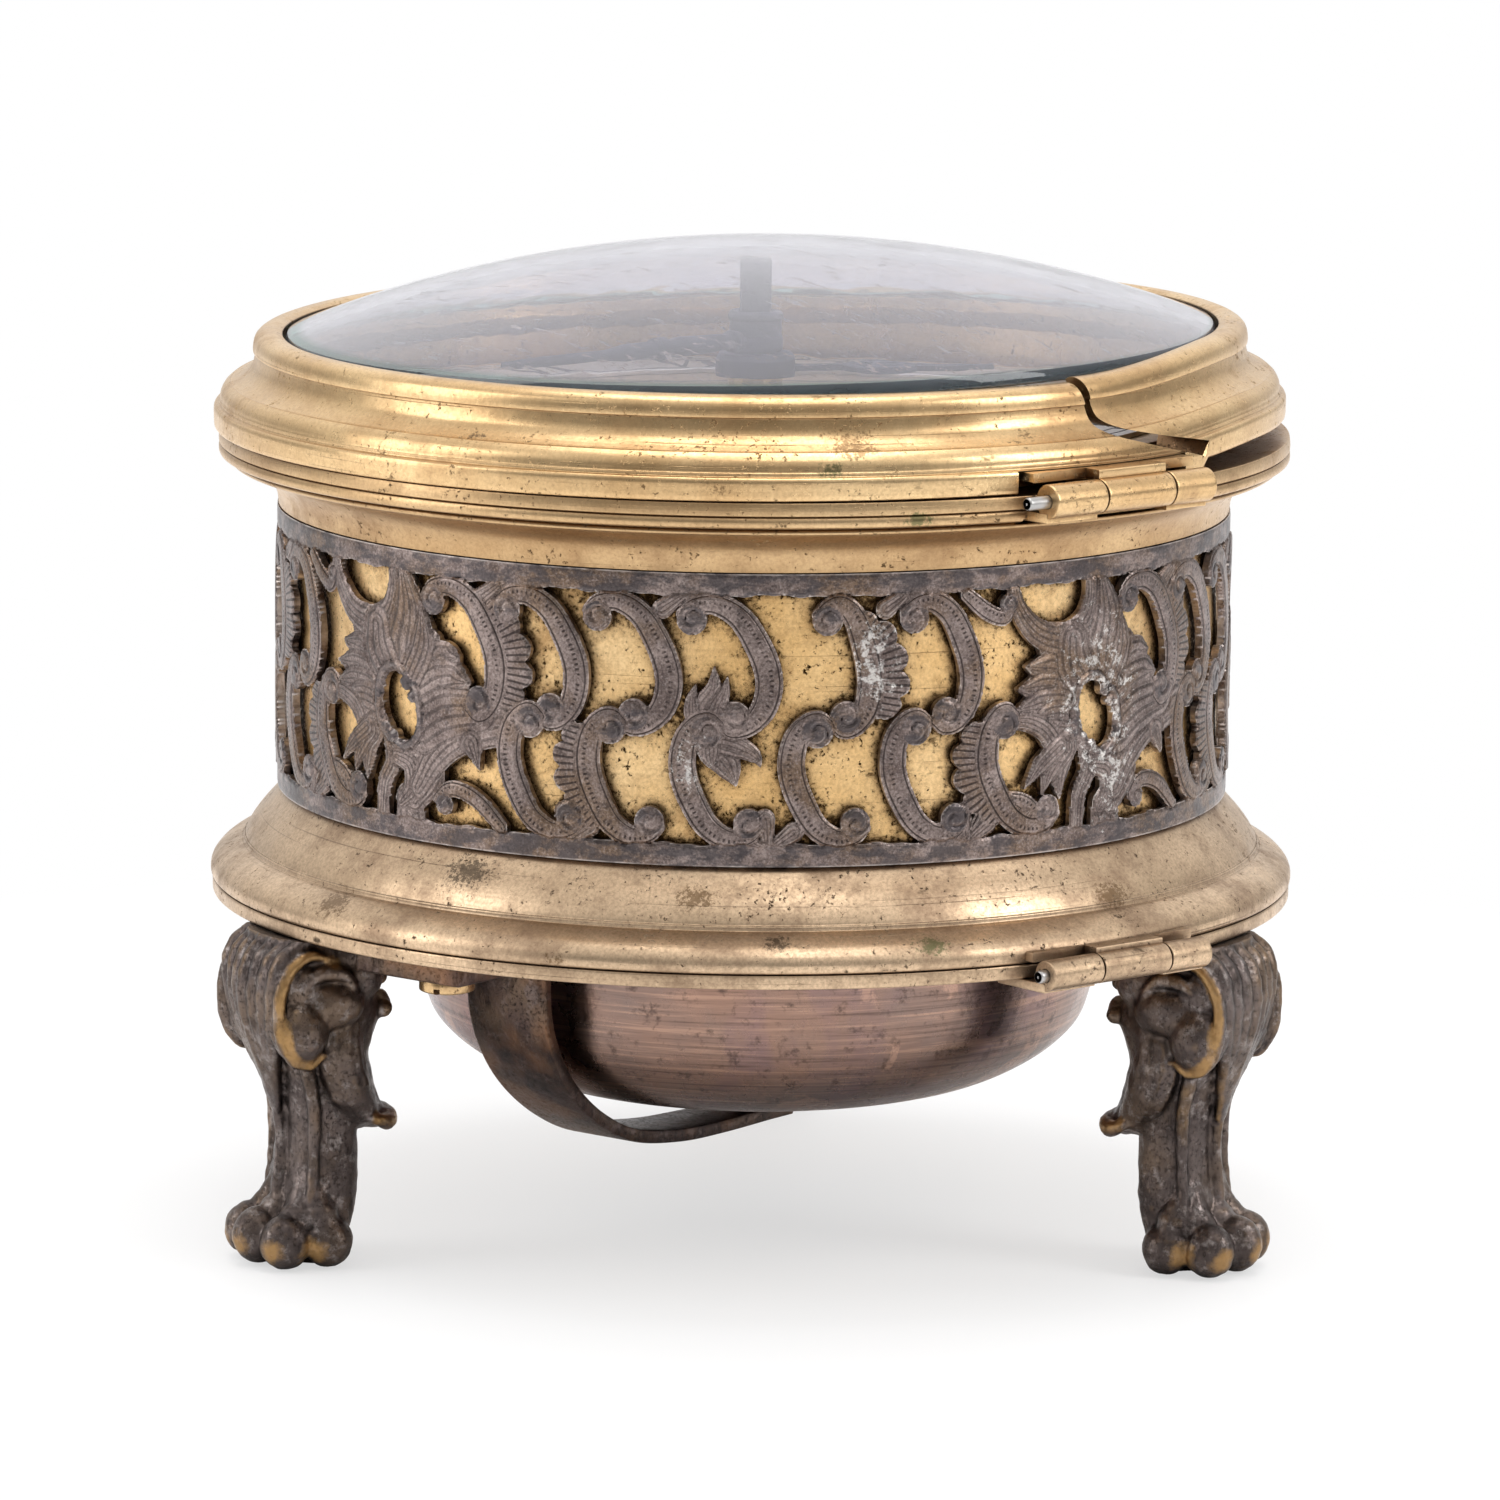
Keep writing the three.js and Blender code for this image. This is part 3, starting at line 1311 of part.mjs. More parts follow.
addPart(goingTrain, "balance_wheel", balance(), brass);

// Balance cock: a bar under the balance, screwed to the back plate outside its rim
const cockAngle = Math.atan2(staffAt[1], staffAt[0]) / degree;
const cockEnd = plateRadius - seatGap;
function balanceCock() {
  const reach = Math.hypot(...staffAt);
  const low = staffBottom - cockThickness;
  const inner = reach - balanceRim * 2;
  const bar = block([inner, -cockWidth / 2, low], [cockEnd, cockWidth / 2, staffBottom]);
  const start = reach + balanceRadius + balanceRim;
  const leg = block([start, -cockWidth / 2, low], [cockEnd, cockWidth / 2, backPlateBottom - seatGap / 2]);
  const hole = rod(staffRadius + runningGap, low - cutOverrun, staffBottom + cutOverrun, [reach, 0]);
  const screwHole = rod(
    cockScrewRadius + runningGap,
    low - cutOverrun,
    backPlateBottom + cutOverrun,
    [(start + cockEnd) / 2, 0],
  );
  return cut(join(bar, leg), hole, screwHole).rotateZ(cockAngle * degree);
}
addPart(body, "balance_cock", balanceCock(), brass);
const cockScrewAt = polar((Math.hypot(...staffAt) + balanceRadius + balanceRim + cockEnd) / 2, cockAngle);
addPart(
  body,
  "cock_screw",
  screw(
    cockScrewRadius,
    cockScrewHead,
    staffBottom - cockThickness - seatGap / 2 - cockScrewHead / 2,
    staffBottom - cockThickness - seatGap / 2,
    backPlateBottom - seatGap,
    cockScrewAt,
  ),
  blued,
);

// Balance spring: a flat spiral tape between the back plate and the balance
const springSteps = 12;
function balanceSpring() {
  const outline = [];
  const back = [];
  const count = springTurns * springSteps;
  for (let i = 0; i <= count; i++) {
    const radius = balanceSpringInner + ((balanceSpringOuter - balanceSpringInner) * i) / count;
    const angle = (i * fullTurn) / springSteps;
    outline.push(polar(radius + balanceSpringTape / 2, angle, staffAt));
    back.unshift(polar(radius - balanceSpringTape / 2, angle, staffAt));
  }
  const high = backPlateBottom - seatGap;
  return raised([...outline, ...back], high - balanceSpringHeight, high);
}
addPart(body, "balance_spring", balanceSpring(), blued);

// Strike train: the pin wheel lifts the hammer, the locking wheel stops it, the fly holds its speed
const pinPinionPhase = meshPhase(greatTeeth, strikeBarrelPhase, pinWheelAngle, leafCount);
const pinWheelBottom = thirdWheelBottom;
function pinWheel() {
  const pins = [];
  const radius = (trainTeeth / 2) * pinWheelModule - hammerPinInset;
  for (let i = 0; i < hammerPinCount; i++)
    pins.push(
      rod(
        hammerPinRadius,
        pinWheelBottom - hammerPinLength,
        pinWheelBottom + wheelThickness / 2,
        polar(radius, hammerTailAngle + ((i + 1 / 2) * fullTurn) / hammerPinCount, pinWheelAt),
        nutSides,
      ),
    );
  return join(
    arborWithPivots(pinWheelAt),
    wheelOn(
      pinWheelAt,
      leafCount,
      greatModule,
      pinPinionPhase,
      strikeGreatTop - wheelThickness - cutOverrun,
      pinionLength,
    ),
    wheelOn(pinWheelAt, trainTeeth, pinWheelModule, 0, pinWheelBottom),
    ...pins,
  );
}
addPart(strikeTrain, "pin_wheel", pinWheel(), brass);
const lockingPhase = meshPhase(trainTeeth, 0, lockingAngle, smallLeaves);
addPart(
  strikeTrain,
  "locking_wheel",
  join(
    arborWithPivots(lockingAt, arborRadius * escapeShaftShare),
    wheelOn(lockingAt, smallLeaves, pinWheelModule, lockingPhase, pinWheelBottom - cutOverrun, pinionLength),
    wheelOn(lockingAt, lockingTeeth, lockingModule, 0, lockingWheelBottom),
  ),
  brass,
);
const flyPhase = meshPhase(lockingTeeth, 0, flyAngle, smallLeaves);
addPart(
  strikeTrain,
  "fly",
  join(
    arborWithPivots(flyAt, escapeArborRadius * escapeShaftShare + seatGap),
    wheelOn(flyAt, smallLeaves, lockingModule, flyPhase, lockingWheelBottom - cutOverrun, pinionLength),
    block([-flySpan / 2, -flyThickness, flyBottom], [flySpan / 2, flyThickness, flyBottom + flyHeight])
      .rotateZ(flyRestAngle * degree)
      .translate(...flyAt, 0),
  ),
  brass,
);

// Hammer: an arbor with a tail that the pins lift, and a bent arm that hangs its head inside the bell
const hammerTailTop = pinWheelBottom - clearance;
const hammerArmAngle = 115;
const hammerHeadTop = bellTop - clearance;
function hammer() {
  const armTop = backPlateBottom - clearance;
  const armBottom = armTop - hammerArmWidth;
  const headAt = polar(hammerArmLength, hammerArmAngle, hammerAt);
  const tail = block([0, -hammerArmWidth / 2, -hammerArmWidth], [hammerTailLength, hammerArmWidth / 2, 0])
    .rotateZ((hammerTailAngle + fullTurn / 2) * degree)
    .translate(...hammerAt, hammerTailTop);
  const arm = block([0, -hammerArmWidth / 2, 0], [hammerArmLength, hammerArmWidth / 2, hammerArmWidth])
    .rotateZ(hammerArmAngle * degree)
    .translate(...hammerAt, armBottom);
  return join(
    arborWithPivots(hammerAt),
    rod(pivotRadius, armBottom, backPlateTop + cutOverrun, hammerAt),
    tail,
    arm,
    rod(hammerRodRadius, hammerHeadTop - cutOverrun, armTop, headAt),
    rod(hammerHeadRadius, hammerHeadTop - hammerHeadHeight, hammerHeadTop, headAt, 2 * arborSides),
  );
}
addPart(strikeTrain, "hammer", hammer(), steel);

// Motion work under the dial
const cannonBottom = frontPlateTop + clearance;
const minuteWheelBottom = cannonBottom + seatGap;
const hourWheelBottom = minuteWheelBottom + motionWheelThickness + clearance + seatGap;
const minuteBossBottom = dialTop + hourBossRise + hourBossHeight + seatGap;
const cannonPhase = 0;
function cannonPinion() {
  const bore = arborRadius + runningGap;
  const boreTop = dialTop + clearance;
  const pipe = turned(
    [
      [0, boreTop],
      [bore, boreTop],
      [bore, cannonBottom],
      [cannonRadius, cannonBottom],
      [cannonRadius, minuteBossBottom + cutOverrun],
      [0, minuteBossBottom + cutOverrun],
    ],
    2 * arborSides,
  );
  const leaves = cut(
    raised(
      toothed(cannonTeeth, minuteModule, cannonPhase),
      cannonBottom,
      minuteWheelBottom + motionWheelThickness,
    ),
    rod(arborRadius + runningGap, cannonBottom - cutOverrun, minuteWheelBottom + 2 * motionWheelThickness),
  );
  const top = minuteBossBottom + minuteBossHeight;
  const square = raised(
    squareOutline(settingSquare, centreAt, minuteHandAngle),
    minuteBossBottom + cutOverrun / 2,
    top + settingSquareHeight,
  );
  return join(pipe, leaves, square);
}
addPart(motionWork, "cannon_pinion", cannonPinion(), blued);

// Minute hand: a turned baluster that narrows to a point, on a tall boss that the setting square passes through
const minuteHandShares = [
  [0.04, 0.3],
  [0.1, 0.5],
  [0.11, 0.32],
  [0.3, 0.44],
  [0.36, 0.3],
  [0.37, 0.5],
  [0.4, 0.5],
  [0.41, 0.3],
  [0.52, 0.36],
  [0.6, 0.16],
  [0.9, 0.14],
  [1, 0.04],
];
function handOutline(shares, length, width) {
  const right = shares.map(([along, half]) => [along * length, -half * width]);
  const left = shares.map(([along, half]) => [along * length, half * width]).reverse();
  return [...right, ...left];
}
function minuteHand() {
  const boss = raised(
    round(minuteBossRadius, 2 * arborSides),
    minuteBossBottom,
    minuteBossBottom + minuteBossHeight,
    [squareOutline(settingSquare + 2 * seatGap, centreAt)],
  );
  const blade = cut(
    raised(
      handOutline(minuteHandShares, minuteHandLength, handWidth),
      minuteBossBottom + seatGap,
      minuteBossBottom + seatGap + handThickness,
    ),
    raised(squareOutline(settingSquare + 2 * seatGap, centreAt), 0, 2 * minuteBossBottom),
  );
  const boreTop = minuteBossBottom + cutOverrun + seatGap;
  const bore = rod(cannonRadius + seatGap, 0, boreTop, centreAt, 2 * arborSides);
  return cut(join(boss, blade), bore).rotateZ(minuteHandAngle * degree);
}
addPart(motionWork, "minute_hand", minuteHand(), blued);

// Hour hand: a short hand pierced with a pair of rings, riveted to a flat boss
const hourHandShares = [
  [0.1, 0.3],
  [0.36, 0.22],
  [0.42, 0.9],
  [0.56, 1.15],
  [0.68, 0.9],
  [0.74, 0.3],
  [0.9, 0.2],
  [1, 0.04],
];
const hourRingShare = 0.55;
const hourRingSpreadShare = 0.55;
const hourRingRadiusShare = 0.36;
function hourHand() {
  const bottom = dialTop + hourBossRise;
  const boss = raised(round(hourBossRadius, 2 * arborSides), bottom, bottom + hourBossHeight, [
    round(hourPipeBore + seatGap, 2 * arborSides),
  ]);
  const rings = [-1, 1].map((side) =>
    round(
      hourRingRadiusShare * handWidth,
      holeSides,
      hourRingShare * hourHandLength,
      side * hourRingSpreadShare * handWidth,
    ),
  );
  const low = bottom + hourBossHeight - 2 * handThickness;
  const blade = cut(
    raised(handOutline(hourHandShares, hourHandLength, handWidth), low, low + handThickness, rings),
    rod(hourBossRadius - 2 * seatGap, bottom - cutOverrun, 2 * bottom, centreAt, 2 * arborSides),
  );
  return join(boss, blade).rotateZ(hourHandAngle * degree);
}
addPart(motionWork, "hour_hand", hourHand(), blued);

const minutePinionPhase = 0;
const hourLineAngle = minuteWheelAngle + fullTurn / 2;
const hourPhase = meshPhase(minutePinionTeeth, minutePinionPhase, hourLineAngle, hourWheelTeeth);
function hourWheel() {
  const pipe = turned(
    [
      [hourPipeRadius, hourWheelBottom],
      [hourPipeRadius, dialTop + hourBossRise - seatGap],
      [hourPipeBore, dialTop + hourBossRise - seatGap],
      [hourPipeBore, hourWheelBottom],
    ],
    2 * arborSides,
  );
  const wheel = raised(
    toothed(hourWheelTeeth, hourModule, hourPhase),
    hourWheelBottom,
    hourWheelBottom + motionWheelThickness,
    [round(hourPipeBore + seatGap, 2 * arborSides)],
  );
  return join(pipe, wheel);
}
addPart(motionWork, "hour_wheel", hourWheel(), brass);

const minuteWheelPhase = meshPhase(cannonTeeth, cannonPhase, minuteWheelAngle, minuteWheelTeeth);
const minuteWheelDisc = wheelOn(
  minuteWheelAt,
  minuteWheelTeeth,
  minuteModule,
  minuteWheelPhase,
  minuteWheelBottom,
  motionWheelThickness,
);
const minutePinion = wheelOn(
  minuteWheelAt,
  minutePinionTeeth,
  hourModule,
  minutePinionPhase,
  minuteWheelBottom + motionWheelThickness / 2,
  hourWheelBottom + motionWheelThickness - minuteWheelBottom,
);
const studHole = raised(bored(pivotRadius, minuteWheelAt), frontPlateTop, dialTop);
addPart(motionWork, "minute_wheel", cut(join(minuteWheelDisc, minutePinion), studHole), brass);

// Lid: a turned ring, sawn through at the hinge so that the glass can be sprung in.
// Right of the saw cut it has sprung up, and the glass rides up with it.
const lidShares = [
  [0, 0],
  [0, 0.24],
  [0.08, 0.29],
  [0.17, 0.44],
  [0.42, 0.56],
  [0.53, 0.64],
  [0.58, 0.78],
  [0.56, 0.88],
  [0.7, 0.98],
  [0.97, 1],
];
const lidLeafBottom = lidBottom + lidRingBand - leafThickness - seatGap;
const springUpShare = 0.6;
const springStartShare = 0.25;
function lidLift(x, y) {
  const turn = Math.atan2(y, x) / degree;
  const pastCut = (((turn - fullTurn / 4) % fullTurn) + fullTurn) % fullTurn;
  const highest = viewerRightAngle - fullTurn / 4;
  if (pastCut < highest) {
    const along = Math.min(1, pastCut / (highest * springUpShare));
    const eased = along * along * (3 - 2 * along);
    return lidSprungLift * (springStartShare + (1 - springStartShare) * eased);
  }
  const fall = (pastCut - highest) / (fullTurn / 2);
  if (fall > 1) return 0;
  return (lidSprungLift * (1 + Math.cos(fall * Math.PI))) / 2;
}
const [driftX, driftY] = polar(lidDrift, viewerRightAngle + fullTurn / 2);
function lidRing() {
  const ledge = glassSeat;
  const profile = [
    ...edgeProfile(lidShares, topRingRadius, lidBoreRadius, lidBottom, lidTop),
    [lidBoreRadius + seatGap / 2, ledge],
    [lidBoreRadius - glassLedgeWidth, ledge],
    [lidBoreRadius - glassLedgeWidth, ledge - glassThickness],
    [lidBoreRadius, ledge - glassThickness - glassLedgeWidth],
    [lidBoreRadius, lidBottom],
  ];
  const notch = block(
    [-hingeLength / 2 - notchGap - lidDrift, lidHingeY - leafDepth - notchGap, lidBottom - cutOverrun],
    [hingeLength / 2 + notchGap, lidHingeY + cutOverrun, lidBottom + lidRingBand],
  );
  const saw = block([-lidSawCut, 0, lidBottom - cutOverrun], [0, 2 * topRingRadius, lidTop + cutOverrun]);
  const ring = cut(turned(profile), notch, saw);
  const points = ring.getAttribute("position");
  for (let i = 0; i < points.count; i++) {
    const [x, y] = [points.getX(i), points.getY(i)];
    points.setZ(i, points.getZ(i) + lidLift(x + seatGap / 10, y));
  }
  return ring.translate(driftX, driftY, 0);
}
addPart(lid, "bezel_ring", lidRing(), gilt);
addPart(
  lid,
  "lid_hinge_upper_leaf",
  hingeLeaf(lidHingeY, lidHingeZ, lidKnuckleRadius, lidLeafBottom, [1]),
  gilt,
);

// Glass: a domed disc of even thickness, tipped so that it stands proud of the ring at the front
const domeSteps = 4;
function glassDome() {
  const dome = (rise, height) => {
    const curve = (glassRadius ** 2 + rise ** 2) / (2 * rise);
    const arc = [];
    for (let i = 0; i <= domeSteps; i++) {
      const radius = (i / domeSteps) * glassRadius;
      arc.push([radius, height + rise - (curve - Math.sqrt(curve ** 2 - radius ** 2))]);
    }
    return arc;
  };
  const outer = dome(glassRise, glassThickness);
  const inner = dome(glassRise, 0).reverse();
  const disc = turned([...outer, ...inner]);
  const tip = Math.asin(lidSprungLift / (2 * glassRadius));
  const [axisX, axisY] = polar(1, viewerRightAngle + fullTurn / 4);
  disc.applyMatrix4(new THREE.Matrix4().makeRotationAxis(new THREE.Vector3(axisX, axisY, 0), -tip));
  return disc.translate(driftX, driftY, glassSeat + seatGap + lidSprungLift / 2);
}
addPart(lid, "lid_glass", glassDome(), glass);

export default clock;
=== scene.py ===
# The look of a round table clock: gilt case, pierced silver frieze, cast feet, and a bell under its base.
# Lengths are in millimetres until a mesh is made, angles in degrees anticlockwise from +X.
import json
import math
import bpy
import bmesh
import numpy as np
from mathutils import Matrix, Vector, noise


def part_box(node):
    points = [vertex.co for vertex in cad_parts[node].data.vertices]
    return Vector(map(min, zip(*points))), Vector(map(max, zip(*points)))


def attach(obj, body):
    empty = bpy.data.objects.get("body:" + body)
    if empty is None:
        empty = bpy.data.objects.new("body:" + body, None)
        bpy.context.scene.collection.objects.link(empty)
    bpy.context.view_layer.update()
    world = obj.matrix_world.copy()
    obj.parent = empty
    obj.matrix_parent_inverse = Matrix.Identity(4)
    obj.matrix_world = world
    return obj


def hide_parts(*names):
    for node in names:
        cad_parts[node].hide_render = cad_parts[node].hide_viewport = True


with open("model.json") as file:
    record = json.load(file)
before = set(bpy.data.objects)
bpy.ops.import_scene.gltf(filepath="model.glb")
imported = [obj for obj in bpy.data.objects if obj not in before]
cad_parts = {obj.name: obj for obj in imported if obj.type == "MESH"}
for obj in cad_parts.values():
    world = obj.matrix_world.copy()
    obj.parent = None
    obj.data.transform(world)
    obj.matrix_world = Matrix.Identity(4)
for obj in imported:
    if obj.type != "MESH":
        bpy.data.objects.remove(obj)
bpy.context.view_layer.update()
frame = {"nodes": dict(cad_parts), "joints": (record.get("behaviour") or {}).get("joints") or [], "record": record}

MM = 0.001
FULL_TURN = 360


# Sizes that come from the frame
def low_corner(node):
    return [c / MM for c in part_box(node)[0]]


def high_corner(node):
    return [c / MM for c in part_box(node)[1]]


def radius_of(node):
    return (high_corner(node)[0] - low_corner(node)[0]) / 2


def centre_of(node):
    low, high = low_corner(node), high_corner(node)
    return [(a + b) / 2 for a, b in zip(low, high)]


def joint_at(name):
    joint = next(j for j in frame["joints"] if j["name"] == name)
    return [c / MM for c in joint["pos_m"]]


RING_SIDES = 288
SMALL_SIDES = 48
HOLE_SIDES = 24
CORNER = 0.14  # how far the arrises of turned brass are worn round
OVERRUN = 1  # how far a cut runs past what it cuts
TINY = 1e-6  # kept in a divisor, so that it is never zero
VIEWER_ANGLE = 50  # the way the camera stands
VIEWER_RIGHT = VIEWER_ANGLE + FULL_TURN / 4
CARTOUCHE_ANGLE = 5
SEAT_GAP = 0.1

moulding_radius = radius_of("case_base_ring")
moulding_bottom = low_corner("case_base_ring")[2]
moulding_top = high_corner("case_base_ring")[2]
drum_radius = radius_of("case_drum")
drum_bottom = low_corner("case_drum")[2]
drum_top = high_corner("case_drum")[2]
top_ring_radius = radius_of("case_top_ring")
top_ring_bottom = low_corner("case_top_ring")[2]
lip_top = high_corner("case_top_ring")[2]
lid_radius = radius_of("bezel_ring")
lid_bottom = low_corner("bezel_ring")[2]
plate_radius = radius_of("base_plate")
plate_bottom = low_corner("base_plate")[2]
plate_top = high_corner("base_plate")[2]
frieze_radius = radius_of("pierced_frieze")
frieze_bottom = low_corner("pierced_frieze")[2]
frieze_top = high_corner("pierced_frieze")[2]
lid_hinge = joint_at("lid_opens")
base_hinge = joint_at("case_tips_off_base")
hinge_half = high_corner("lid_hinge_lower_leaf")[0]


# Curves and outlines
def smooth(points, step):
    """A curve through the points, straight where there are only two."""
    points = [np.array(p, float) for p in points]
    if len(points) < 3:
        return points
    padded = [2 * points[0] - points[1], *points, 2 * points[-1] - points[-2]]
    curve = [points[0]]
    for a, b, c, d in zip(padded, padded[1:], padded[2:], padded[3:]):
        count = max(2, int(np.ceil(np.linalg.norm(c - b) / step)))
        for i in range(1, count + 1):
            t = i / count
            square, cube = 2 * a - 5 * b + 4 * c - d, 3 * b - a - 3 * c + d
            curve.append((2 * b + (c - a) * t + square * t**2 + cube * t**3) / 2)
    return curve


CURVE_STEP = 0.5
EASE_STEPS = (0, 0.25, 0.5, 0.75, 1)
EASE_HOLD_SHARE = 2.4


def outline(strokes, corner=CORNER, step=CURVE_STEP):
    """A closed outline. Each stroke runs on from the one before, and the corners between are eased."""
    paths = []
    start = strokes[-1][-1]
    for stroke in strokes:
        paths.append(smooth([start, *stroke], step))
        start = stroke[-1]
    points = []
    for before, after in zip(paths, paths[1:] + paths[:1]):
        points += before[1:-1]
        tip = before[-1]
        back, on = before[-2] - tip, after[1] - tip
        reach = min(corner, np.linalg.norm(back) / 3, np.linalg.norm(on) / 3)
        back, on = back / np.linalg.norm(back), on / np.linalg.norm(on)
        points.append(tip + EASE_HOLD_SHARE * reach * back)
        for t in EASE_STEPS:
            points.append(tip + reach * ((1 - t) ** 2 * back + t**2 * on))
        points.append(tip + EASE_HOLD_SHARE * reach * on)
    return points


def inwards(steps, radius, bottom):
    """Points of an outline, given as how far in from the edge and how far up they lie."""
    return [(radius - inward, bottom + up) for inward, up in steps]


def each(points):
    """Straight strokes, one to each point."""
    return [[point] for point in points]


def polar(distance, angle, centre=(0, 0)):
    turn = math.radians(angle)
    return [centre[0] + distance * math.cos(turn), centre[1] + distance * math.sin(turn)]


# Meshes
def make_mesh(name, points, face_groups):
    mesh = bpy.data.meshes.new(name)
    points = np.asarray(points, np.float32) * MM
    groups = [np.asarray(g, np.int32) for g in face_groups if len(g)]
    mesh.vertices.add(len(points))
    mesh.vertices.foreach_set("co", points.ravel())
    corners = np.concatenate([g.ravel() for g in groups])
    sizes = np.concatenate([np.full(len(g), g.shape[1], np.int32) for g in groups])
    mesh.loops.add(len(corners))
    mesh.loops.foreach_set("vertex_index", corners)
    mesh.polygons.add(len(sizes))
    mesh.polygons.foreach_set("loop_start", (np.cumsum(sizes) - sizes).astype(np.int32))
    mesh.update(calc_edges=True)
    mesh.validate()
    return mesh


def tidy_mesh(mesh, weld=0.0):
    """Welds points that coincide and turns every face outwards."""
    work = bmesh.new()
    work.from_mesh(mesh)
    if weld:
        bmesh.ops.remove_doubles(work, verts=work.verts, dist=weld * MM)
    bmesh.ops.recalc_face_normals(work, faces=work.faces)
    work.to_mesh(mesh)
    work.free()


CREASE = 38  # faces that meet at more than this angle have a sharp edge between them


def shade(mesh, crease=CREASE):
    mesh.polygons.foreach_set("use_smooth", np.ones(len(mesh.polygons), bool))
    mesh.set_sharp_from_angle(angle=math.radians(crease))


def solid(name, points, face_groups, weld=0.0):
    """An object in the scene made of the points and faces."""
    mesh = make_mesh(name, points, face_groups)
    tidy_mesh(mesh, weld)
    shade(mesh)
    obj = bpy.data.objects.new(name, mesh)
    bpy.context.scene.collection.objects.link(obj)
    return obj


def mark_edges(mesh):
    """Stores how far each point stands out: half where it is flat, more on edges and less in hollows."""
    count = len(mesh.vertices)
    points, normals = np.empty(count * 3), np.empty(count * 3)
    ends = np.empty(len(mesh.edges) * 2, dtype=np.int64)
    mesh.vertices.foreach_get("co", points)
    mesh.vertex_normals.foreach_get("vector", normals)
    mesh.edges.foreach_get("vertices", ends)
    points, normals, (a, b) = points.reshape(-1, 3), normals.reshape(-1, 3), ends.reshape(-1, 2).T
    way = points[b] - points[a]
    way /= np.maximum(np.linalg.norm(way, axis=1), TINY**2)[:, None]
    fall_a, fall_b = (way * normals[a]).sum(axis=1), -(way * normals[b]).sum(axis=1)
    edges = np.maximum(np.bincount(a, minlength=count) + np.bincount(b, minlength=count), 1)
    fall = (np.bincount(a, fall_a, count) + np.bincount(b, fall_b, count)) / edges
    stand = np.arccos(np.clip(fall, -1, 1)) / math.pi
    stand = (stand + np.bincount(a, stand[b], count) + np.bincount(b, stand[a], count)) / (edges + 1)
    mesh.attributes.new("stand", "FLOAT", "POINT").data.foreach_set("value", stand)


def place(obj, finish, body, slot, *nodes, crease=CREASE):
    """Gives a piece its material and the body it rides on, and hides the frame's nodes that it stands for. The
    slot is not used.
    """
    mark_edges(obj.data)
    shade(obj.data, crease)
    obj.data.materials.clear()
    obj.data.materials.append(finish)
    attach(obj, body)
    if nodes:
        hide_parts(*nodes)
    return obj


def discard(obj):
    mesh = obj.data
    bpy.data.objects.remove(obj)
    bpy.data.meshes.remove(mesh)


def applied(obj):
    """Makes an object's modifiers part of its mesh."""
    shaped = obj.evaluated_get(bpy.context.evaluated_depsgraph_get())
    mesh = bpy.data.meshes.new_from_object(shaped)
    old = obj.data
    obj.modifiers.clear()
    obj.data = mesh
    bpy.data.meshes.remove(old)
    return obj


def combine(obj, operation, *others):
    """Cuts other objects out of one, or joins them to it."""
    for other in others:
        change = obj.modifiers.new("combine", "BOOLEAN")
        change.operation = operation
        change.solver = "EXACT"
        change.object = other
        bpy.context.view_layer.update()
        applied(obj)
        discard(other)
    return obj


def spun(name, profile, sides=RING_SIDES, centre=(0, 0)):
    """A closed profile of radius and height, turned about an upright axis."""
    profile = np.array(profile)
    count = len(profile)
    angles = np.arange(sides) * 2 * math.pi / sides
    points = np.empty((sides, count, 3))
    points[:, :, 0] = centre[0] + np.outer(np.cos(angles), profile[:, 0])
    points[:, :, 1] = centre[1] + np.outer(np.sin(angles), profile[:, 0])
    points[:, :, 2] = profile[:, 1]
    a = np.arange(sides * count).reshape(sides, count)
    b = np.roll(a, -1, axis=0)
    quads = np.stack([a, b, np.roll(b, -1, axis=1), np.roll(a, -1, axis=1)], axis=-1).reshape(-1, 4)
    return solid(name, points.reshape(-1, 3), [quads], weld=SEAT_GAP / 20)


def drilled(name, radius, bottom, top, centre=(0, 0), sides=HOLE_SIDES):
    """A plain round rod, for a hole to be cut with."""
    return spun(name, [(radius, bottom), (radius, top), (0, top), (0, bottom)], sides, centre)


def turn_about_axis(obj, angle):
    obj.data.transform(Matrix.Rotation(math.radians(angle), 4, "Z"))


def swept(name, rings):
    """A skin over rings of points, capped at both ends."""
    rings = np.array(rings)
    count, sides = rings.shape[:2]
    a = np.arange(count * sides).reshape(count, sides)
    near, far = a[:-1], a[1:]
    quads = np.stack([near, np.roll(near, -1, 1), np.roll(far, -1, 1), far], axis=-1).reshape(-1, 4)
    caps = [a[:1, ::-1], a[-1:]]
    return solid(name, rings.reshape(-1, 3), [quads, *caps])


BLOCK_EASE = 0.12
BAR_EASE = 0.15
PIN_EASE = 0.3


def block(name, low, high, bevel=BLOCK_EASE):
    """A block between two corners, its edges eased."""
    x, y, z = zip(low, high)
    points = [(x[i & 1], y[i >> 1 & 1], z[i >> 2]) for i in range(8)]
    faces = [(0, 1, 3, 2), (4, 6, 7, 5), (0, 4, 5, 1), (2, 3, 7, 6), (0, 2, 6, 4), (1, 5, 7, 3)]
    obj = solid(name, points, [faces])
    if bevel:
        ease = obj.modifiers.new("ease", "BEVEL")
        ease.width = bevel * MM
        ease.segments = 3
        applied(obj)
    return obj


def crossbar(name, radius, left, right, y, z, corner=BAR_EASE, sides=SMALL_SIDES):
    """A round bar along X with eased ends."""
    bar = spun(name, outline([[(0, left)], [(radius, left)], [(radius, right)], [(0, right)]], corner), sides)
    bar.data.transform(Matrix.Translation((0, y * MM, z * MM)) @ Matrix.Rotation(math.pi / 2, 4, "Y"))
    return bar


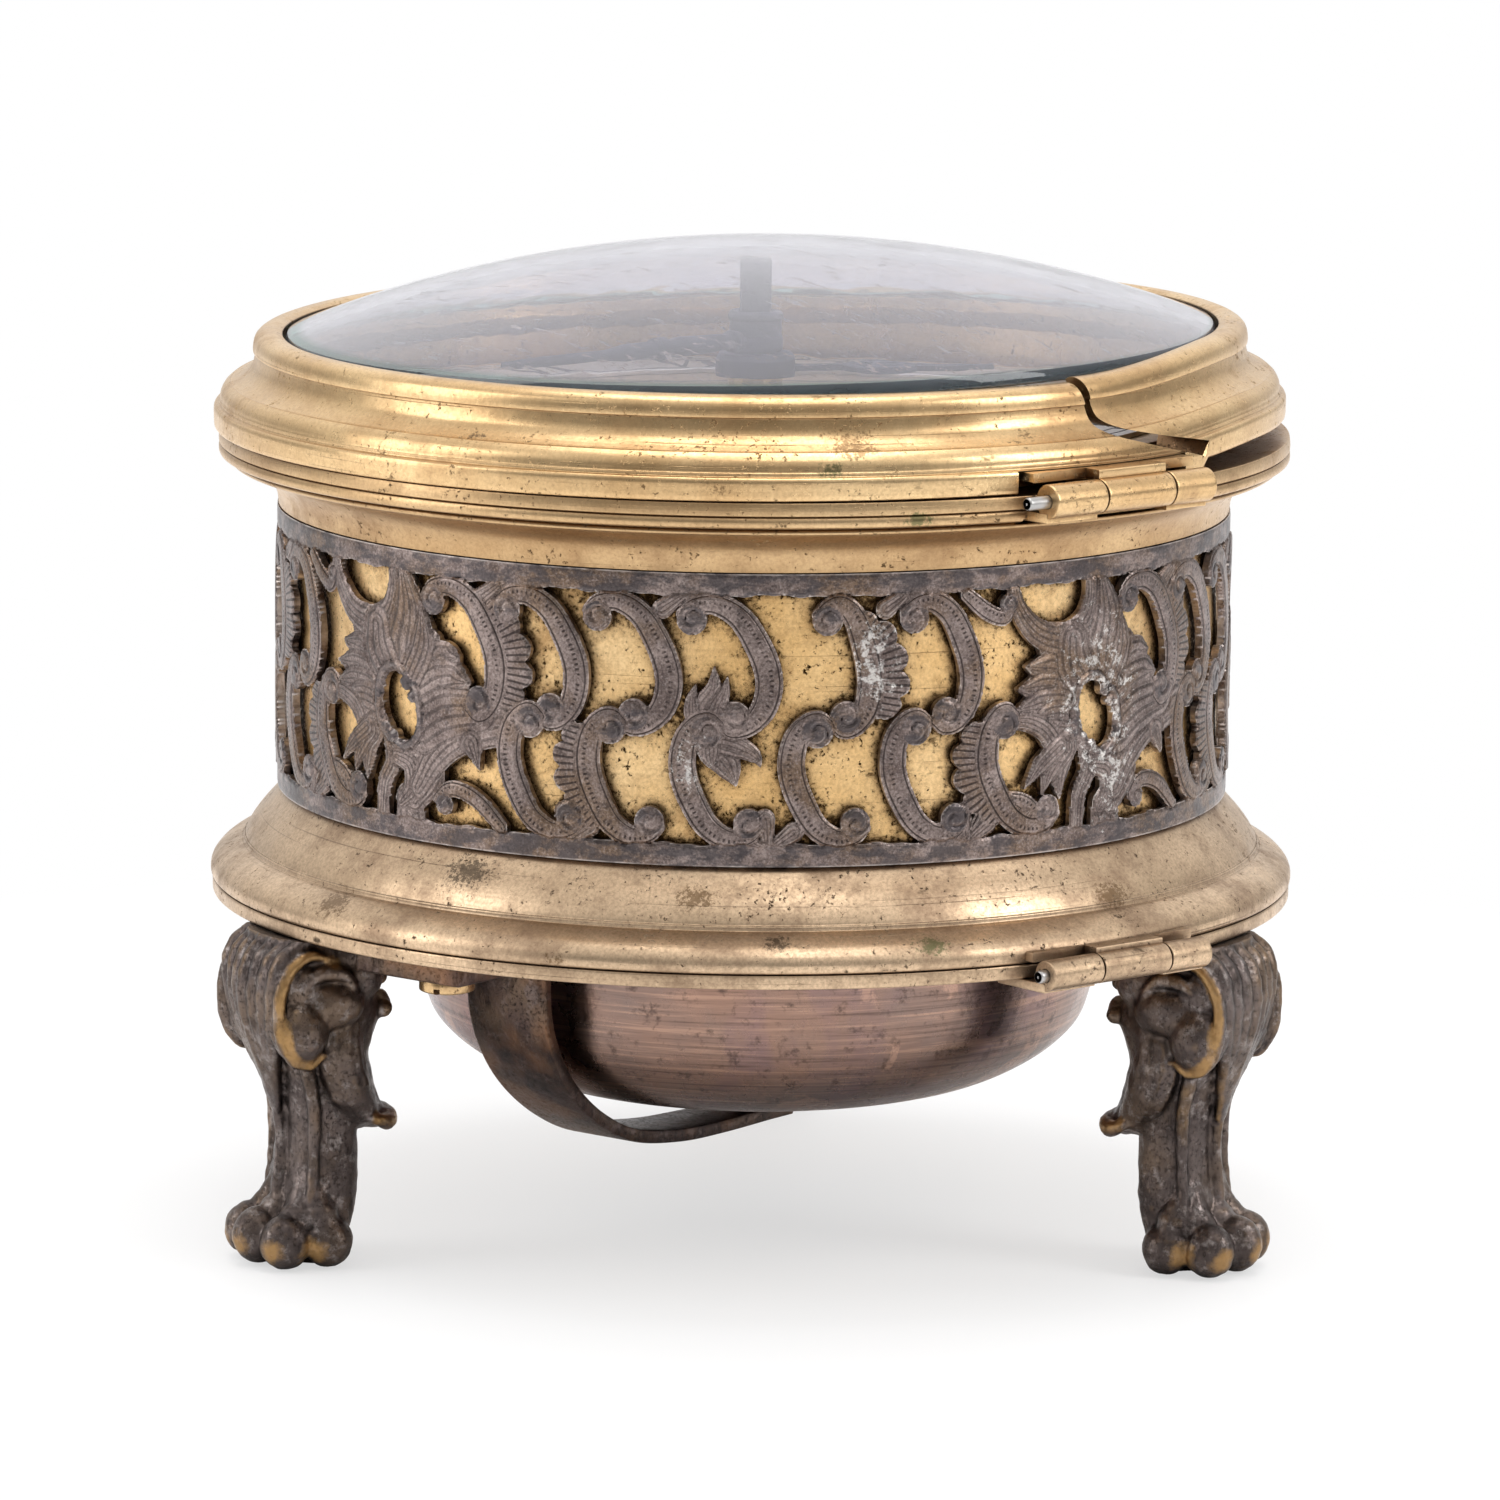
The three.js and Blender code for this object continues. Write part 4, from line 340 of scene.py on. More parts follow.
# Turned rings of the case. Steps are how far in from the edge and how far up.
MOULDING_TORUS = [(0.05, 0.3), (0, 0.95), (0.2, 1.7), (0.95, 2.6), (2.05, 3.35), (3.2, 3.95), (3.6, 4.1)]
MOULDING_FILLET = [(3.95, 4.25), (3.95, 4.7), (4.15, 4.85)]
MOULDING_COVE = [(4.35, 5.3), (4.95, 6.3), (5.95, 7.6), (7.3, 9.1), (8.6, 10.7)]
MOULDING_UNDERSIDE = [(3.3, 2.2), (2.1, 1.2), (2.1, 0), (0.3, 0)]
RING_WALL = 1.5  # what stands in from the drum to carry it
MOULDING_LEDGE = 2.2
NOTCH_GAP = 0.35
LEAF_THICKNESS = 1.1
LEAF_DEPTH = 8


def leaf_bottom(node):
    """The underside of a hinge leaf's flat plate, apart from its knuckles."""
    flat_y = low_corner(node)[1] * MM + LEAF_DEPTH * MM / 3
    return min(v.co.z for v in frame["nodes"][node].data.vertices if v.co.y < flat_y) / MM


def base_ring():
    bore = drum_radius + SEAT_GAP
    ledge = drum_bottom - SEAT_GAP
    profile = [
        inwards(MOULDING_TORUS, moulding_radius, moulding_bottom),
        *each(inwards(MOULDING_FILLET, moulding_radius, moulding_bottom)),
        inwards(MOULDING_COVE, moulding_radius, moulding_bottom),
        [(bore, moulding_top)],
        [(bore, ledge)],
        [(bore - RING_WALL, ledge)],
        [(bore - RING_WALL, drum_bottom - MOULDING_LEDGE)],
        *each(inwards(MOULDING_UNDERSIDE, moulding_radius, moulding_bottom)),
    ]
    ring = spun("base_moulding", outline(profile))
    low, high = low_corner("case_hinge_leaf"), high_corner("case_hinge_leaf")
    notch = block(
        "notch",
        (-hinge_half - NOTCH_GAP, low[1] - NOTCH_GAP, moulding_bottom - OVERRUN),
        (hinge_half + NOTCH_GAP, high[1] + OVERRUN, low[2] + LEAF_THICKNESS + NOTCH_GAP),
        bevel=0,
    )
    return combine(ring, "DIFFERENCE", notch)


TOP_STROKES = [
    [(7.0, 0)],
    [(6.95, 0.5), (6.75, 1.6), (6.1, 2.8), (4.9, 3.9), (3.3, 4.65), (2.1, 4.9)],
    [(1.75, 4.95)],
    [(1.35, 5.15), (1.25, 5.45), (1.5, 5.8)],
    [(0.75, 5.9)],
    [(0.25, 6.0), (0.0, 6.3), (0.0, 6.9), (0.15, 7.2)],
    [(0.3, 7.3)],
    [(0.0, 7.45), (0.0, 8.2), (0.1, 8.9)],
]
DIAL_THICKNESS = 0.95
DIAL_CLEARANCE = 0.2
LIP_WIDTH = 0.9
LEDGE_WIDTH = 3
LEDGE_DEPTH = 3
TOP_WALL_RISE = 6
POCKET_SINK = 1
POCKET_DEPTH = 0.4


def top_ring():
    bore = drum_radius + SEAT_GAP
    top = lid_bottom - SEAT_GAP
    lip = radius_of("dial_plate") + DIAL_CLEARANCE
    ledge = high_corner("dial_plate")[2] - DIAL_THICKNESS - SEAT_GAP / 2
    profile = [inwards(stroke, top_ring_radius, top_ring_bottom) for stroke in TOP_STROKES]
    profile += each([
        (lip + LIP_WIDTH, top),
        (lip + LIP_WIDTH, lip_top),
        (lip, lip_top),
        (lip, ledge),
        (lip - LEDGE_WIDTH, ledge),
        (lip - LEDGE_WIDTH, ledge - LEDGE_DEPTH),
        (bore - RING_WALL, drum_top + TOP_WALL_RISE),
        (bore - RING_WALL, drum_top + SEAT_GAP),
        (bore, drum_top + SEAT_GAP),
        (bore, top_ring_bottom),
    ])
    ring = spun("top_moulding", outline(profile))
    low, flat = low_corner("lid_hinge_lower_leaf")[2], leaf_bottom("lid_hinge_lower_leaf")
    pocket = block(
        "pocket",
        (-hinge_half - NOTCH_GAP, lid_hinge[1] - LEAF_DEPTH - NOTCH_GAP, low + POCKET_DEPTH - POCKET_SINK),
        (hinge_half + NOTCH_GAP, lid_hinge[1] + OVERRUN, flat + LEAF_THICKNESS + SEAT_GAP - POCKET_SINK),
        bevel=0,
    )
    return combine(ring, "DIFFERENCE", pocket)


DRUM_WALL = 1.4
PLATE_OPENING = 42
PLATE_CORNER = 0.3


def drum():
    inner = drum_radius - DRUM_WALL
    corners = [(drum_radius, drum_bottom), (drum_radius, drum_top), (inner, drum_top), (inner, drum_bottom)]
    return spun("drum", outline(each(corners)))


def base_plate():
    corners = [(plate_radius, plate_bottom), (plate_radius, plate_top)]
    corners += [(PLATE_OPENING, plate_top), (PLATE_OPENING, plate_bottom)]
    return spun("base_ring_plate", outline(each(corners), corner=PLATE_CORNER))


# Lid, sawn through at the hinge and sprung up to the right of the cut
LID_HEIGHT = 11.2
LID_SPRING = high_corner("bezel_ring")[2] - lid_bottom - LID_HEIGHT
LID_SIDESTEP = 0.6
LID_DRIFT = polar(LID_SIDESTEP, VIEWER_RIGHT + FULL_TURN / 2)
START_LIFT_SHARE = 0.25
RISING_SHARE = 0.6


def lid_lift(x, y):
    turn = math.degrees(math.atan2(y, x))
    past_cut = (turn - FULL_TURN / 4) % FULL_TURN
    highest = VIEWER_RIGHT - FULL_TURN / 4
    if past_cut < highest:
        along = min(1, past_cut / (highest * RISING_SHARE))
        return LID_SPRING * (START_LIFT_SHARE + (1 - START_LIFT_SHARE) * along * along * (3 - 2 * along))
    fall = (past_cut - highest) / (FULL_TURN / 2)
    return 0 if fall > 1 else LID_SPRING * (1 + math.cos(fall * math.pi)) / 2


LID_BAND = [(0.05, 0.25), (0, 1.2), (0, 2.3), (0.2, 2.65)]
LID_GROOVE = [(0.62, 2.8), (0.62, 3.15)]
LID_OVOLO = [(0.75, 3.3), (0.8, 3.9), (1.2, 4.7), (1.9, 5.3)]
LID_COVE = [(2.1, 5.3), (3.0, 5.75), (3.9, 6.35), (4.55, 7.2), (4.8, 8.3), (4.85, 8.75)]
LID_BEAD = [(4.6, 8.85), (4.62, 9.6), (4.85, 10.4), (5.5, 10.95), (6.4, 11.2), (7.3, 11.15)]
LID_EDGE_STEP = 0.3
LID_NOTCH_RISE = 2.65
LID_NOTCH_SPARE = 0.6
BEAD_DROP = 0.35  # the bead's inner arris lies this far under its top
BEAD_OVERHANG = 0.05
GLASS_DEPTH = 2.1  # from the lid's top to the glass's seat
GLASS_SEAT = 2.3
GLASS_SEAT_EDGE = 1.5
GLASS_SEAT_SLOPE = 3.8

# The cut's right edge, from the top down: X, and height above the lid's foot
SAW_LINE = [
    (0.5, 13.5),
    (0.4, 11.0),
    (-0.3, 9.2),
    (-0.9, 7.2),
    (-1.6, 6.1),
    (-3.4, 5.2),
    (-6.4, 4.4),
    (-10.0, 3.5),
    (-14.6, 2.4),
    (-17, 1.8),
]
SAW_STEP = 0.4
SAW_WIDTH = 0.75
SAW_LEAN_SHARE = 0.35
SAW_START = 20
BESIDE = 0.01  # kept from the hinge's line, so that a point stays on its own side of the cut


def saw_blade():
    """What the saw took out: straight down through the bead, then bending away along the band."""
    side = [(x, lid_bottom + up) for x, up in smooth(SAW_LINE, SAW_STEP)]
    far = [(x - SAW_WIDTH, z + SAW_LEAN_SHARE * SAW_WIDTH) for x, z in side][::-1]
    loop = side + far
    count = len(loop)
    points = [(x, SAW_START, z) for x, z in loop] + [(x, 2 * lid_radius, z) for x, z in loop]
    walls = [(i, (i + 1) % count, (i + 1) % count + count, i + count) for i in range(count)]
    return solid("saw", points, [walls, [tuple(range(count))[::-1]], [tuple(range(count, 2 * count))]])


def bezel():
    top = lid_bottom + LID_HEIGHT
    bore = drum_radius
    seat = top - GLASS_DEPTH
    strokes = [LID_BAND, *each(LID_GROOVE), LID_OVOLO, LID_COVE, LID_BEAD]
    profile = [inwards(stroke, lid_radius, lid_bottom) for stroke in strokes]
    profile += each([
        (bore + BEAD_OVERHANG, top - BEAD_DROP),
        (bore + BEAD_OVERHANG, seat),
        (bore - GLASS_SEAT, seat),
        (bore - GLASS_SEAT, seat - GLASS_SEAT_EDGE),
        (bore, seat - GLASS_SEAT_SLOPE),
        (bore, lid_bottom),
        (lid_radius - LID_EDGE_STEP, lid_bottom),
    ])
    ring = spun("lid_ring", outline(profile))
    left = -hinge_half - NOTCH_GAP - LID_NOTCH_SPARE
    notch = block(
        "notch",
        (left, lid_hinge[1] - LEAF_DEPTH - NOTCH_GAP, lid_bottom - OVERRUN),
        (hinge_half + NOTCH_GAP, lid_hinge[1] + OVERRUN, lid_bottom + LID_NOTCH_RISE),
        bevel=0,
    )
    combine(ring, "DIFFERENCE", notch, saw_blade())
    places = [x for x, _ in SAW_LINE][::-1]
    heights = [lid_bottom + up for _, up in SAW_LINE][::-1]
    for vertex in ring.data.vertices:
        x, y, z = vertex.co / MM
        cut = np.interp(z, heights, places) - SAW_WIDTH / 2
        if y < 0 or x < cut:
            lift = lid_lift(min(x, -BESIDE) if y > 0 else x, y)
        else:
            lift = lid_lift(max(x, BESIDE), y)
        vertex.co.z += lift * MM
    ring.data.transform(Matrix.Translation((LID_DRIFT[0] * MM, LID_DRIFT[1] * MM, 0)))
    return ring


GLASS_RADIUS = 54.6
GLASS_THICKNESS = 1.5
GLASS_RISE = 9.95
GLASS_STEPS = 40
GLASS_TOP_CHAMFER = (0.25, 0.35)
GLASS_FOOT_CHAMFER = 0.3


def glass_dome():
    curve = (GLASS_RADIUS**2 + GLASS_RISE**2) / (2 * GLASS_RISE)

    def dome(height, reach):
        """From the middle out to the reach, along a sphere."""
        crown = height + GLASS_RISE - curve
        return [(r, crown + math.sqrt(curve**2 - r**2)) for r in np.linspace(0, reach, GLASS_STEPS)]

    outer = dome(GLASS_THICKNESS, GLASS_RADIUS - GLASS_TOP_CHAMFER[0])
    inner = dome(0, GLASS_RADIUS - GLASS_FOOT_CHAMFER)[::-1]
    edge = [(GLASS_RADIUS, GLASS_THICKNESS - GLASS_TOP_CHAMFER[1]), (GLASS_RADIUS, GLASS_FOOT_CHAMFER)]
    disc = spun("glass_dome", [*outer, *edge, *inner])
    tip = math.asin(LID_SPRING / (2 * GLASS_RADIUS))
    axis = Vector((*polar(1, VIEWER_RIGHT + FULL_TURN / 4), 0))
    disc.data.transform(Matrix.Rotation(-tip, 4, axis))
    seat = lid_bottom + LID_HEIGHT - GLASS_DEPTH + SEAT_GAP + LID_SPRING / 2
    disc.data.transform(Matrix.Translation((LID_DRIFT[0] * MM, LID_DRIFT[1] * MM, seat * MM)))
    return disc


# Hinges: flat leaves whose knuckles take turns along a pin
KNUCKLES = (7.7, 10.3, 6.2)
KNUCKLE_GAP = 0.2
HINGE_BORE = 0.83
LID_KNUCKLE, BASE_KNUCKLE = 1.95, 1.75


def knuckle_spans():
    right = sum(KNUCKLES) / 2
    spans = []
    for length in KNUCKLES:
        spans.append((right - length + KNUCKLE_GAP / 2, right - KNUCKLE_GAP / 2))
        right -= length
    return spans


def hinge_leaf(name, node, hinge, radius, own):
    bottom = leaf_bottom(node)
    half = sum(KNUCKLES) / 2
    y, z = hinge[1], hinge[2]
    leaf = block(name, (-half, y - LEAF_DEPTH, bottom), (half, y, bottom + LEAF_THICKNESS))
    for i, (left, right) in enumerate(knuckle_spans()):
        if i not in own:
            gap = block(
                "gap",
                (left - KNUCKLE_GAP, y - radius - NOTCH_GAP, bottom - OVERRUN),
                (right + KNUCKLE_GAP, y + OVERRUN, bottom + LEAF_THICKNESS + OVERRUN),
                bevel=0,
            )
            combine(leaf, "DIFFERENCE", gap)
    for i in own:
        left, right = knuckle_spans()[i]
        combine(leaf, "UNION", crossbar("knuckle", radius, left, right, y, z))
    bore = crossbar("bore", HINGE_BORE, -half - OVERRUN, half + OVERRUN, y, z)
    return combine(leaf, "DIFFERENCE", bore)


def hinge_pin(name, node, hinge):
    low, high = low_corner(node), high_corner(node)
    return crossbar(name, (high[2] - low[2]) / 2, low[0], high[0], hinge[1], hinge[2], corner=PIN_EASE)


# Frieze, drawn flat as a field of distances and then bent round the drum
GRID_STEP = 0.2
BAND_RELIEF = 0.44  # how far carving stands above the ground sheet
RAIL_RELIEF = 0.16
EDGE_EASE = 0.32
FRIEZE_GAP = 0.5
RAIL = 2.5
LEAF_MARK = 4  # added to the share across a stroke, so that its finish can tell leaves and frills from bands
FRILL_MARK = 8
PLAIN_MARK = 12
FAR = 9.0  # a distance well outside the metal
STROKE_STEP = 0.4
WINDOW_SPARE = 0.5
BAND_FALL_SHARE = 0.25
GROOVE_AT_SHARE, GROOVE_WIDTH_SHARE, GROOVE_DEPTH = 0.74, 0.1, 0.07
LEAF_RELIEF = 0.42
LEAF_EDGE_SHARE = 0.62
RIB_WIDTH_SHARE, RIB_DEPTH = 0.12, 0.1
VEINS, VEIN_DEPTH = 3.4, 0.05
PLAIN_EDGE_SHARE = 0.02
DISC_TURNS = 1.25
DISC_EDGE_SHARE, DISC_DOME_SHARE = 0.85, 0.28
SPIRAL_DEPTH = 0.24
SPIRAL_START_SHARE, SPIRAL_END_SHARE = 0.25, 0.9
FRILL_STEP = 0.3
FRILL_SPARE = 0.8
FRILL_BACK = 1.2  # how far a frill reaches behind its path
FRILL_ROOT_SHARE = 0.66
FRILL_RELIEF, FRILL_FALL, SCALLOP_RELIEF = 0.34, 0.16, 0.05
SCALLOP_POWER = 0.7
FRILL_TEETH = 5
FAN_LOBES = 3
FAN_SPREAD = 120
FAN_ROOT = 0.8
FAN_WIDTHS = (0.5, 1.15)
FAN_RELIEF = 0.32


class Field:
    """A flat drawing on a grid: how far inside the metal each point is, and how high it stands there."""

    def __init__(self, u, v):
        self.u, self.v = u, v
        self.inside = np.full(u.shape, -FAR)
        self.height = np.zeros(u.shape)
        self.along = np.zeros(u.shape)
        self.across = np.full(u.shape, float(PLAIN_MARK))

    def window(self, points, reach):
        """The part of the grid that lies within reach of the points."""
        low, high = np.min(points, axis=0) - reach, np.max(points, axis=0) + reach
        columns = np.flatnonzero((self.u[0] > low[0]) & (self.u[0] < high[0]))
        rows = np.flatnonzero((self.v[:, 0] > low[1]) & (self.v[:, 0] < high[1]))
        if not len(columns) or not len(rows):
            return None
        return (slice(rows[0], rows[-1] + 1), slice(columns[0], columns[-1] + 1))

    def add(self, at, inside, height, along=0.0, across=float(PLAIN_MARK)):
        """Lays new metal over the old, its own carving on top."""
        taken = inside > 0
        self.height[at] = np.where(taken, height, self.height[at])
        self.along[at] = np.where(taken, along, self.along[at])
        self.across[at] = np.where(taken, across, self.across[at])
        self.inside[at] = np.maximum(self.inside[at], inside)

    def drill(self, at, outside):
        self.inside[at] = np.minimum(self.inside[at], outside)


def stroke_distance(u, v, points, widths):
    """How far past a stroke's edge each point is, with its place along the stroke and share across it."""
    best = np.full(u.shape, np.inf)
    along, across = np.zeros(u.shape), np.zeros(u.shape)
    run = 0.0
    for (ax, ay), (bx, by), wa, wb in zip(points, points[1:], widths, widths[1:]):
        dx, dy = bx - ax, by - ay
        length = max(math.hypot(dx, dy), TINY)
        t = np.clip(((u - ax) * dx + (v - ay) * dy) / length**2, 0, 1)
        away = np.hypot(u - ax - t * dx, v - ay - t * dy)
        half = wa + (wb - wa) * t
        side = np.sign(dx * (v - ay) - dy * (u - ax))
        closer = away - half < best
        best = np.where(closer, away - half, best)
        along = np.where(closer, run + t * length, along)
        across = np.where(closer, side * away / half, across)
        run += length
    return best, along, across


def draw_stroke(field, points, widths, relief=BAND_RELIEF, style="band"):
    """A tapering stroke. Widths are half widths, spread evenly along its smooth path."""
    curve = [tuple(p) for p in smooth(points, STROKE_STEP)]
    spread = np.interp(np.linspace(0, 1, len(curve)), np.linspace(0, 1, len(widths)), widths)
    at = field.window(curve, max(widths) + WINDOW_SPARE)
    if at is None:
        return
    past, along, across = stroke_distance(field.u[at], field.v[at], curve, spread)
    share = np.clip(np.abs(across), 0, 1)
    if style == "band":
        groove = GROOVE_DEPTH * np.exp(-(((share - GROOVE_AT_SHARE) / GROOVE_WIDTH_SHARE) ** 2))
        field.add(at, -past, relief * (1 - BAND_FALL_SHARE * share**4) - groove, along, across)
    elif style == "leaf":
        dome = relief * (LEAF_EDGE_SHARE + (1 - LEAF_EDGE_SHARE) * np.sqrt(1 - share**2))
        rib = RIB_DEPTH * np.exp(-((share / RIB_WIDTH_SHARE) ** 2))
        veins = VEIN_DEPTH * np.cos(across * VEINS * math.pi)
        field.add(at, -past, dome - rib + veins, along, across + LEAF_MARK)
    else:
        field.add(at, -past, relief * np.sqrt(1 + PLAIN_EDGE_SHARE - share**2))


def draw_disc(field, centre, radius, relief=BAND_RELIEF, turns=DISC_TURNS, spin=1, start=0.0):
    """A coiled end: a button with a spiral cut in it."""
    at = field.window([centre], radius + WINDOW_SPARE)
    if at is None:
        return
    u, v = field.u[at] - centre[0], field.v[at] - centre[1]
    away = np.hypot(u, v)
    angle = np.arctan2(v, u) * spin + start
    groove = np.cos((away / radius * turns + angle / (2 * math.pi)) * 2 * math.pi)
    dome = relief * (DISC_EDGE_SHARE + DISC_DOME_SHARE * np.sqrt(np.clip(1 - (away / radius) ** 2, 0, 1)))
    cut = (away > SPIRAL_START_SHARE * radius) * (away < SPIRAL_END_SHARE * radius)
    field.add(at, radius - away, dome - SPIRAL_DEPTH * np.clip(groove, 0, 1) ** 4 * cut)


def draw_frill(field, points, widths):
    """A leaf strip along a path, with a scalloped edge on its left and hatching across it."""
    curve = [tuple(p) for p in smooth(points, FRILL_STEP)]
    width = max(widths)
    at = field.window(curve, width + FRILL_SPARE)
    if at is None:
        return
    past, along, across = stroke_distance(field.u[at], field.v[at], curve, np.ones(len(curve)))
    away = (past + 1) * np.sign(across)
    total = sum(math.dist(a, b) for a, b in zip(curve, curve[1:]))
    share = along / total
    local = np.interp(share, np.linspace(0, 1, len(widths)), widths)
    scallop = np.abs(np.sin(share * math.pi * FRILL_TEETH)) ** SCALLOP_POWER
    reach = local * (FRILL_ROOT_SHARE + (1 - FRILL_ROOT_SHARE) * scallop)
    body = np.minimum(reach - away, away + FRILL_BACK)
    body = np.where((share <= 0) | (share >= 1), -FAR, body)
    part = np.clip(away / width, 0, 1)
    field.add(at, body, FRILL_RELIEF - FRILL_FALL * part + SCALLOP_RELIEF * scallop, along, part + FRILL_MARK)


def draw_fan(field, centre, angle, radius):
    """A small shell of overlapping lobes that spread from the rail."""
    for turn in np.linspace(angle - FAN_SPREAD / 2, angle + FAN_SPREAD / 2, FAN_LOBES):
        strip = [polar(-FAN_ROOT, turn, centre), polar(radius, turn, centre)]
        draw_stroke(field, strip, FAN_WIDTHS, FAN_RELIEF, "leaf")


# Each scroll: the middle of its bulge along the band, and how far its top and foot curl back from there
UPPER_SCROLLS = (
    (-30.6, 9.1, 2.3),
    (-20.4, 8.8, 3.1),
    (-9.5, 8.4, 4.0),
    (1.9, 8.8, 3.9),
    (13.5, 5.0, 2.8),
    (25.8, 7.2, 3.1),
)
LOWER_SCROLLS = (
    (-28.9, 7.8, 2.7),
    (-19.0, 7.4, 2.7),
    (-7.9, 7.6, 2.8),
    (4.5, 7.4, 2.9),
    (16.2, 7.6, 2.7),
    (27.8, 8.4, 2.4),
)
UPPER_ROW = 5.8
LOWER_ROW = -6.4
LOWER_SHARE = 0.95
# Points of a scroll: the share of its reach that they lie back, how much further, and their height
SCROLL_HEAD = ((1, 1.0, 6.2), (1, -0.2, 7.2), (0.68, 0, 7.4), (0.38, 0, 5.9), (0.16, 0, 3.0), (0.03, 0, 0.3))
SCROLL_FOOT = ((0, 0, -2.1), (0.17, 0, -4.5), (0.58, 0, -6.3), (1, 0.2, -6.9), (1, 1.3, -6.2))
SCROLL_WIDTHS = (0.8, 1.15, 1.35, 1.48, 1.56, 1.58, 1.56, 1.45, 1.15, 0.8)
HEAD_DISC_HEIGHT, HEAD_DISC = 5.6, 1.72
FOOT_DISC_HEIGHT, FOOT_DISC = -5.4, 1.82
FOOT_DISC_START = 1.2
FRILLED_UPPER, FRILLED_LOWER = (0, 4), (1, 5)
UPPER_FRILL = ((-2.2, 6.2), (0.9, 2.6), (1.6, -1.2), (0.9, -5.6))
LOWER_FRILL = ((2.0, -6.0), (-0.8, -2.6), (-1.5, 1.2), (-0.8, 5.4))
UPPER_FRILL_WIDTHS, LOWER_FRILL_WIDTHS = (1.2, 2.6, 3.0, 3.2, 1.8), (1.2, 2.2, 2.8, 2.8, 1.4)
FAN_SINK = 0.6  # how far a fan's middle lies under the rail
UPPER_FAN_BACK, LOWER_FAN_BACK = 0.2, 2.6
UPPER_FAN_ANGLE, LOWER_FAN_ANGLE = -85, 95
UPPER_FAN, LOWER_FAN = 3.9, 3.6


def draw_scroll(field, bulge, row, long_reach, short_reach, turn, share=1.0):
    """A C scroll whose long end curls back by the rail. Turned by one it bulges right, by minus one left."""

    def at(back, height):
        return (bulge - turn * back, row + turn * share * height)

    path = [at(long_reach * part + more, height) for part, more, height in SCROLL_HEAD]
    path += [at(short_reach * part + more, height) for part, more, height in SCROLL_FOOT]
    draw_stroke(field, path, SCROLL_WIDTHS)
    draw_disc(field, at(long_reach, HEAD_DISC_HEIGHT), HEAD_DISC, spin=turn)
    draw_disc(field, at(short_reach, FOOT_DISC_HEIGHT), FOOT_DISC, spin=-turn, start=FOOT_DISC_START)


def draw_quarter(field, middle, half):
    """The two rows of scrolls between one cartouche and the next, half the opening's height each way."""
    for i, (bulge, reach, _) in enumerate(UPPER_SCROLLS):
        u = middle + bulge
        if i % 2:
            draw_fan(field, (u - reach - UPPER_FAN_BACK, half + FAN_SINK), UPPER_FAN_ANGLE, UPPER_FAN)
        if i in FRILLED_UPPER:
            draw_frill(field, [(u + a, UPPER_ROW + b) for a, b in UPPER_FRILL], UPPER_FRILL_WIDTHS)
    for i, (bulge, _, _) in enumerate(LOWER_SCROLLS):
        u = middle + bulge
        if i % 2:
            draw_fan(field, (u - LOWER_FAN_BACK, -half - FAN_SINK), LOWER_FAN_ANGLE, LOWER_FAN)
        if i in FRILLED_LOWER:
            draw_frill(field, [(u + a, LOWER_ROW + b) for a, b in LOWER_FRILL], LOWER_FRILL_WIDTHS)
    draw_sprig(field, middle)
    for bulge, long_reach, short_reach in UPPER_SCROLLS:
        draw_scroll(field, middle + bulge, UPPER_ROW, long_reach, short_reach, 1)
    for bulge, long_reach, short_reach in LOWER_SCROLLS:
        draw_scroll(field, middle + bulge, LOWER_ROW, long_reach, short_reach, -1, LOWER_SHARE)


# Each leaf of the sprig: its path from root to tip, and its half widths
SPRIG_LEAVES = (
    (((-4.9, -2.0), (-5.6, 1.2), (-4.4, 3.4), (-4.3, 6.1)), (1.3, 1.6, 1.1, 0.1)),
    (((-4.6, -1.4), (-4.0, 1.4), (-3.2, 3.2), (-2.8, 4.9)), (1.1, 1.2, 0.8, 0.1)),
    (((-5.0, -1.6), (-6.6, 0.4), (-6.8, 2.4), (-6.4, 4.0)), (1.1, 1.1, 0.8, 0.1)),
    (((-5.0, -1.4), (-4.4, -3.2), (-2.8, -5.0), (-1.7, -7.4)), (1.6, 1.9, 1.5, 0.1)),
    (((-3.4, -2.4), (-1.4, -3.0), (0.4, -4.0), (1.0, -5.2)), (1.3, 1.3, 0.9, 0.1)),
    (((-4.6, -2.4), (-4.6, -4.2), (-4.2, -5.6)), (1.2, 1.0, 0.1)),
)


def draw_sprig(field, middle):
    """A cluster of leaves where the two rows meet, one flaming up and one hanging down."""
    for path, widths in SPRIG_LEAVES:
        draw_stroke(field, [(middle + a, b) for a, b in path], widths, LEAF_RELIEF, "leaf")


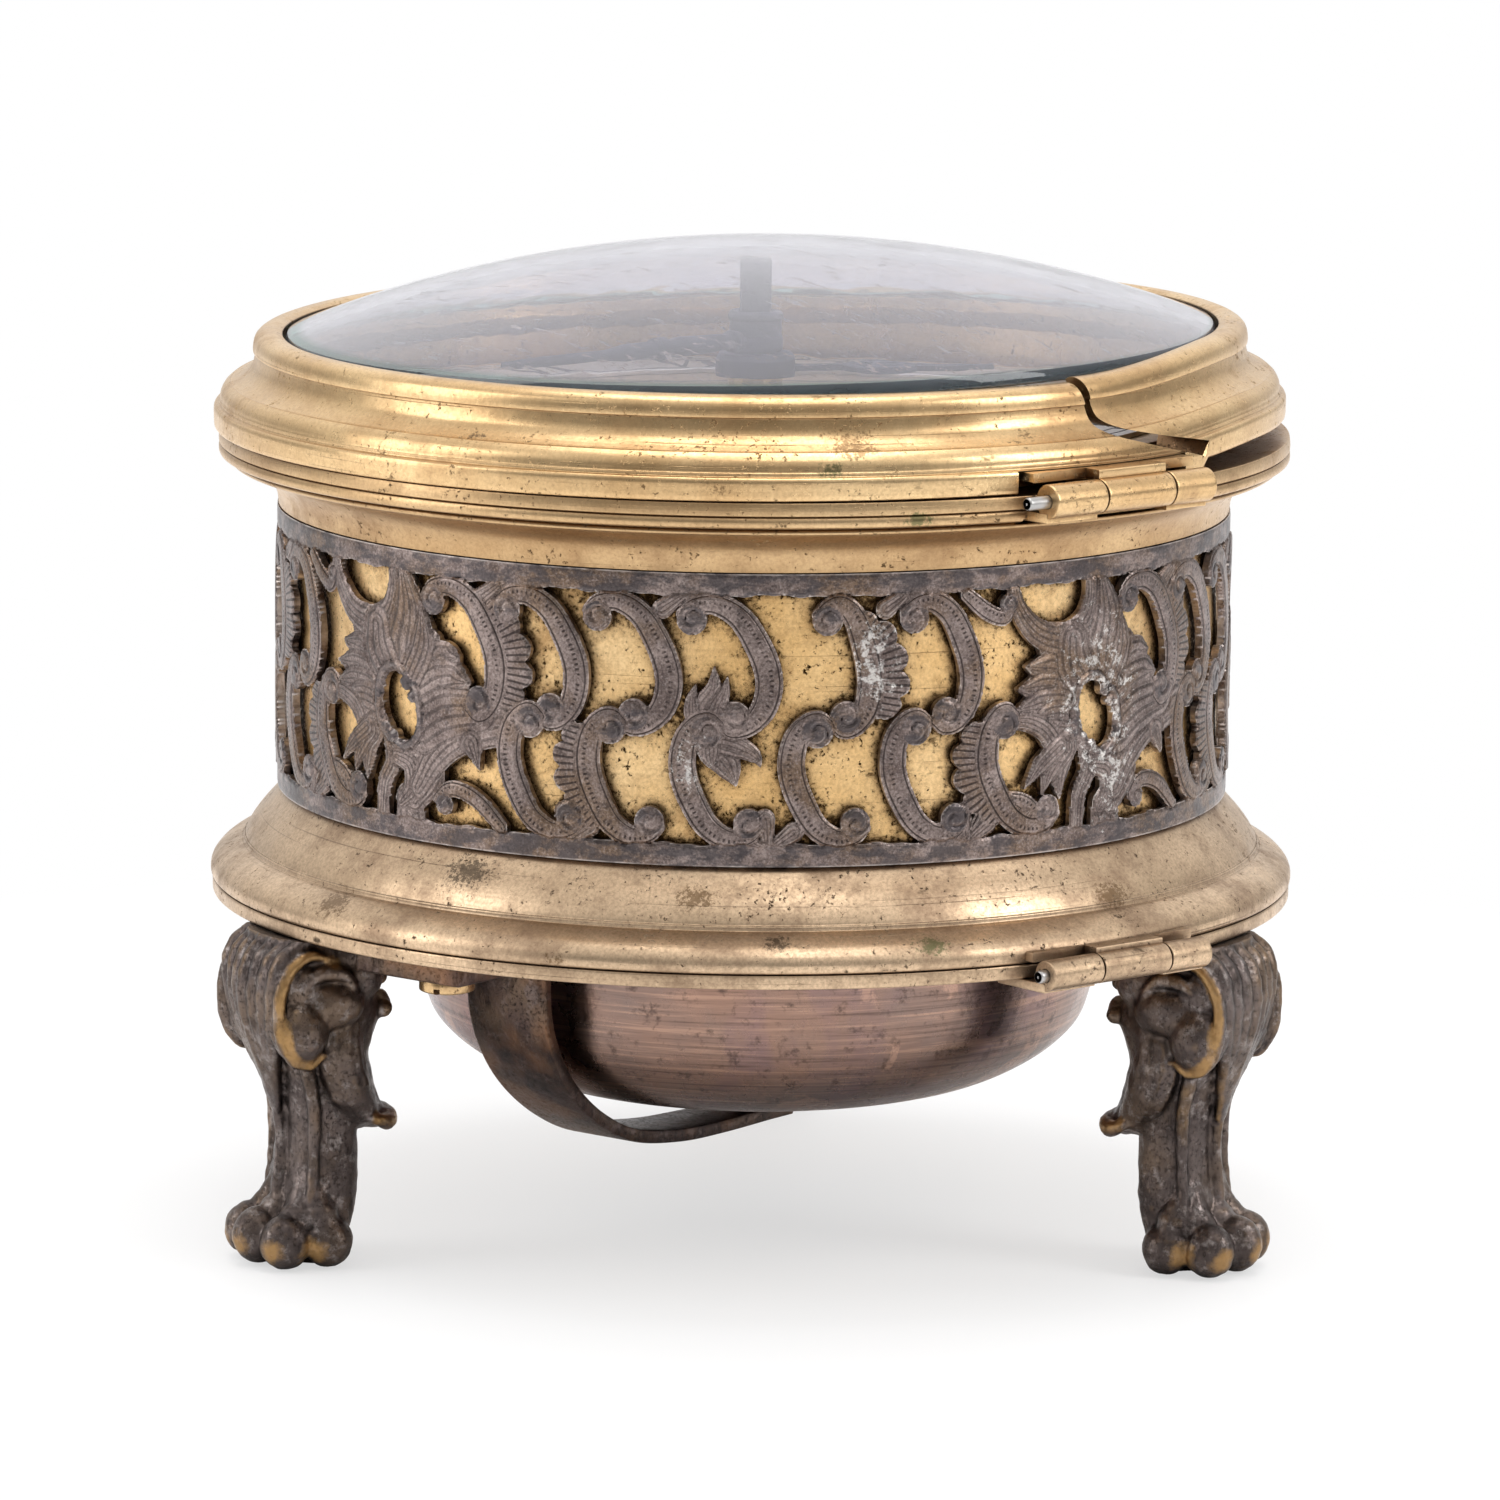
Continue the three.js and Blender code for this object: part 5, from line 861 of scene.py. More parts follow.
# Each leaf: its path from root to tip about the cartouche's middle, and its half widths
CARTOUCHE_LEAVES = (
    (
        ((-13.6, 15.6), (-12.6, 12.0), (-9.8, 8.8), (-6.0, 7.8), (-2.8, 9.4), (-1.7, 12.6), (-2.2, 16.0)),
        (0.7, 1.0, 1.5, 1.9, 1.6, 1.0, 0.8),
    ),
    (((0.2, 1.8), (0.3, 6.0), (0.9, 10.0), (-0.2, 14.6)), (2.2, 3.4, 2.4, 0.6)),
    (((1.4, 2.4), (3.2, 6.2), (3.0, 10.6)), (1.8, 1.9, 0.2)),
    (((-2.0, 2.0), (-4.2, 4.8), (-4.6, 7.6)), (2.2, 2.8, 2.2)),
    (((-15.6, -2.2), (-12.2, -1.2), (-8.8, -2.4), (-6.8, -5.2), (-6.0, -7.6)), (1.0, 1.1, 1.3, 1.4, 0.6)),
    (((-5.2, -4.4), (-6.4, -7.2), (-6.4, -10.6)), (1.8, 1.5, 0.12)),
    (((-5.8, -4.8), (-7.8, -7.2), (-8.9, -9.9)), (1.5, 1.3, 0.12)),
    (((-6.4, -4.6), (-9.2, -6.6), (-11.4, -9.0)), (1.3, 1.1, 0.12)),
    (((-2.2, -5.4), (-1.9, -8.0), (-3.3, -10.6), (-3.7, -15.2)), (1.3, 1.2, 1.1, 1.0)),
    (((1.0, -12.2), (1.2, -15.4)), (2.2, 2.5)),
    (((-0.6, -6.0), (3.2, -6.2), (4.4, -8.8), (2.0, -12.0)), (1.5, 2.1, 2.1, 1.5)),
    (((-1.0, -7.4), (1.2, -8.2), (1.4, -10.6), (-0.2, -12.4)), (1.0, 1.4, 1.4, 0.8)),
    (((2.6, -10.4), (5.2, -6.6), (8.6, -4.0), (14.6, -1.8)), (1.4, 2.0, 2.2, 2.5)),
    (((3.0, -3.6), (6.6, -1.6), (11.4, -0.8)), (3.0, 3.0, 2.4)),
    (((10.4, -4.6), (11.6, -7.4)), (1.6, 0.12)),
)
# Each lobe of the shell: its root, its tip and its half width
LOBE_BEND = 0.7
LOBE_WIDTH_SHARES = (0.8, 1.15, 1)
LOBE_TIP = 0.25
CARTOUCHE_LOBES = (
    ((1.6, 2.6), (5.4, 7.2), 2.0),
    ((2.2, 1.6), (8.4, 5.2), 2.4),
    ((2.6, 0.2), (10.0, 2.4), 2.5),
    ((-2.4, 2.4), (-9.4, 7.0), 2.2),
    ((-2.8, 1.6), (-11.2, 4.9), 2.1),
    ((-3.2, 0.6), (-12.3, 2.4), 1.9),
    ((-3.4, -0.6), (-12.5, 0.1), 1.8),
    ((-3.4, -1.8), (-10.6, -1.5), 1.7),
)
SHELL_MIDDLE = (-0.9, -0.6)
SHELL_RADIUS, SHELL_SCALLOP, SHELL_TEETH, SHELL_SQUEEZE = 6.6, 0.4, 11, 1.2
SHELL_WINDOW = 10
SHELL_RELIEF, SHELL_FALL = 0.34, 0.12
SHELL_SHARE = 0.5
OVAL_MIDDLE = (-0.7, -1.4)
OVAL_HALVES = (2.7, 3.9)
OVAL_LEAN = 0.2
OVAL_RIMS = (
    ((0.6, 2.2), (-1.0, 3.3), (-3.4, 2.4), (-4.3, -0.4), (-3.9, -3.4), (-2.2, -5.4)),
    ((0.4, 2.0), (1.9, 1.1), (2.7, -1.4), (2.7, -4.0), (0.8, -5.9), (-1.0, -5.6)),
)
OVAL_WINDOW = 5
RIM_WIDTHS = (0.4, 0.6, 0.7, 0.7, 0.5)
RIM_RELIEF = 0.56
BEAD_RELIEF = 0.5
ARM_WIDTHS = (0.8, 0.95, 1.0, 1.0, 0.8)
# Beads and curls: place, radius and, for the curls, which way they coil
CARTOUCHE_BEADS = ((0.6, 1.5, 0.95), (1.5, -0.1, 0.7), (-2.9, -4.1, 0.75), (-1.6, -5.0, 0.8))
CARTOUCHE_ARMS = (
    ((-18.4, -14.2), (-16.6, -11.4), (-13.2, -10.2), (-10.4, -11.4), (-9.4, -14.4)),
    ((5.6, -11.4), (7.0, -10.2), (9.0, -10.1), (11.6, -11.2), (14.6, -13.8)),
    ((-19.4, 13.8), (-16.8, 11.7), (-14.6, 10.9), (-13.4, 12.2)),
)
CARTOUCHE_CURLS = ((-11.6, -12.5, 1.25, -1), (6.6, -11.9, 1.25, 1), (-13.9, 12.4, 1.15, 1))


def draw_cartouche(field, u):
    """A frilled shell round an opening, with a flame above it, a tail below and curls at its foot."""

    def at(points):
        return [(u + a, b) for a, b in points]

    shell = field.window([(u, 0)], SHELL_WINDOW)
    if shell is not None:
        du, dv = field.u[shell] - u - SHELL_MIDDLE[0], field.v[shell] - SHELL_MIDDLE[1]
        turn = np.arctan2(dv, du)
        rim = SHELL_RADIUS + SHELL_SCALLOP * np.cos(turn * SHELL_TEETH)
        away = np.hypot(du, dv * SHELL_SQUEEZE)
        height = SHELL_RELIEF - SHELL_FALL * away / rim
        field.add(shell, rim - away, height, rim * turn, FRILL_MARK + SHELL_SHARE)
    for root, tip, wide in CARTOUCHE_LOBES:
        bend = ((root[0] + tip[0]) / 2, (root[1] + tip[1]) / 2 + LOBE_BEND)
        widths = [share * wide for share in LOBE_WIDTH_SHARES] + [LOBE_TIP]
        draw_stroke(field, at([root, bend, tip]), widths, LEAF_RELIEF, "leaf")
    for path, widths in CARTOUCHE_LEAVES:
        draw_stroke(field, at(path), widths, LEAF_RELIEF, "leaf")
    for rim in OVAL_RIMS:
        draw_stroke(field, at(rim), RIM_WIDTHS, RIM_RELIEF, "plain")
    middle = (u + OVAL_MIDDLE[0], OVAL_MIDDLE[1])
    window = field.window([middle], OVAL_WINDOW)
    if window is not None:
        wide, tall = OVAL_HALVES
        du, dv = field.u[window] - middle[0], field.v[window] - middle[1]
        away = np.hypot((du + OVAL_LEAN * dv) / wide, dv / tall)
        field.drill(window, (away - 1) * wide)
    for a, b, radius in CARTOUCHE_BEADS:
        draw_disc(field, (u + a, b), radius, relief=BEAD_RELIEF, turns=0)
    for arm in CARTOUCHE_ARMS:
        draw_stroke(field, at(arm), ARM_WIDTHS)
    for a, b, radius, spin in CARTOUCHE_CURLS:
        draw_disc(field, (u + a, b), radius, spin=spin)


# The rails' inner edges waver: how far, and how often in a quarter
RAIL_WAVES = ((0.12, 11), (0.08, 29))
EDGE_DROP = 0.26
GROUND_SPARE = 0.1
CUT_SHARE = 0.03  # the least share of a grid step that a cut leaves


def frieze_field():
    """The whole band unrolled, once round, from one quarter of it."""
    around = 2 * math.pi * frieze_radius
    quarter = around / 4
    height = frieze_top - frieze_bottom
    columns = int(round(quarter / GRID_STEP))
    rows = int(round(height / GRID_STEP)) + 2
    edge = height / 2 + height / (rows - 2)
    u, v = np.meshgrid(np.arange(columns) * quarter / columns, np.linspace(-edge, edge, rows + 1))
    field = Field(u, v)
    half = height / 2 - RAIL
    for shift in (-1, 0, 1, 2):
        draw_cartouche(field, shift * quarter)
    for shift in (-1, 0, 1):
        draw_quarter(field, (shift + 0.5) * quarter, half)
    whole = (slice(None), slice(None))
    wave = sum(depth * np.sin(2 * math.pi * count * u / quarter) for depth, count in RAIL_WAVES)
    field.add(whole, np.abs(v) - half + wave, RAIL_RELIEF)
    field.drill(whole, height / 2 - np.abs(v))
    ease = 1 - np.clip(field.inside / EDGE_EASE, 0, 1)
    relief = field.height - EDGE_DROP * ease**2
    return [np.tile(a, (1, 4)) for a in (field.inside, relief, field.along, field.across)], v[:, 0]


def sawn_sheet(name, inside, front, back, place, marks=(), wraps=False):
    """A sheet sawn out where inside is above zero. Place turns columns, rows and heights into points."""
    rows, columns = inside.shape
    spots = np.argwhere(inside > 0)
    number = np.full((rows, columns + 1), -1)
    number[spots[:, 0], spots[:, 1]] = np.arange(len(spots))
    if wraps:
        number[:, columns] = number[:, 0]
    values = np.concatenate([inside, inside[:, :1] if wraps else np.full((rows, 1), -1.0)], axis=1)
    corners = [number[:-1, :-1], number[:-1, 1:], number[1:, 1:], number[1:, :-1]]
    filled = np.stack([c >= 0 for c in corners])
    whole = filled.all(axis=0)
    quads = np.stack([c[whole] for c in corners], axis=-1)
    rim, rim_index = [], {}

    def crossing(here, there):
        ends = [(row, column % columns) if wraps else (row, column) for row, column in (here, there)]
        key = tuple(sorted(ends))
        if key not in rim_index:
            rim_index[key] = len(rim)
            f_here, f_there = values[here], values[there]
            share = min(max(f_here / (f_here - f_there), CUT_SHARE), 1 - CUT_SHARE)
            metal = here if f_here > 0 else there
            column = here[1] + share * (there[1] - here[1])
            row = here[0] + share * (there[0] - here[0])
            rim.append((column, row, *metal))
        return rim_index[key]

    shapes, walls = {3: [], 4: [], 5: [], 6: []}, []
    full = len(spots)
    for row, column in np.argwhere(filled.any(axis=0) & ~whole):
        ring = [(row, column), (row, column + 1), (row + 1, column + 1), (row + 1, column)]
        shape, cuts = [], []
        for here, there in zip(ring, ring[1:] + ring[:1]):
            if values[here] > 0:
                shape.append(number[here])
            if (values[here] > 0) != (values[there] > 0):
                cut = full + crossing(here, there)
                shape.append(cut)
                cuts.append((cut, values[here] > 0))
        shapes[len(shape)].append(shape)
        for i, (cut, leaving) in enumerate(cuts):
            if leaving:
                walls.append((cut, cuts[(i + 1) % len(cuts)][0]))
    rim = np.array(rim)
    metal = (rim[:, 2].astype(int), rim[:, 3].astype(int) % columns)
    column = np.concatenate([spots[:, 1], rim[:, 0]])
    row = np.concatenate([spots[:, 0], rim[:, 1]])
    high = np.concatenate([front[spots[:, 0], spots[:, 1]], front[metal]])
    low = np.full(len(high), back)
    points = np.concatenate([place(column, row, high), place(column, row, low)])
    behind = len(high)
    groups = [quads, quads[:, ::-1] + behind]
    for faces in shapes.values():
        if faces:
            groups += [np.array(faces), np.array(faces)[:, ::-1] + behind]
    wall = np.array(walls)
    groups.append(np.stack([wall[:, 0], wall[:, 0] + behind, wall[:, 1] + behind, wall[:, 1]], axis=-1))
    obj = solid(name, points, groups)
    for mark, values_of in marks:
        spread = np.concatenate([values_of[spots[:, 0], spots[:, 1]], values_of[metal]])
        layer = obj.data.attributes.new(mark, "FLOAT", "POINT")
        layer.data.foreach_set("value", np.tile(spread, 2).astype(np.float32))
    return obj


def frieze():
    (inside, relief, along, across), v = frieze_field()
    columns = inside.shape[1]
    ground = frieze_radius - BAND_RELIEF - GROUND_SPARE
    middle = (frieze_bottom + frieze_top) / 2

    def place(column, row, height):
        angle = math.radians(CARTOUCHE_ANGLE) + column * 2 * math.pi / columns
        up = middle + np.interp(row, np.arange(len(v)), v)
        radius = np.minimum(ground + height, frieze_radius)
        return np.stack([radius * np.cos(angle), radius * np.sin(angle), up], axis=-1)

    back = drum_radius + FRIEZE_GAP - ground
    marks = (("along", along), ("across", across))
    return sawn_sheet("frieze", inside, relief, back, place, marks, wraps=True)


# Clay: closed lumps that are fused into one skin
ROPE_STEP = 0.6
ROPE_SIDES, WIDE_ROPE_SIDES = 12, 24
# How a rope's end is rounded: how far past its last point, and how thick there, as shares of its radius
ROPE_END_SHARES = ((0.95, 0.3), (0.75, 0.68), (0.4, 0.93))
BALL_SIDES, BALL_RINGS = 16, 10
BALL_POLE = 0.08
SOFTEN_SHARE = 0.5


class Clay:
    def __init__(self):
        self.points, self.groups, self.count = [], [], 0

    def rings(self, rings):
        rings = np.array(rings)
        number, sides = rings.shape[:2]
        a = np.arange(number * sides).reshape(number, sides) + self.count
        quads = np.stack([a[:-1], np.roll(a[:-1], -1, 1), np.roll(a[1:], -1, 1), a[1:]], axis=-1)
        self.groups += [quads.reshape(-1, 4), a[:1, ::-1], a[-1:]]
        self.points.append(rings.reshape(-1, 3))
        self.count += number * sides

    def rope(self, path, radii, flat=1.0, lean=(0, 1, 0), sides=ROPE_SIDES):
        """A rope with rounded ends along a smooth path. Flat squeezes it across the way it leans."""
        path = np.array(smooth(path, ROPE_STEP))
        radii = np.interp(np.linspace(0, 1, len(path)), np.linspace(0, 1, len(radii)), radii)
        ways = np.gradient(path, axis=0)
        ways /= np.linalg.norm(ways, axis=1)[:, None]

        def rounded(i, way):
            """The rings that round the end at point i, outermost first."""
            return [(path[i] + way * radii[i] * k, radii[i] * w, ways[i]) for k, w in ROPE_END_SHARES]

        start, end = rounded(0, -ways[0]), rounded(-1, ways[-1])
        angles = np.arange(sides) * 2 * math.pi / sides
        rings = []
        for middle, radius, way in [*start, *zip(path, radii, ways), *end[::-1]]:
            side = np.cross(way, lean)
            side /= max(np.linalg.norm(side), TINY)
            over = np.cross(side, way)
            rings.append([middle + radius * (math.cos(a) * side + flat * math.sin(a) * over) for a in angles])
        self.rings(rings)

    def ball(self, centre, halves):
        tilts = np.linspace(BALL_POLE, math.pi - BALL_POLE, BALL_RINGS)
        angles = np.arange(BALL_SIDES) * 2 * math.pi / BALL_SIDES
        around = [(math.cos(a), math.sin(a)) for a in angles]
        ways = [[(math.sin(t) * x, math.sin(t) * y, -math.cos(t)) for x, y in around] for t in tilts]
        self.rings(np.array(centre) + np.array(halves) * np.array(ways))

    def fuse(self, name, voxel, soften):
        obj = solid(name, np.concatenate(self.points), self.groups)
        skin = obj.modifiers.new("skin", "REMESH")
        skin.mode = "VOXEL"
        skin.voxel_size = voxel * MM
        soft = obj.modifiers.new("soft", "SMOOTH")
        soft.factor = SOFTEN_SHARE
        soft.iterations = soften
        return applied(obj)


# Feet: a leg with a ribbed front between two ear-shaped lobes, an eye on each side, a smooth chin that curls
# up at its lip, and a paw. Each is shaped with X out from the clock's axis, Y across and Z up.
LEG_SECTIONS = [  # height, outer side, inner side, half width
    (39.0, 65.4, 52.0, 6.9),
    (36.0, 65.7, 51.6, 7.3),
    (32.0, 65.7, 52.0, 7.3),
    (28.0, 64.8, 52.6, 7.0),
    (24.0, 63.5, 53.4, 6.1),
    (20.0, 62.6, 53.8, 5.4),
    (16.0, 62.1, 53.8, 5.1),
    (12.0, 62.3, 53.7, 5.2),
    (8.0, 63.0, 54.0, 5.6),
    (4.0, 63.6, 55.0, 5.6),
    (0.4, 62.4, 57.0, 4.6),
]
LEG_SIDES = 28
LEG_STEP = 1.2
LEG_SQUARENESS = 0.72
EYE_AT = (59.2, 31.2)
EYE_HALVES = (3.9, 1.6, 2.7)
FLANK = 7.1
EAR_RIDGE = [
    (59.2, 36.4),
    (62.2, 37.3),
    (64.6, 36.2),
    (66.1, 33.6),
    (66.4, 30.2),
    (65.8, 27.0),
    (64.2, 24.8),
    (62.2, 24.4),
    (60.6, 25.4),
]
EAR_RIDGE_RADII = (0.4, 0.65, 0.75, 0.8, 0.8, 0.75, 0.65, 0.5, 0.3)
EAR_LUMPS = (  # where it lies, how far in from the flank, and its half sizes
    ((62.8, 30.8), 1.9, (4.0, 2.3, 6.7)),
    ((63.2, 28.4), 0.2, (3.2, 2.2, 3.7)),
    ((63.2, 33.6), 0.7, (2.8, 1.5, 2.6)),
)
BROW = [(63.6, 32.6), (62.6, 34.4), (60.4, 35.2), (58.0, 34.6), (56.9, 32.9), (57.2, 31.6)]
BROW_RADII = (0.35, 0.75, 1.0, 0.9, 0.6, 0.25)
BROW_LIFT = 0.3
TEMPLE_AT, TEMPLE_HALVES = (55.6, 5.2, 34.2), (3.6, 2.4, 3.4)
CHEEK = [(57.4, 4.6, 28.8), (57.9, 4.9, 25.4), (56.7, 4.7, 21.6), (54.3, 4.1, 18.2)]
CHEEK_RADII = (2.9, 3.3, 3.1, 2.1)
CHIN = [(54.9, 0, 29.4), (55.9, 0, 24.6), (54.7, 0, 20.8), (52.9, 0, 17.6)]
CHIN_RADII, CHIN_FLAT = (4.1, 3.8, 3.5, 2.7), 1.5
CURL, CURL_RADII, CURL_FLAT = [(53.6, 0, 18.4), (51.6, 0, 16.8)], (2.5, 1.9), 2.2
HALF_LIP = [(53.8, 5.8, 17.2), (51.5, 5.0, 16.4), (50.1, 2.8, 16.5)]
LIP = [*HALF_LIP, (49.7, 0, 16.6), *[(x, -y, z) for x, y, z in HALF_LIP[::-1]]]
LIP_RADII = (0.6, 1.0, 1.2, 1.25, 1.2, 1.0, 0.6)
BUMPS = (  # each bump's path across the inner side, and its radii
    ([(51.6, -3.6, 33.4), (50.9, 0, 33.8), (51.6, 3.6, 33.4)], (1.0, 1.3, 1.0)),
    ([(51.2, -3.8, 29.6), (50.3, 0, 30.0), (51.2, 3.8, 29.6)], (1.1, 1.5, 1.1)),
)
NAPE_AT, NAPE_HALVES = (52.6, 0, 36.4), (1.8, 4.6, 2.4)
# Ribs of the knee: X, how far it shifts in at the outermost rib, the share of the rib's spread, and height
KNEE_RIBS = (0.0, 0.34, 0.66, 0.98)
KNEE_HALF = 5.6
KNEE_PATH = (
    (63.4, 1.2, 1.15, 39.2),
    (66.3, 0.7, 1.1, 36.6),
    (67.2, 1.0, 1.0, 33.0),
    (66.7, 0.9, 0.8, 29.2),
    (65.5, 0.6, 0.52, 25.4),
    (64.2, 0.3, 0.26, 21.8),
    (63.1, 0.0, 0.1, 18.0),
)
KNEE_RADII = (0.7, 0.95, 1.05, 0.95, 0.8, 0.6, 0.4)
SHIN, SHIN_RADII = [(63.0, 0, 20), (62.7, 0, 14), (63.2, 0, 8.4)], (0.75, 0.55, 0.7)
SIDE_RIDGE = [(62.4, 6.0, 24.4), (61.0, 5.3, 19.0), (60.9, 5.1, 13.0), (61.3, 5.3, 8.0)]
SIDE_RIDGE_RADII = (0.9, 0.8, 0.65, 0.7)
PAD_AT, PAD_HALVES = (60.6, 0, 3.6), (5.4, 5.8, 3.6)
KNUCKLE_HALVES = (2.2, 2.1, 2.0)
TENDON_START, TENDON_SPREAD_SHARE, TENDON_RADII = (60.6, 10.4), 0.75, (1.3, 1.9, 2.3)
TOES = [  # middle of the toe, its half sizes, then the knuckle behind it
    ((65.3, 0.0, 3.5), (3.4, 2.6, 3.4), (62.9, 0.0, 6.2)),
    ((64.2, 4.5, 3.3), (3.2, 2.6, 3.2), (62.2, 3.7, 6.0)),
    ((64.2, -4.5, 3.3), (3.2, 2.6, 3.2), (62.2, -3.7, 6.0)),
    ((59.2, 5.5, 3.1), (3.0, 2.6, 3.0), (60.0, 4.9, 6.4)),
    ((59.2, -5.5, 3.1), (3.0, 2.6, 3.0), (60.0, -4.9, 6.4)),
]


def mirrored(points, side):
    return [(x, side * y, z) for x, y, z in points]


def foot_clay():
    clay = Clay()
    angles = np.arange(LEG_SIDES) * 2 * math.pi / LEG_SIDES
    c, s = [np.sign(t) * np.abs(t) ** LEG_SQUARENESS for t in (np.cos(angles), np.sin(angles))]
    rings = []
    for z, outer, inner, half in smooth(LEG_SECTIONS, LEG_STEP)[::-1]:
        x = (outer + inner) / 2 + (outer - inner) / 2 * c
        rings.append(np.stack([x, half * s, np.full(LEG_SIDES, z)], -1))
    clay.rings(rings)
    knee_ribs(clay)
    for side in (-1, 1):
        flank(clay, side)
    chin(clay)
    paw(clay)
    return clay


def knee_ribs(clay):
    """Ribs that sweep in from both sides of the knee, draw together and run down the shank as ridges."""
    for side, starts in ((1, KNEE_RIBS), (-1, KNEE_RIBS[1:])):
        for share in starts:
            y = side * share * KNEE_HALF
            clay.rope([(x - shift * share, spread * y, z) for x, shift, spread, z in KNEE_PATH], KNEE_RADII)
    clay.rope(SHIN, SHIN_RADII)
    for side in (-1, 1):
        clay.rope(mirrored(SIDE_RIDGE, side), SIDE_RIDGE_RADII)


def flank(clay, side):
    """One side: the ear with its rolled ridge, the eye under a hooked brow, and the cheek."""

    def on_flank(path, lift=0.0):
        return [(x, side * (FLANK + lift), z) for x, z in path]

    clay.rope(on_flank(EAR_RIDGE), EAR_RIDGE_RADII)
    for spot, sunk, halves in EAR_LUMPS:
        clay.ball(*on_flank([spot], -sunk), halves)
    clay.ball(*on_flank([EYE_AT]), EYE_HALVES)
    clay.rope(on_flank(BROW, BROW_LIFT), BROW_RADII)
    clay.ball(*mirrored([TEMPLE_AT], side), TEMPLE_HALVES)
    clay.rope(mirrored(CHEEK, side), CHEEK_RADII)


def chin(clay):
    """A full smooth leaf that hangs on the inner side and curls up at its lip, with two bumps over it."""
    clay.rope(CHIN, CHIN_RADII, flat=CHIN_FLAT, sides=WIDE_ROPE_SIDES)
    clay.rope(LIP, LIP_RADII, lean=(0, 0, 1))
    clay.rope(CURL, CURL_RADII, flat=CURL_FLAT, sides=WIDE_ROPE_SIDES)
    for path, radii in BUMPS:
        clay.rope(path, radii)
    clay.ball(NAPE_AT, NAPE_HALVES)


def paw(clay):
    clay.ball(PAD_AT, PAD_HALVES)
    x, z = TENDON_START
    for centre, halves, knuckle in TOES:
        clay.ball(centre, halves)
        clay.ball(knuckle, KNUCKLE_HALVES)
        clay.rope([(x, TENDON_SPREAD_SHARE * knuckle[1], z), knuckle, centre], TENDON_RADII)


RUB_STEP = 0.5
RIDGE_OUT, LIP_OUT = 0.9, 0.7
TOE_OUT_SHARE, TOE_SPREAD_SHARE, TOE_DROP = 0.9, 1.3, 0.8
RIDGE_RUB, TOE_RUB = (0.5, 1.5), (0.6, 3.4)  # bare within the first reach, and not rubbed past the second


def rubbed_share(points):
    """How much of the dark skin is rubbed off each point of a foot: all of it on its ridges and toes."""
    ear = smooth(EAR_RIDGE, RUB_STEP)
    ridges = [(x, side * (FLANK + RIDGE_OUT), z) for side in (-1, 1) for x, z in ear]
    ridges += [(x - LIP_OUT, y, z) for x, y, z in smooth(LIP, RUB_STEP)]
    toes = []
    for (x, y, z), halves, _ in TOES:
        toes.append((x + TOE_OUT_SHARE * halves[0], TOE_SPREAD_SHARE * y, z - TOE_DROP))
    share = np.zeros(len(points))
    for spots, (near, far) in ((ridges, RIDGE_RUB), (toes, TOE_RUB)):
        reach = np.min([np.linalg.norm(points - np.array(spot), axis=1) for spot in spots], axis=0)
        share = np.maximum(share, np.clip((far - reach) / (far - near), 0, 1))
    return share


FOOT_ANGLES = {"foot_right": 110, "foot_left": -10, "foot_back": 230}
FOOT_SCREW_RING = 57
FOOT_HOLE = 1.48
FOOT_HOLE_FOOT, FOOT_HOLE_TOP = 29.8, 41
FOOT_VOXEL, QUICK_VOXEL = 0.3, 0.42
FOOT_REACH, FOOT_SPARE, FOOT_HALF, FOOT_TRIM_TOP = 90, 30, 30, 80
SKIN_DEPTH, SKIN_GRAIN, SKIN_EDGE = 0.12, 1.4, 0.3
foot_top = high_corner("foot_left")[2]


def feet():
    mould = foot_clay().fuse("foot", FOOT_VOXEL, soften=1)
    hole = drilled("screw_hole", FOOT_HOLE, FOOT_HOLE_FOOT, FOOT_HOLE_TOP, (FOOT_SCREW_RING, 0))
    low = block("low", (0, -FOOT_HALF, -FOOT_SPARE), (FOOT_REACH, FOOT_HALF, 0), 0)
    high = block("high", (0, -FOOT_HALF, foot_top), (FOOT_REACH, FOOT_HALF, FOOT_TRIM_TOP), 0)
    combine(mould, "DIFFERENCE", hole, low, high)
    roughen(mould)
    points = np.array([vertex.co for vertex in mould.data.vertices]) / MM
    mould.data.attributes.new("rubbed", "FLOAT", "POINT").data.foreach_set("value", rubbed_share(points))
    made = []
    for node, angle in FOOT_ANGLES.items():
        copy = bpy.data.objects.new(node.replace("foot", "paw_foot"), mould.data.copy())
        bpy.context.scene.collection.objects.link(copy)
        turn_about_axis(copy, angle)
        made.append((node, copy))
    discard(mould)
    return made


def roughen(obj):
    """Moves the skin in and out a little, as a sand casting's is, but for its two flat ends."""
    for vertex in obj.data.vertices:
        if SKIN_EDGE < vertex.co.z / MM < foot_top - SKIN_EDGE:
            vertex.co += vertex.normal * (noise.noise(vertex.co / (SKIN_GRAIN * MM)) * SKIN_DEPTH * MM)


# Bell, its strap and screws
BELL_SHARES = [(0.28, 0.09), (0.54, 0.14), (0.74, 0.22), (0.9, 0.378), (0.97, 0.57), (1, 1)]
BELL_HUB = 4.2
BELL_HUB_HEIGHT = 2.1
BELL_WALL = 1.5
BELL_BORE = 1.48
BELL_EASE = 0.3
bell_radius = radius_of("bell")
bell_bottom = low_corner("bell")[2]
bell_top = high_corner("bell")[2]
bell_at = centre_of("bell")[:2]


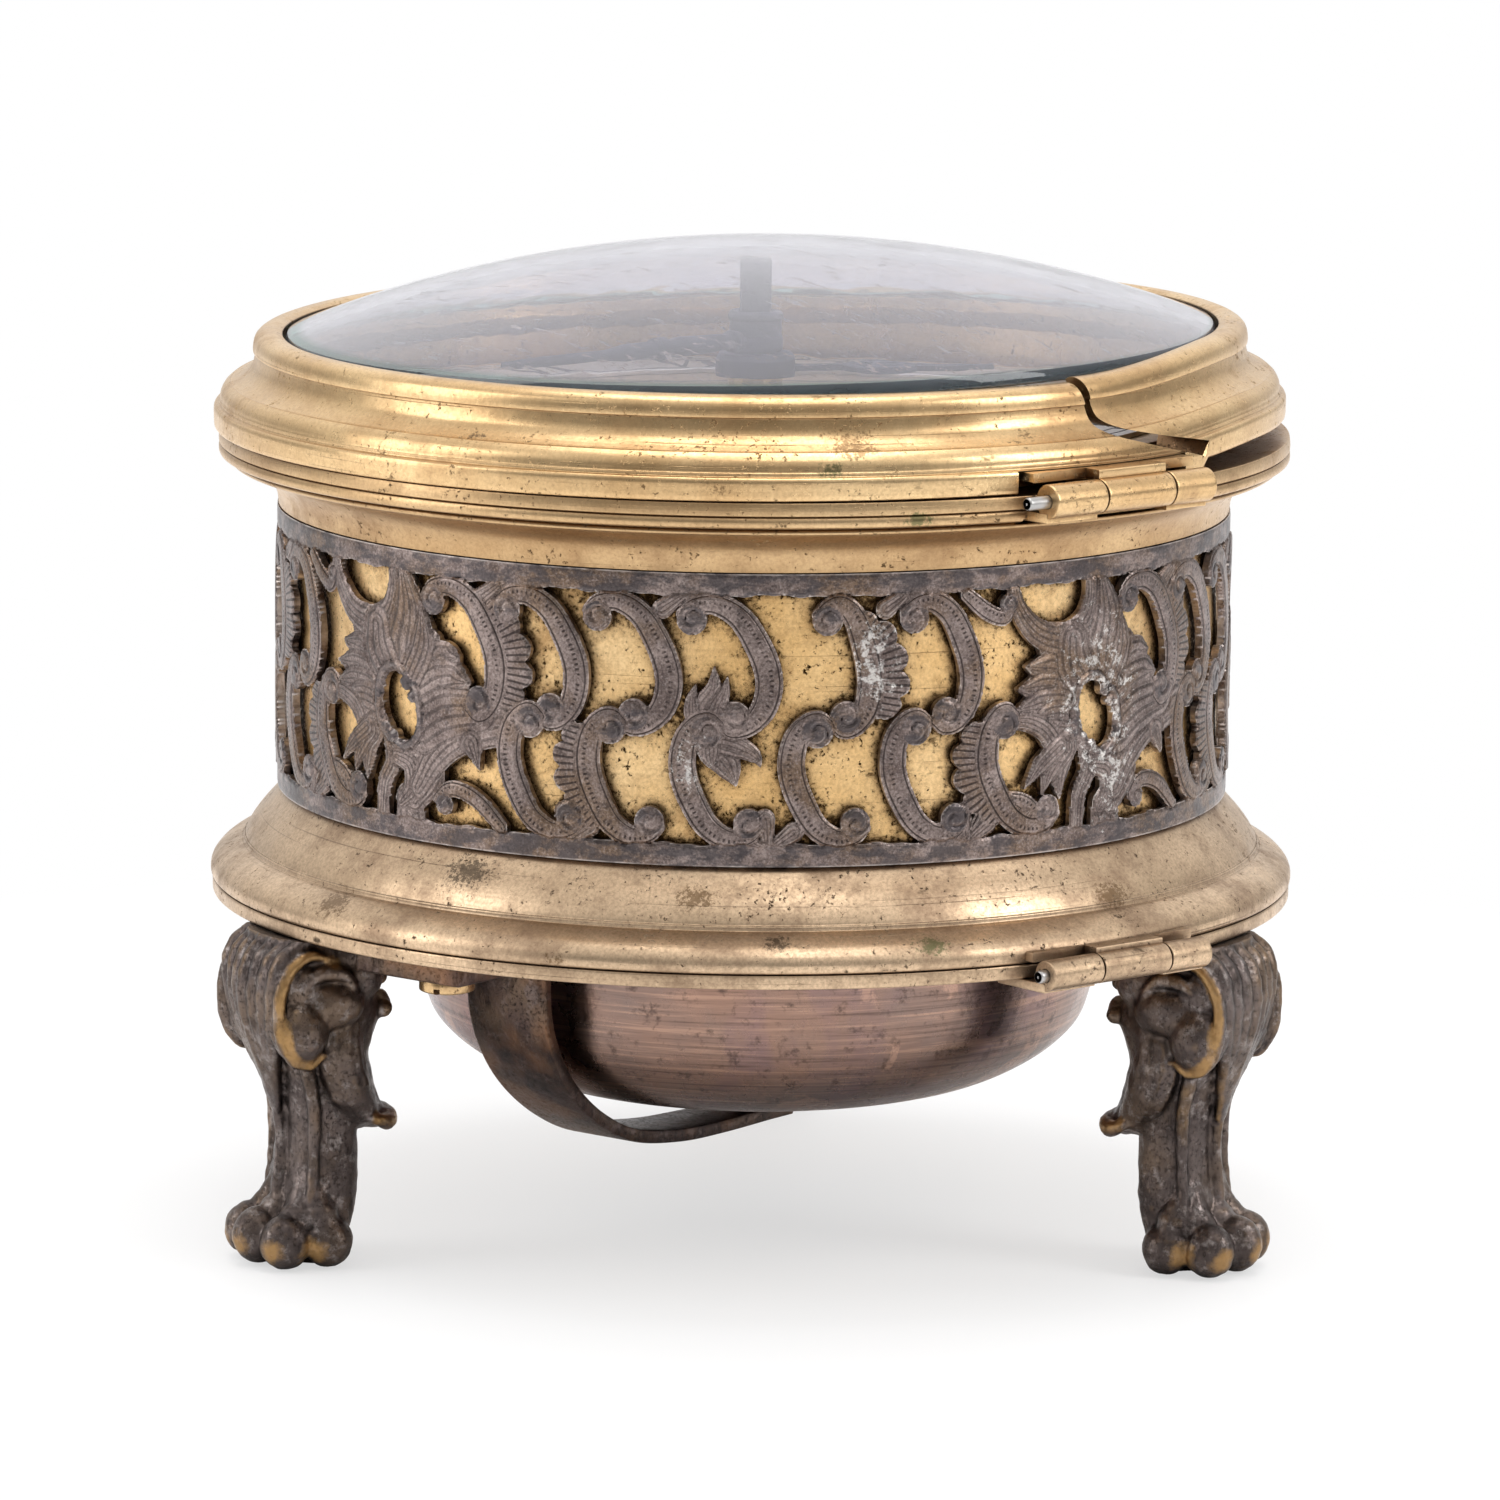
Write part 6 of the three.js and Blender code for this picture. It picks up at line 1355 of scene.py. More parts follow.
def bell():
    height = bell_top - bell_bottom
    outer, inner = [], []
    for i, (out, up) in enumerate(BELL_SHARES):
        turned_up = i / (len(BELL_SHARES) - 1)  # the wall is above the skin at the foot, beside it at the lip
        outer.append((out * bell_radius, bell_bottom + up * height))
        inner.append((outer[-1][0] - BELL_WALL * turned_up, outer[-1][1] + BELL_WALL * (1 - turned_up)))
    crown = bell_bottom + BELL_HUB_HEIGHT
    strokes = [
        *each([(BELL_BORE, bell_bottom), (BELL_HUB, bell_bottom), (BELL_HUB, crown), outer[0]]),
        outer[1:],
        inner[-1:],
        inner[-2::-1],
        [(BELL_BORE, crown + BELL_WALL)],
    ]
    return spun("bell_bowl", outline(strokes, corner=BELL_EASE), centre=bell_at)


STRAP_ANGLE = 11.5
STRAP_SHARES = [
    (1, 0),
    (0.995, 0.3),
    (0.95, 0.5),
    (0.87, 0.67),
    (0.75, 0.82),
    (0.6, 0.93),
    (0.4, 0.985),
    (0.2, 1),
    (-0.09, 1),
]
STRAP_REACH = 45.3
STRAP_WIDTH = 11.6
STRAP_THICKNESS = 1.6
STRAP_STEP = 1.0
STRAP_END_SHARE = 0.62  # of its width, at its inner end
STRAP_EASE, STRAP_ROUND = 0.35, 0.1
STRAP_FOOT_END = 60.3
STRAP_FOOT_SPARE = 4
STRAP_FOOT_THICKNESS = 2.7
STRAP_FOOT_EASE = 0.45
STRAP_SCREW_RING = 55.5
STRAP_HOLE, STRAP_HOLE_TOP = 1.58, 60
BELL_HOLE_TOP = 30
strap_top = high_corner("bell_strap")[2]
strap_bottom = low_corner("bell_strap")[2]


def eased_corners(half, thickness):
    """A flat bar's section, across and deep, with its corners rounded."""
    near = [(half - STRAP_EASE, 0), (half - STRAP_ROUND, STRAP_ROUND), (half, STRAP_EASE)]
    right = near + [(across, thickness - depth) for across, depth in near[::-1]]
    return right + [(-across, depth) for across, depth in right[::-1]]


def bell_strap():
    drop = strap_top - strap_bottom
    course = [(out * STRAP_REACH, strap_top - down * drop) for out, down in STRAP_SHARES]
    outer = np.array(smooth(course, STRAP_STEP))
    along = np.gradient(outer, axis=0)
    along /= np.linalg.norm(along, axis=1)[:, None]
    inward = np.stack([along[:, 1], -along[:, 0]], axis=-1)
    rings = []
    for (r, z), (in_r, in_z) in zip(outer, inward):
        out = min(1, max(0, r / STRAP_REACH))
        half = STRAP_WIDTH / 2 * (STRAP_END_SHARE + (1 - STRAP_END_SHARE) * out)
        section = eased_corners(half, STRAP_THICKNESS)
        rings.append([(r + in_r * depth, across, z + in_z * depth) for across, depth in section])
    strip = swept("bell_strap_strip", rings)
    left, right = -STRAP_WIDTH / 2 - STRAP_FOOT_SPARE, STRAP_WIDTH / 2
    low = (STRAP_REACH - STRAP_THICKNESS, left, strap_top - STRAP_FOOT_THICKNESS)
    foot = block("strap_foot", low, (STRAP_FOOT_END, right, strap_top), STRAP_FOOT_EASE)
    combine(strip, "UNION", foot)
    turn_about_axis(strip, STRAP_ANGLE)
    hole = drilled("hole", STRAP_HOLE, 0, STRAP_HOLE_TOP, polar(STRAP_SCREW_RING, STRAP_ANGLE))
    middle = drilled("hole", BELL_BORE, 0, BELL_HOLE_TOP, bell_at)
    return combine(strip, "DIFFERENCE", hole, middle)


HEAD_CROWN_SHARE, HEAD_SEAT_SHARE = 0.32, 0.2
HEAD_EASE = 0.1
HEAD_RINGS, HEAD_START = 8, 0.2
TIP_SHARE, TIP_LENGTH_SHARE = 0.9, 0.04
SLOT_REACH_SHARE, SLOT_HALF_SHARE, SLOT_DEPTH_SHARE = 1.2, 0.12, 0.55
SLOT_CLEARANCE = 0.05


def slotted_screw(name, node, shank, head_height, head_up, slot_turn):
    """A domed, slotted screw head on its shank, filling the frame's node."""
    low, high = low_corner(node), high_corner(node)
    head = (high[0] - low[0]) / 2
    up = 1 if head_up else -1
    top, tip = (high[2], low[2]) if head_up else (low[2], high[2])
    seat, rim = top - up * head_height, top - up * HEAD_CROWN_SHARE * head_height
    turns = np.linspace(HEAD_START, math.pi / 2, HEAD_RINGS)[:-1]
    dome = [(head * math.cos(a), rim + (top - rim) * math.sin(a)) for a in turns]
    profile = [
        (0, tip),
        (shank * TIP_SHARE, tip),
        (shank, tip + (seat - tip) * TIP_LENGTH_SHARE),
        (shank, seat),
        (head - HEAD_EASE, seat),
        (head, seat + (rim - seat) * HEAD_SEAT_SHARE),
        (head, rim),
        *dome,
        (0, top),
    ]
    centre = centre_of(node)[:2]
    made = spun(name, profile, SMALL_SIDES, centre)
    reach, half = head * SLOT_REACH_SHARE, head * SLOT_HALF_SHARE
    floor, roof = sorted((top, top + (seat - top) * SLOT_DEPTH_SHARE))
    lift = up * SLOT_CLEARANCE
    slot = block("slot", (-reach, -half, floor + lift), (reach, half, roof + lift), 0)
    turn_about_axis(slot, slot_turn)
    slot.data.transform(Matrix.Translation((centre[0] * MM, centre[1] * MM, 0)))
    return combine(made, "DIFFERENCE", slot)


# Dial: a chapter ring with figures, hands, and the square that sets them
chapter_outer = radius_of("chapter_ring")
chapter_top = high_corner("chapter_ring")[2]
chapter_bottom = low_corner("chapter_ring")[2]
CHAPTER_WIDTH = 14
CHAPTER_EASE = 0.1
NUMERALS = ("I", "II", "III", "IIII", "V", "VI", "VII", "VIII", "IX", "X", "XI", "XII")
FIGURE_HEIGHT = 7.4
STROKE_WIDTHS = {"I": 2.0, "V": 5.0, "X": 5.0}
FIGURE_THICKNESS = 0.04
FIGURE_FOOT = 2.1
THICK_STROKE, THIN_STROKE, SERIF = 1.05, 0.38, 0.32
SERIF_SPARE = 0.1
LETTER_GAP = 0.35
THICK_IN, HAIR_IN, V_IN = 0.4, 0.5, 0.3  # how far strokes start in from a letter's side
TRACK_IN, TRACK_OUT = 3.4, 1.5
HOUR_MARK, MINUTE_MARK = 0.42, 0.16
LINE_HALF, LINE_LAP = 0.08, 0.01
LINE_STEPS = 360
FIGURE_LINE_GAP = 1.0
HOURS, MINUTES = 12, 60


def chapter_ring():
    inner = chapter_outer - CHAPTER_WIDTH
    corners = [(chapter_outer, chapter_bottom), (chapter_outer, chapter_top)]
    corners += [(inner, chapter_top), (inner, chapter_bottom)]
    return spun("silvered_ring", outline(each(corners), corner=CHAPTER_EASE))


def rising(foot_left, foot_right, top_left, top_right):
    """A stroke from a figure's foot to its top."""
    return ((foot_left, 0), (foot_right, 0), (top_right, FIGURE_HEIGHT), (top_left, FIGURE_HEIGHT))


def upright(half, height):
    return ((-half, 0), (half, 0), (half, height), (-half, height))


def letter_bars(letter, left):
    """The strokes of one letter as four-cornered outlines: foot at zero, top at the figure's height."""
    middle, right = left + STROKE_WIDTHS[letter] / 2, left + STROKE_WIDTHS[letter]
    stem, hair = left + THICK_IN, right - HAIR_IN
    low, high = left - SERIF_SPARE, right + SERIF_SPARE
    bars = []
    for foot in (FIGURE_HEIGHT - SERIF,) if letter == "V" else (FIGURE_HEIGHT - SERIF, 0):
        bars.append(((low, foot), (high, foot), (high, foot + SERIF), (low, foot + SERIF)))
    if letter == "I":
        half = THICK_STROKE / 2
        bars.append(rising(middle - half, middle + half, middle - half, middle + half))
    elif letter == "V":
        bars.append(rising(middle - THIN_STROKE, middle + THIN_STROKE, left + V_IN, stem + THICK_STROKE))
        bars.append(rising(middle - THIN_STROKE / 2, middle + THIN_STROKE, hair - THIN_STROKE, hair))
    else:
        far = right - THICK_IN
        bars.append(rising(far - THICK_STROKE, far, stem, stem + THICK_STROKE))
        bars.append(rising(left + HAIR_IN, left + HAIR_IN + THIN_STROKE, hair - THIN_STROKE, hair))
    return bars


def dial_figures():
    """Roman figures with their feet to the middle, and a track of minutes outside them."""
    points, faces = [], []

    def bar(corners, turn, radius):
        out = np.array([math.cos(turn), math.sin(turn)])
        clockwise = np.array([math.sin(turn), -math.cos(turn)])
        start = len(points)
        for z in (chapter_top - FIGURE_THICKNESS, chapter_top + FIGURE_THICKNESS):
            for x, y in corners:
                spot = out * (radius + y) + clockwise * x
                points.append((*spot, z))
        a = [start + i for i in range(8)]
        faces.extend([(a[0], a[3], a[2], a[1]), (a[4], a[5], a[6], a[7])])
        faces.extend([(a[i], a[(i + 1) % 4], a[4 + (i + 1) % 4], a[4 + i]) for i in range(4)])

    foot = chapter_outer - CHAPTER_WIDTH + FIGURE_FOOT
    for hour, numeral in enumerate(NUMERALS, 1):
        turn = math.pi / 2 - 2 * math.pi * hour / HOURS
        left = -(sum(STROKE_WIDTHS[letter] + LETTER_GAP for letter in numeral) - LETTER_GAP) / 2
        for letter in numeral:
            for corners in letter_bars(letter, left):
                bar(corners, turn, foot)
            left += STROKE_WIDTHS[letter] + LETTER_GAP
    inner, outer = chapter_outer - TRACK_IN, chapter_outer - TRACK_OUT
    for minute in range(MINUTES):
        half = MINUTE_MARK if minute % (MINUTES // HOURS) else HOUR_MARK
        bar(upright(half, outer - inner), 2 * math.pi * minute / MINUTES, inner)
    for radius in (inner, outer, foot - FIGURE_LINE_GAP):
        half = math.pi * radius / LINE_STEPS + LINE_LAP
        for i in range(LINE_STEPS):
            bar(upright(half, 2 * LINE_HALF), 2 * math.pi * i / LINE_STEPS, radius - LINE_HALF)
    return solid("dial_figures", points, [np.array(faces)])


MINUTE_SHARES = [  # share of the length, and half the width as a share of the hand's width
    (0.04, 0.3),
    (0.1, 0.5),
    (0.11, 0.32),
    (0.3, 0.44),
    (0.36, 0.3),
    (0.37, 0.5),
    (0.4, 0.5),
    (0.41, 0.3),
    (0.52, 0.36),
    (0.6, 0.16),
    (0.9, 0.14),
    (1, 0.04),
]
HAND_WIDTH = 3.4
HAND_THICKNESS = 1.1
HAND_HEIGHT = 2.6
MINUTE_LENGTH = 43
HOUR_LENGTH = 28
MINUTE_ANGLE = 8
HOUR_ANGLE = 143
SETTING_SQUARE = 3.7
SQUARE_TURN = VIEWER_ANGLE - MINUTE_ANGLE
SQUARE_GAP = 0.1
SQUARE_CUT = 1.2
SQUARE_EASE = 0.3
BLADE_START_SHARE, BLADE_RINGS, BLADE_SIDES = 0.07, 90, 16
BLADE_LEAST = 0.1
BLADE_DEPTH, BLADE_DEPTH_SHARE = 0.3, 0.58
BLADE_LIFT = 0.1
BOSS_RADIUS, BOSS_HEIGHT = 3.25, 4.7
BOSS_EASE, BOSS_STEP = 0.08, 0.3
# The boss: shares of its radius, with heights above its foot and then below its top
BOSS_FOOT = ((0.92, 0), (1, 0.5), (1, 1.5), (0.95, 1.8))
BOSS_NECK, BOSS_RIM, BOSS_TOP = (0.94, 1.2), ((1, 0.9), (1, 0.4)), (0.88, 0)
BOSS_BORE, BOSS_BORE_DEPTH = 2.25, 1.15
SQUARE_HOLE_FOOT, SQUARE_HOLE_SPARE = 1.1, 2
minute_bottom = low_corner("minute_hand")[2]
hour_bottom = low_corner("hour_hand")[2]


def minute_hand():
    """A baluster with knops, on a tall boss that the square passes through."""
    middle = minute_bottom + BLADE_LIFT + HAND_HEIGHT / 2
    shares, halves = np.array(MINUTE_SHARES).T
    angles = np.arange(BLADE_SIDES) * 2 * math.pi / BLADE_SIDES
    rings = []
    for share in np.unique(np.concatenate([np.linspace(BLADE_START_SHARE, 1, BLADE_RINGS), shares])):
        half = max(BLADE_LEAST, float(np.interp(share, shares, halves)) * HAND_WIDTH)
        tall = BLADE_DEPTH + BLADE_DEPTH_SHARE * half
        x = share * MINUTE_LENGTH
        rings.append([(x, half * math.cos(a), middle + tall * math.sin(a)) for a in angles])
    top = minute_bottom + BOSS_HEIGHT
    foot = [(BOSS_RADIUS * share, minute_bottom + up) for share, up in BOSS_FOOT]
    upper = (BOSS_NECK, *BOSS_RIM, BOSS_TOP)
    neck, *rim, crown = [(BOSS_RADIUS * share, top - down) for share, down in upper]
    strokes = [*each([*foot, neck]), rim, *each([crown, (0, top), (0, minute_bottom)])]
    boss = spun("minute_pointer", outline(strokes, corner=BOSS_EASE, step=BOSS_STEP), SMALL_SIDES)
    combine(boss, "UNION", swept("minute_blade", rings))
    half = SETTING_SQUARE / 2 + SQUARE_GAP
    low, high = minute_bottom + SQUARE_HOLE_FOOT, top + SQUARE_HOLE_SPARE
    square = block("square", (-half, -half, low), (half, half, high), 0)
    turn_about_axis(square, SQUARE_TURN)
    low, high = minute_bottom - OVERRUN, minute_bottom + BOSS_BORE_DEPTH
    combine(boss, "DIFFERENCE", square, drilled("bore", BOSS_BORE, low, high, sides=SMALL_SIDES))
    turn_about_axis(boss, MINUTE_ANGLE)
    return boss


def setting_square():
    """The cannon pinion, with the square above it turned so that a flat faces the viewer."""
    source = frame["nodes"]["cannon_pinion"]
    pinion = bpy.data.objects.new("setting_square", source.data.copy())
    pinion.data.transform(source.matrix_world)
    bpy.context.scene.collection.objects.link(pinion)
    cut = minute_bottom + SQUARE_CUT
    top = high_corner("cannon_pinion")[2]
    half = SETTING_SQUARE / 2
    above = block("above", (-2 * half, -2 * half, cut), (2 * half, 2 * half, top + OVERRUN), 0)
    combine(pinion, "DIFFERENCE", above)
    post = block("post", (-half, -half, cut - SQUARE_GAP), (half, half, top), SQUARE_EASE)
    turn_about_axis(post, VIEWER_ANGLE)
    return combine(pinion, "UNION", post)


HOUR_STEP = 0.12
HOUR_START, HOUR_HALF = 2.0, 5.5
HOUR_RELIEF = 0.3
# Each stroke of the hour hand: its path and half widths; the loop and its bud are drawn on both sides
HOUR_SHANK = ([(2.5, 0), (9, 0), (11, 0)], (0.85, 0.62, 0.7))
HOUR_LOOP = (
    [(10.6, 0.2), (12.2, 2.3), (14.6, 3.2), (17.2, 2.6), (18.4, 1.0), (16.8, 0.35), (14.8, 0.9), (13.6, 2.0)],
    (0.55, 0.6, 0.65, 0.6, 0.55, 0.5, 0.45, 0.45),
)
HOUR_BUD, HOUR_BUD_RADIUS = (13.8, 1.9), 0.75
HOUR_TIP = ([(18.0, 0), (21.0, 0), (24, 0), (HOUR_LENGTH, 0)], (0.7, 0.95, 0.55, 0.12))
HOUR_SPINE = ([(11.0, 0), (14, 0), (18.6, 0)], (0.45, 0.35, 0.5))
HOUR_BOSS, HOUR_BOSS_HEIGHT, HOUR_BOSS_CHAMFER = 4.7, 2.7, (0.5, 0.7)
HOUR_BORE = 2.45
HOUR_EASE = 0.12
HOUR_UP, HOUR_SINK, HOUR_BACK = 0.7, 0.1, -0.65


def hour_hand():
    """A pierced hand with a pair of loops, on a flat boss."""
    across = np.arange(-HOUR_HALF, HOUR_HALF, HOUR_STEP)
    u, v = np.meshgrid(np.arange(HOUR_START, HOUR_LENGTH + OVERRUN, HOUR_STEP), across)
    field = Field(u, v)
    draw_stroke(field, *HOUR_SHANK, HOUR_RELIEF, "plain")
    for side in (-1, 1):
        path, widths = HOUR_LOOP
        draw_stroke(field, [(a, b * side) for a, b in path], widths, HOUR_RELIEF, "plain")
        draw_disc(field, (HOUR_BUD[0], HOUR_BUD[1] * side), HOUR_BUD_RADIUS, relief=HOUR_RELIEF, turns=0)
    draw_stroke(field, *HOUR_TIP, HOUR_RELIEF, "plain")
    draw_stroke(field, *HOUR_SPINE, HOUR_RELIEF, "plain")
    top = hour_bottom + HOUR_BOSS_HEIGHT
    middle = top - 2 * HAND_THICKNESS + HOUR_UP

    def place(column, row, height):
        x, y = HOUR_START + column * HOUR_STEP, -HOUR_HALF + row * HOUR_STEP
        return np.stack([x, y, middle + height], axis=-1)

    blade = sawn_sheet("hour_blade", field.inside, field.height - HOUR_SINK, HOUR_BACK, place)
    corners = [
        (HOUR_BOSS, hour_bottom),
        (HOUR_BOSS, top - HOUR_BOSS_CHAMFER[1]),
        (HOUR_BOSS - HOUR_BOSS_CHAMFER[0], top),
        (HOUR_BORE, top),
        (HOUR_BORE, hour_bottom),
    ]
    boss = spun("hour_pointer", outline(each(corners), corner=HOUR_EASE, step=BOSS_STEP), SMALL_SIDES)
    combine(boss, "UNION", blade)
    turn_about_axis(boss, HOUR_ANGLE)
    return boss


# Finishes. Patterns are worked out in millimetres from each object's own coordinates. A grain is how many
# features there are to a millimetre, its detail and its roughness; patches start with the noise at which they
# begin and are full.
TURN_SHARE = 1.5
BLOT_RAG, BLOT_GRAIN, BLOT_EDGE = 4.0, (1.5, 8, 0.78), (2.62, 2.35)


class Finish:
    """One material, built up from its nodes."""

    def __init__(self, name, metallic=1.0, roughness=0.3):
        self.material = bpy.data.materials.new(name)
        self.material.use_nodes = True
        self.tree = self.material.node_tree
        self.shader = self.tree.nodes["Principled BSDF"]
        self.shader.inputs["Metallic"].default_value = metallic
        self.shader.inputs["Roughness"].default_value = roughness
        place_of = self.node("ShaderNodeTexCoord")
        scale = self.node("ShaderNodeVectorMath", operation="SCALE")
        self.join(place_of.outputs["Object"], scale.inputs[0])
        scale.inputs["Scale"].default_value = 1 / MM
        self.place = scale.outputs[0]
        self.normal = None

    def node(self, kind, **settings):
        made = self.tree.nodes.new(kind)
        for key, value in settings.items():
            setattr(made, key, value)
        return made

    def join(self, source, target):
        if isinstance(source, (int, float)):
            target.default_value = source
        elif isinstance(source, tuple):
            target.default_value = (*source, 1)
        else:
            self.tree.links.new(source, target)

    def noise(self, scale, detail=4.0, rough=0.55, stretch=None, place=None):
        """Noise whose features are about one over scale millimetres across."""
        made = self.node("ShaderNodeTexNoise")
        made.inputs["Scale"].default_value = scale
        made.inputs["Detail"].default_value = detail
        made.inputs["Roughness"].default_value = rough
        place = place or self.place
        if stretch:
            mapping = self.node("ShaderNodeVectorMath", operation="MULTIPLY")
            self.join(place, mapping.inputs[0])
            mapping.inputs[1].default_value = stretch
            place = mapping.outputs[0]
        self.join(place, made.inputs["Vector"])
        return made.outputs["Fac"]

    def patches(self, low, high, *grain, **more):
        """Noise turned into patches: none where it is at low, full where it is at high."""
        return self.between(self.noise(*grain, **more), low, high)

    def wander(self, amount, *grain):
        """Noise of an amount, to be added to something else."""
        return self.sum("MULTIPLY", self.noise(*grain), amount)

    def over(self, colour, mask, share, tone):
        """Lays a tone over the colour by the mask, up to the share."""
        return self.mix(self.sum("MULTIPLY", mask, share), colour, tone)

    def attribute(self, name):
        return self.node("ShaderNodeAttribute", attribute_name=name).outputs["Fac"]

    def parts(self, place):
        """The three numbers of a place."""
        made = self.node("ShaderNodeSeparateXYZ")
        self.join(place, made.inputs[0])
        return made.outputs

    def near(self, middle, reach, flat):
        """A ragged blot about a point, flatter than it is wide."""
        step = self.node("ShaderNodeVectorMath", operation="SUBTRACT")
        self.join(self.place, step.inputs[0])
        step.inputs[1].default_value = middle
        shape = self.node("ShaderNodeVectorMath", operation="MULTIPLY")
        self.join(step.outputs[0], shape.inputs[0])
        shape.inputs[1].default_value = (1 / reach, 1 / reach, 1 / (reach * flat))
        size = self.node("ShaderNodeVectorMath", operation="LENGTH")
        self.join(shape.outputs[0], size.inputs[0])
        ragged = self.sum("ADD", size.outputs["Value"], self.wander(BLOT_RAG, *BLOT_GRAIN))
        return self.between(ragged, *BLOT_EDGE)

    def turned_place(self):
        """The radius and height of each point, and a little of its turn, for marks left by a lathe."""
        x, y, height = self.parts(self.place)
        radius = self.sum("SQRT", self.sum("ADD", self.sum("MULTIPLY", x, x), self.sum("MULTIPLY", y, y)))
        whole = self.node("ShaderNodeCombineXYZ")
        self.join(radius, whole.inputs[0])
        self.join(self.sum("MULTIPLY", self.sum("ARCTAN2", y, x), TURN_SHARE), whole.inputs[1])
        self.join(height, whole.inputs[2])
        return whole.outputs[0]

    def sum(self, operation, a, b=0.0, clamp=False):
        made = self.node("ShaderNodeMath", operation=operation, use_clamp=clamp)
        self.join(a, made.inputs[0])
        self.join(b, made.inputs[1])
        return made.outputs[0]

    def between(self, value, low, high):
        """Zero where the value is at low, one where it is at high."""
        made = self.node("ShaderNodeMapRange", clamp=True)
        self.join(value, made.inputs["Value"])
        made.inputs["From Min"].default_value = low
        made.inputs["From Max"].default_value = high
        return made.outputs["Result"]

    def mix(self, share, a, b):
        made = self.node("ShaderNodeMix", data_type="RGBA")
        self.join(share, made.inputs[0])
        self.join(a, made.inputs[6])
        self.join(b, made.inputs[7])
        return made.outputs[2]

    def edges(self, low=0.52, high=0.62):
        """High on sharp outer edges."""
        return self.between(self.attribute("stand"), low, high)

    def hollows(self, low=0.48, high=0.38):
        return self.between(self.attribute("stand"), low, high)

    def shelter(self, reach):
        """High in corners that are closed in within the reach."""
        made = self.node("ShaderNodeAmbientOcclusion", samples=6)
        made.inputs["Distance"].default_value = reach * MM
        return self.sum("SUBTRACT", 1.0, made.outputs["AO"])

    def bump(self, height, depth, strength=1.0):
        made = self.node("ShaderNodeBump")
        made.inputs["Strength"].default_value = strength
        made.inputs["Distance"].default_value = depth * MM
        self.join(height, made.inputs["Height"])
        if self.normal:
            self.join(self.normal, made.inputs["Normal"])
        self.normal = made.outputs["Normal"]

    def done(self, colour, roughness=None):
        self.join(colour, self.shader.inputs["Base Color"])
        if roughness is not None:
            self.join(roughness, self.shader.inputs["Roughness"])
        if self.normal:
            self.join(self.normal, self.shader.inputs["Normal"])
        return self.material


# Patterns: the noise at which patches begin and are full, then the grain, its detail and its roughness.
GILT_CLOUD = (0.35, 0.65, 0.06, 5, 0.6)
GILT_GRAIN, GRAIN_SHARE, GRAIN_WEAR_SHARE = (0.42, 0.62, 2.4, 6, 0.75), 0.22, 0.2
PATCH_EDGES, PATCH_WEAR, PATCH_GRAIN = (0.58, 0.72), (0.10, 0.06), (0.10, 9, 0.68)
PATCH_SHARE, PATCH_WEAR_SHARE = 0.40, 0.25
STAIN_EDGES, STAIN_WEAR, STAIN_GRAIN, STAIN_STRETCH = (0.60, 0.66), 0.03, (0.34, 8, 0.72), (1, 1, 2.4)
STAIN_GROUPS, STAIN_SHARE, STAIN_WEAR_SHARE = (0.50, 0.62, 0.045, 3, 0.5), 0.5, 0.35
# Corners darkened by grime and painted shade: the reach, where the darkening begins and is full, and for the
# tightest corners how much is laid on
CORNER_REACH, CORNER_EDGES, CORNER_GRIME_AND_SHADE = 1.6, (0.10, 0.7), 0.72
NEAR_CORNER_REACH, NEAR_CORNER_EDGES = 4.5, (0.10, 0.58)
SPECK_GRAIN, SPECK_GROUPS, SPECK_DENSER = (1.5, 7, 0.72), (0.36, 0.64, 0.16, 4, 0.55), 0.09
SPECK_EDGES, SPECK_SHARE = (0.66, 0.70), 0.85
SCRATCHES, SCRATCH_STRETCH, SCRATCH_SHARE = (0.665, 0.69, 1.1, 5, 0.6), (3, 0.3, 3), 0.4
SOOT, DARKEST, SCRATCHED, RUBBED = 0.16, 0.3, 0.5, 1.15  # shares of the tarnish, and of the bright gilding
EDGE_SHARE, BLOT_SHARE, BLOT_FLAT = 0.5, 0.75, 0.62
LATHE_GRAIN, LATHE_STRETCH, LATHE_DEPTH = (2.2, 3, 0.6), (1, 0.25, 1), 0.035
DENT_GRAIN, DENT_DEPTH = (0.28, 4, 0.5), 0.12
PIT_DEPTH = 0.05
GILT_DULLING, GILT_DULL_GRAIN = 0.16, (0.35, 5, 0.65)
PATCH_DULLING, GRAIN_DULLING, SPECK_DULLING = 0.14, 0.06, 0.35
SOFT, HALF, FIRM, STRONG = 0.25, 0.5, 0.6, 0.8  # how strongly a bump is felt


def tinted(colour, share):
    return tuple(min(1, c * share) for c in colour)


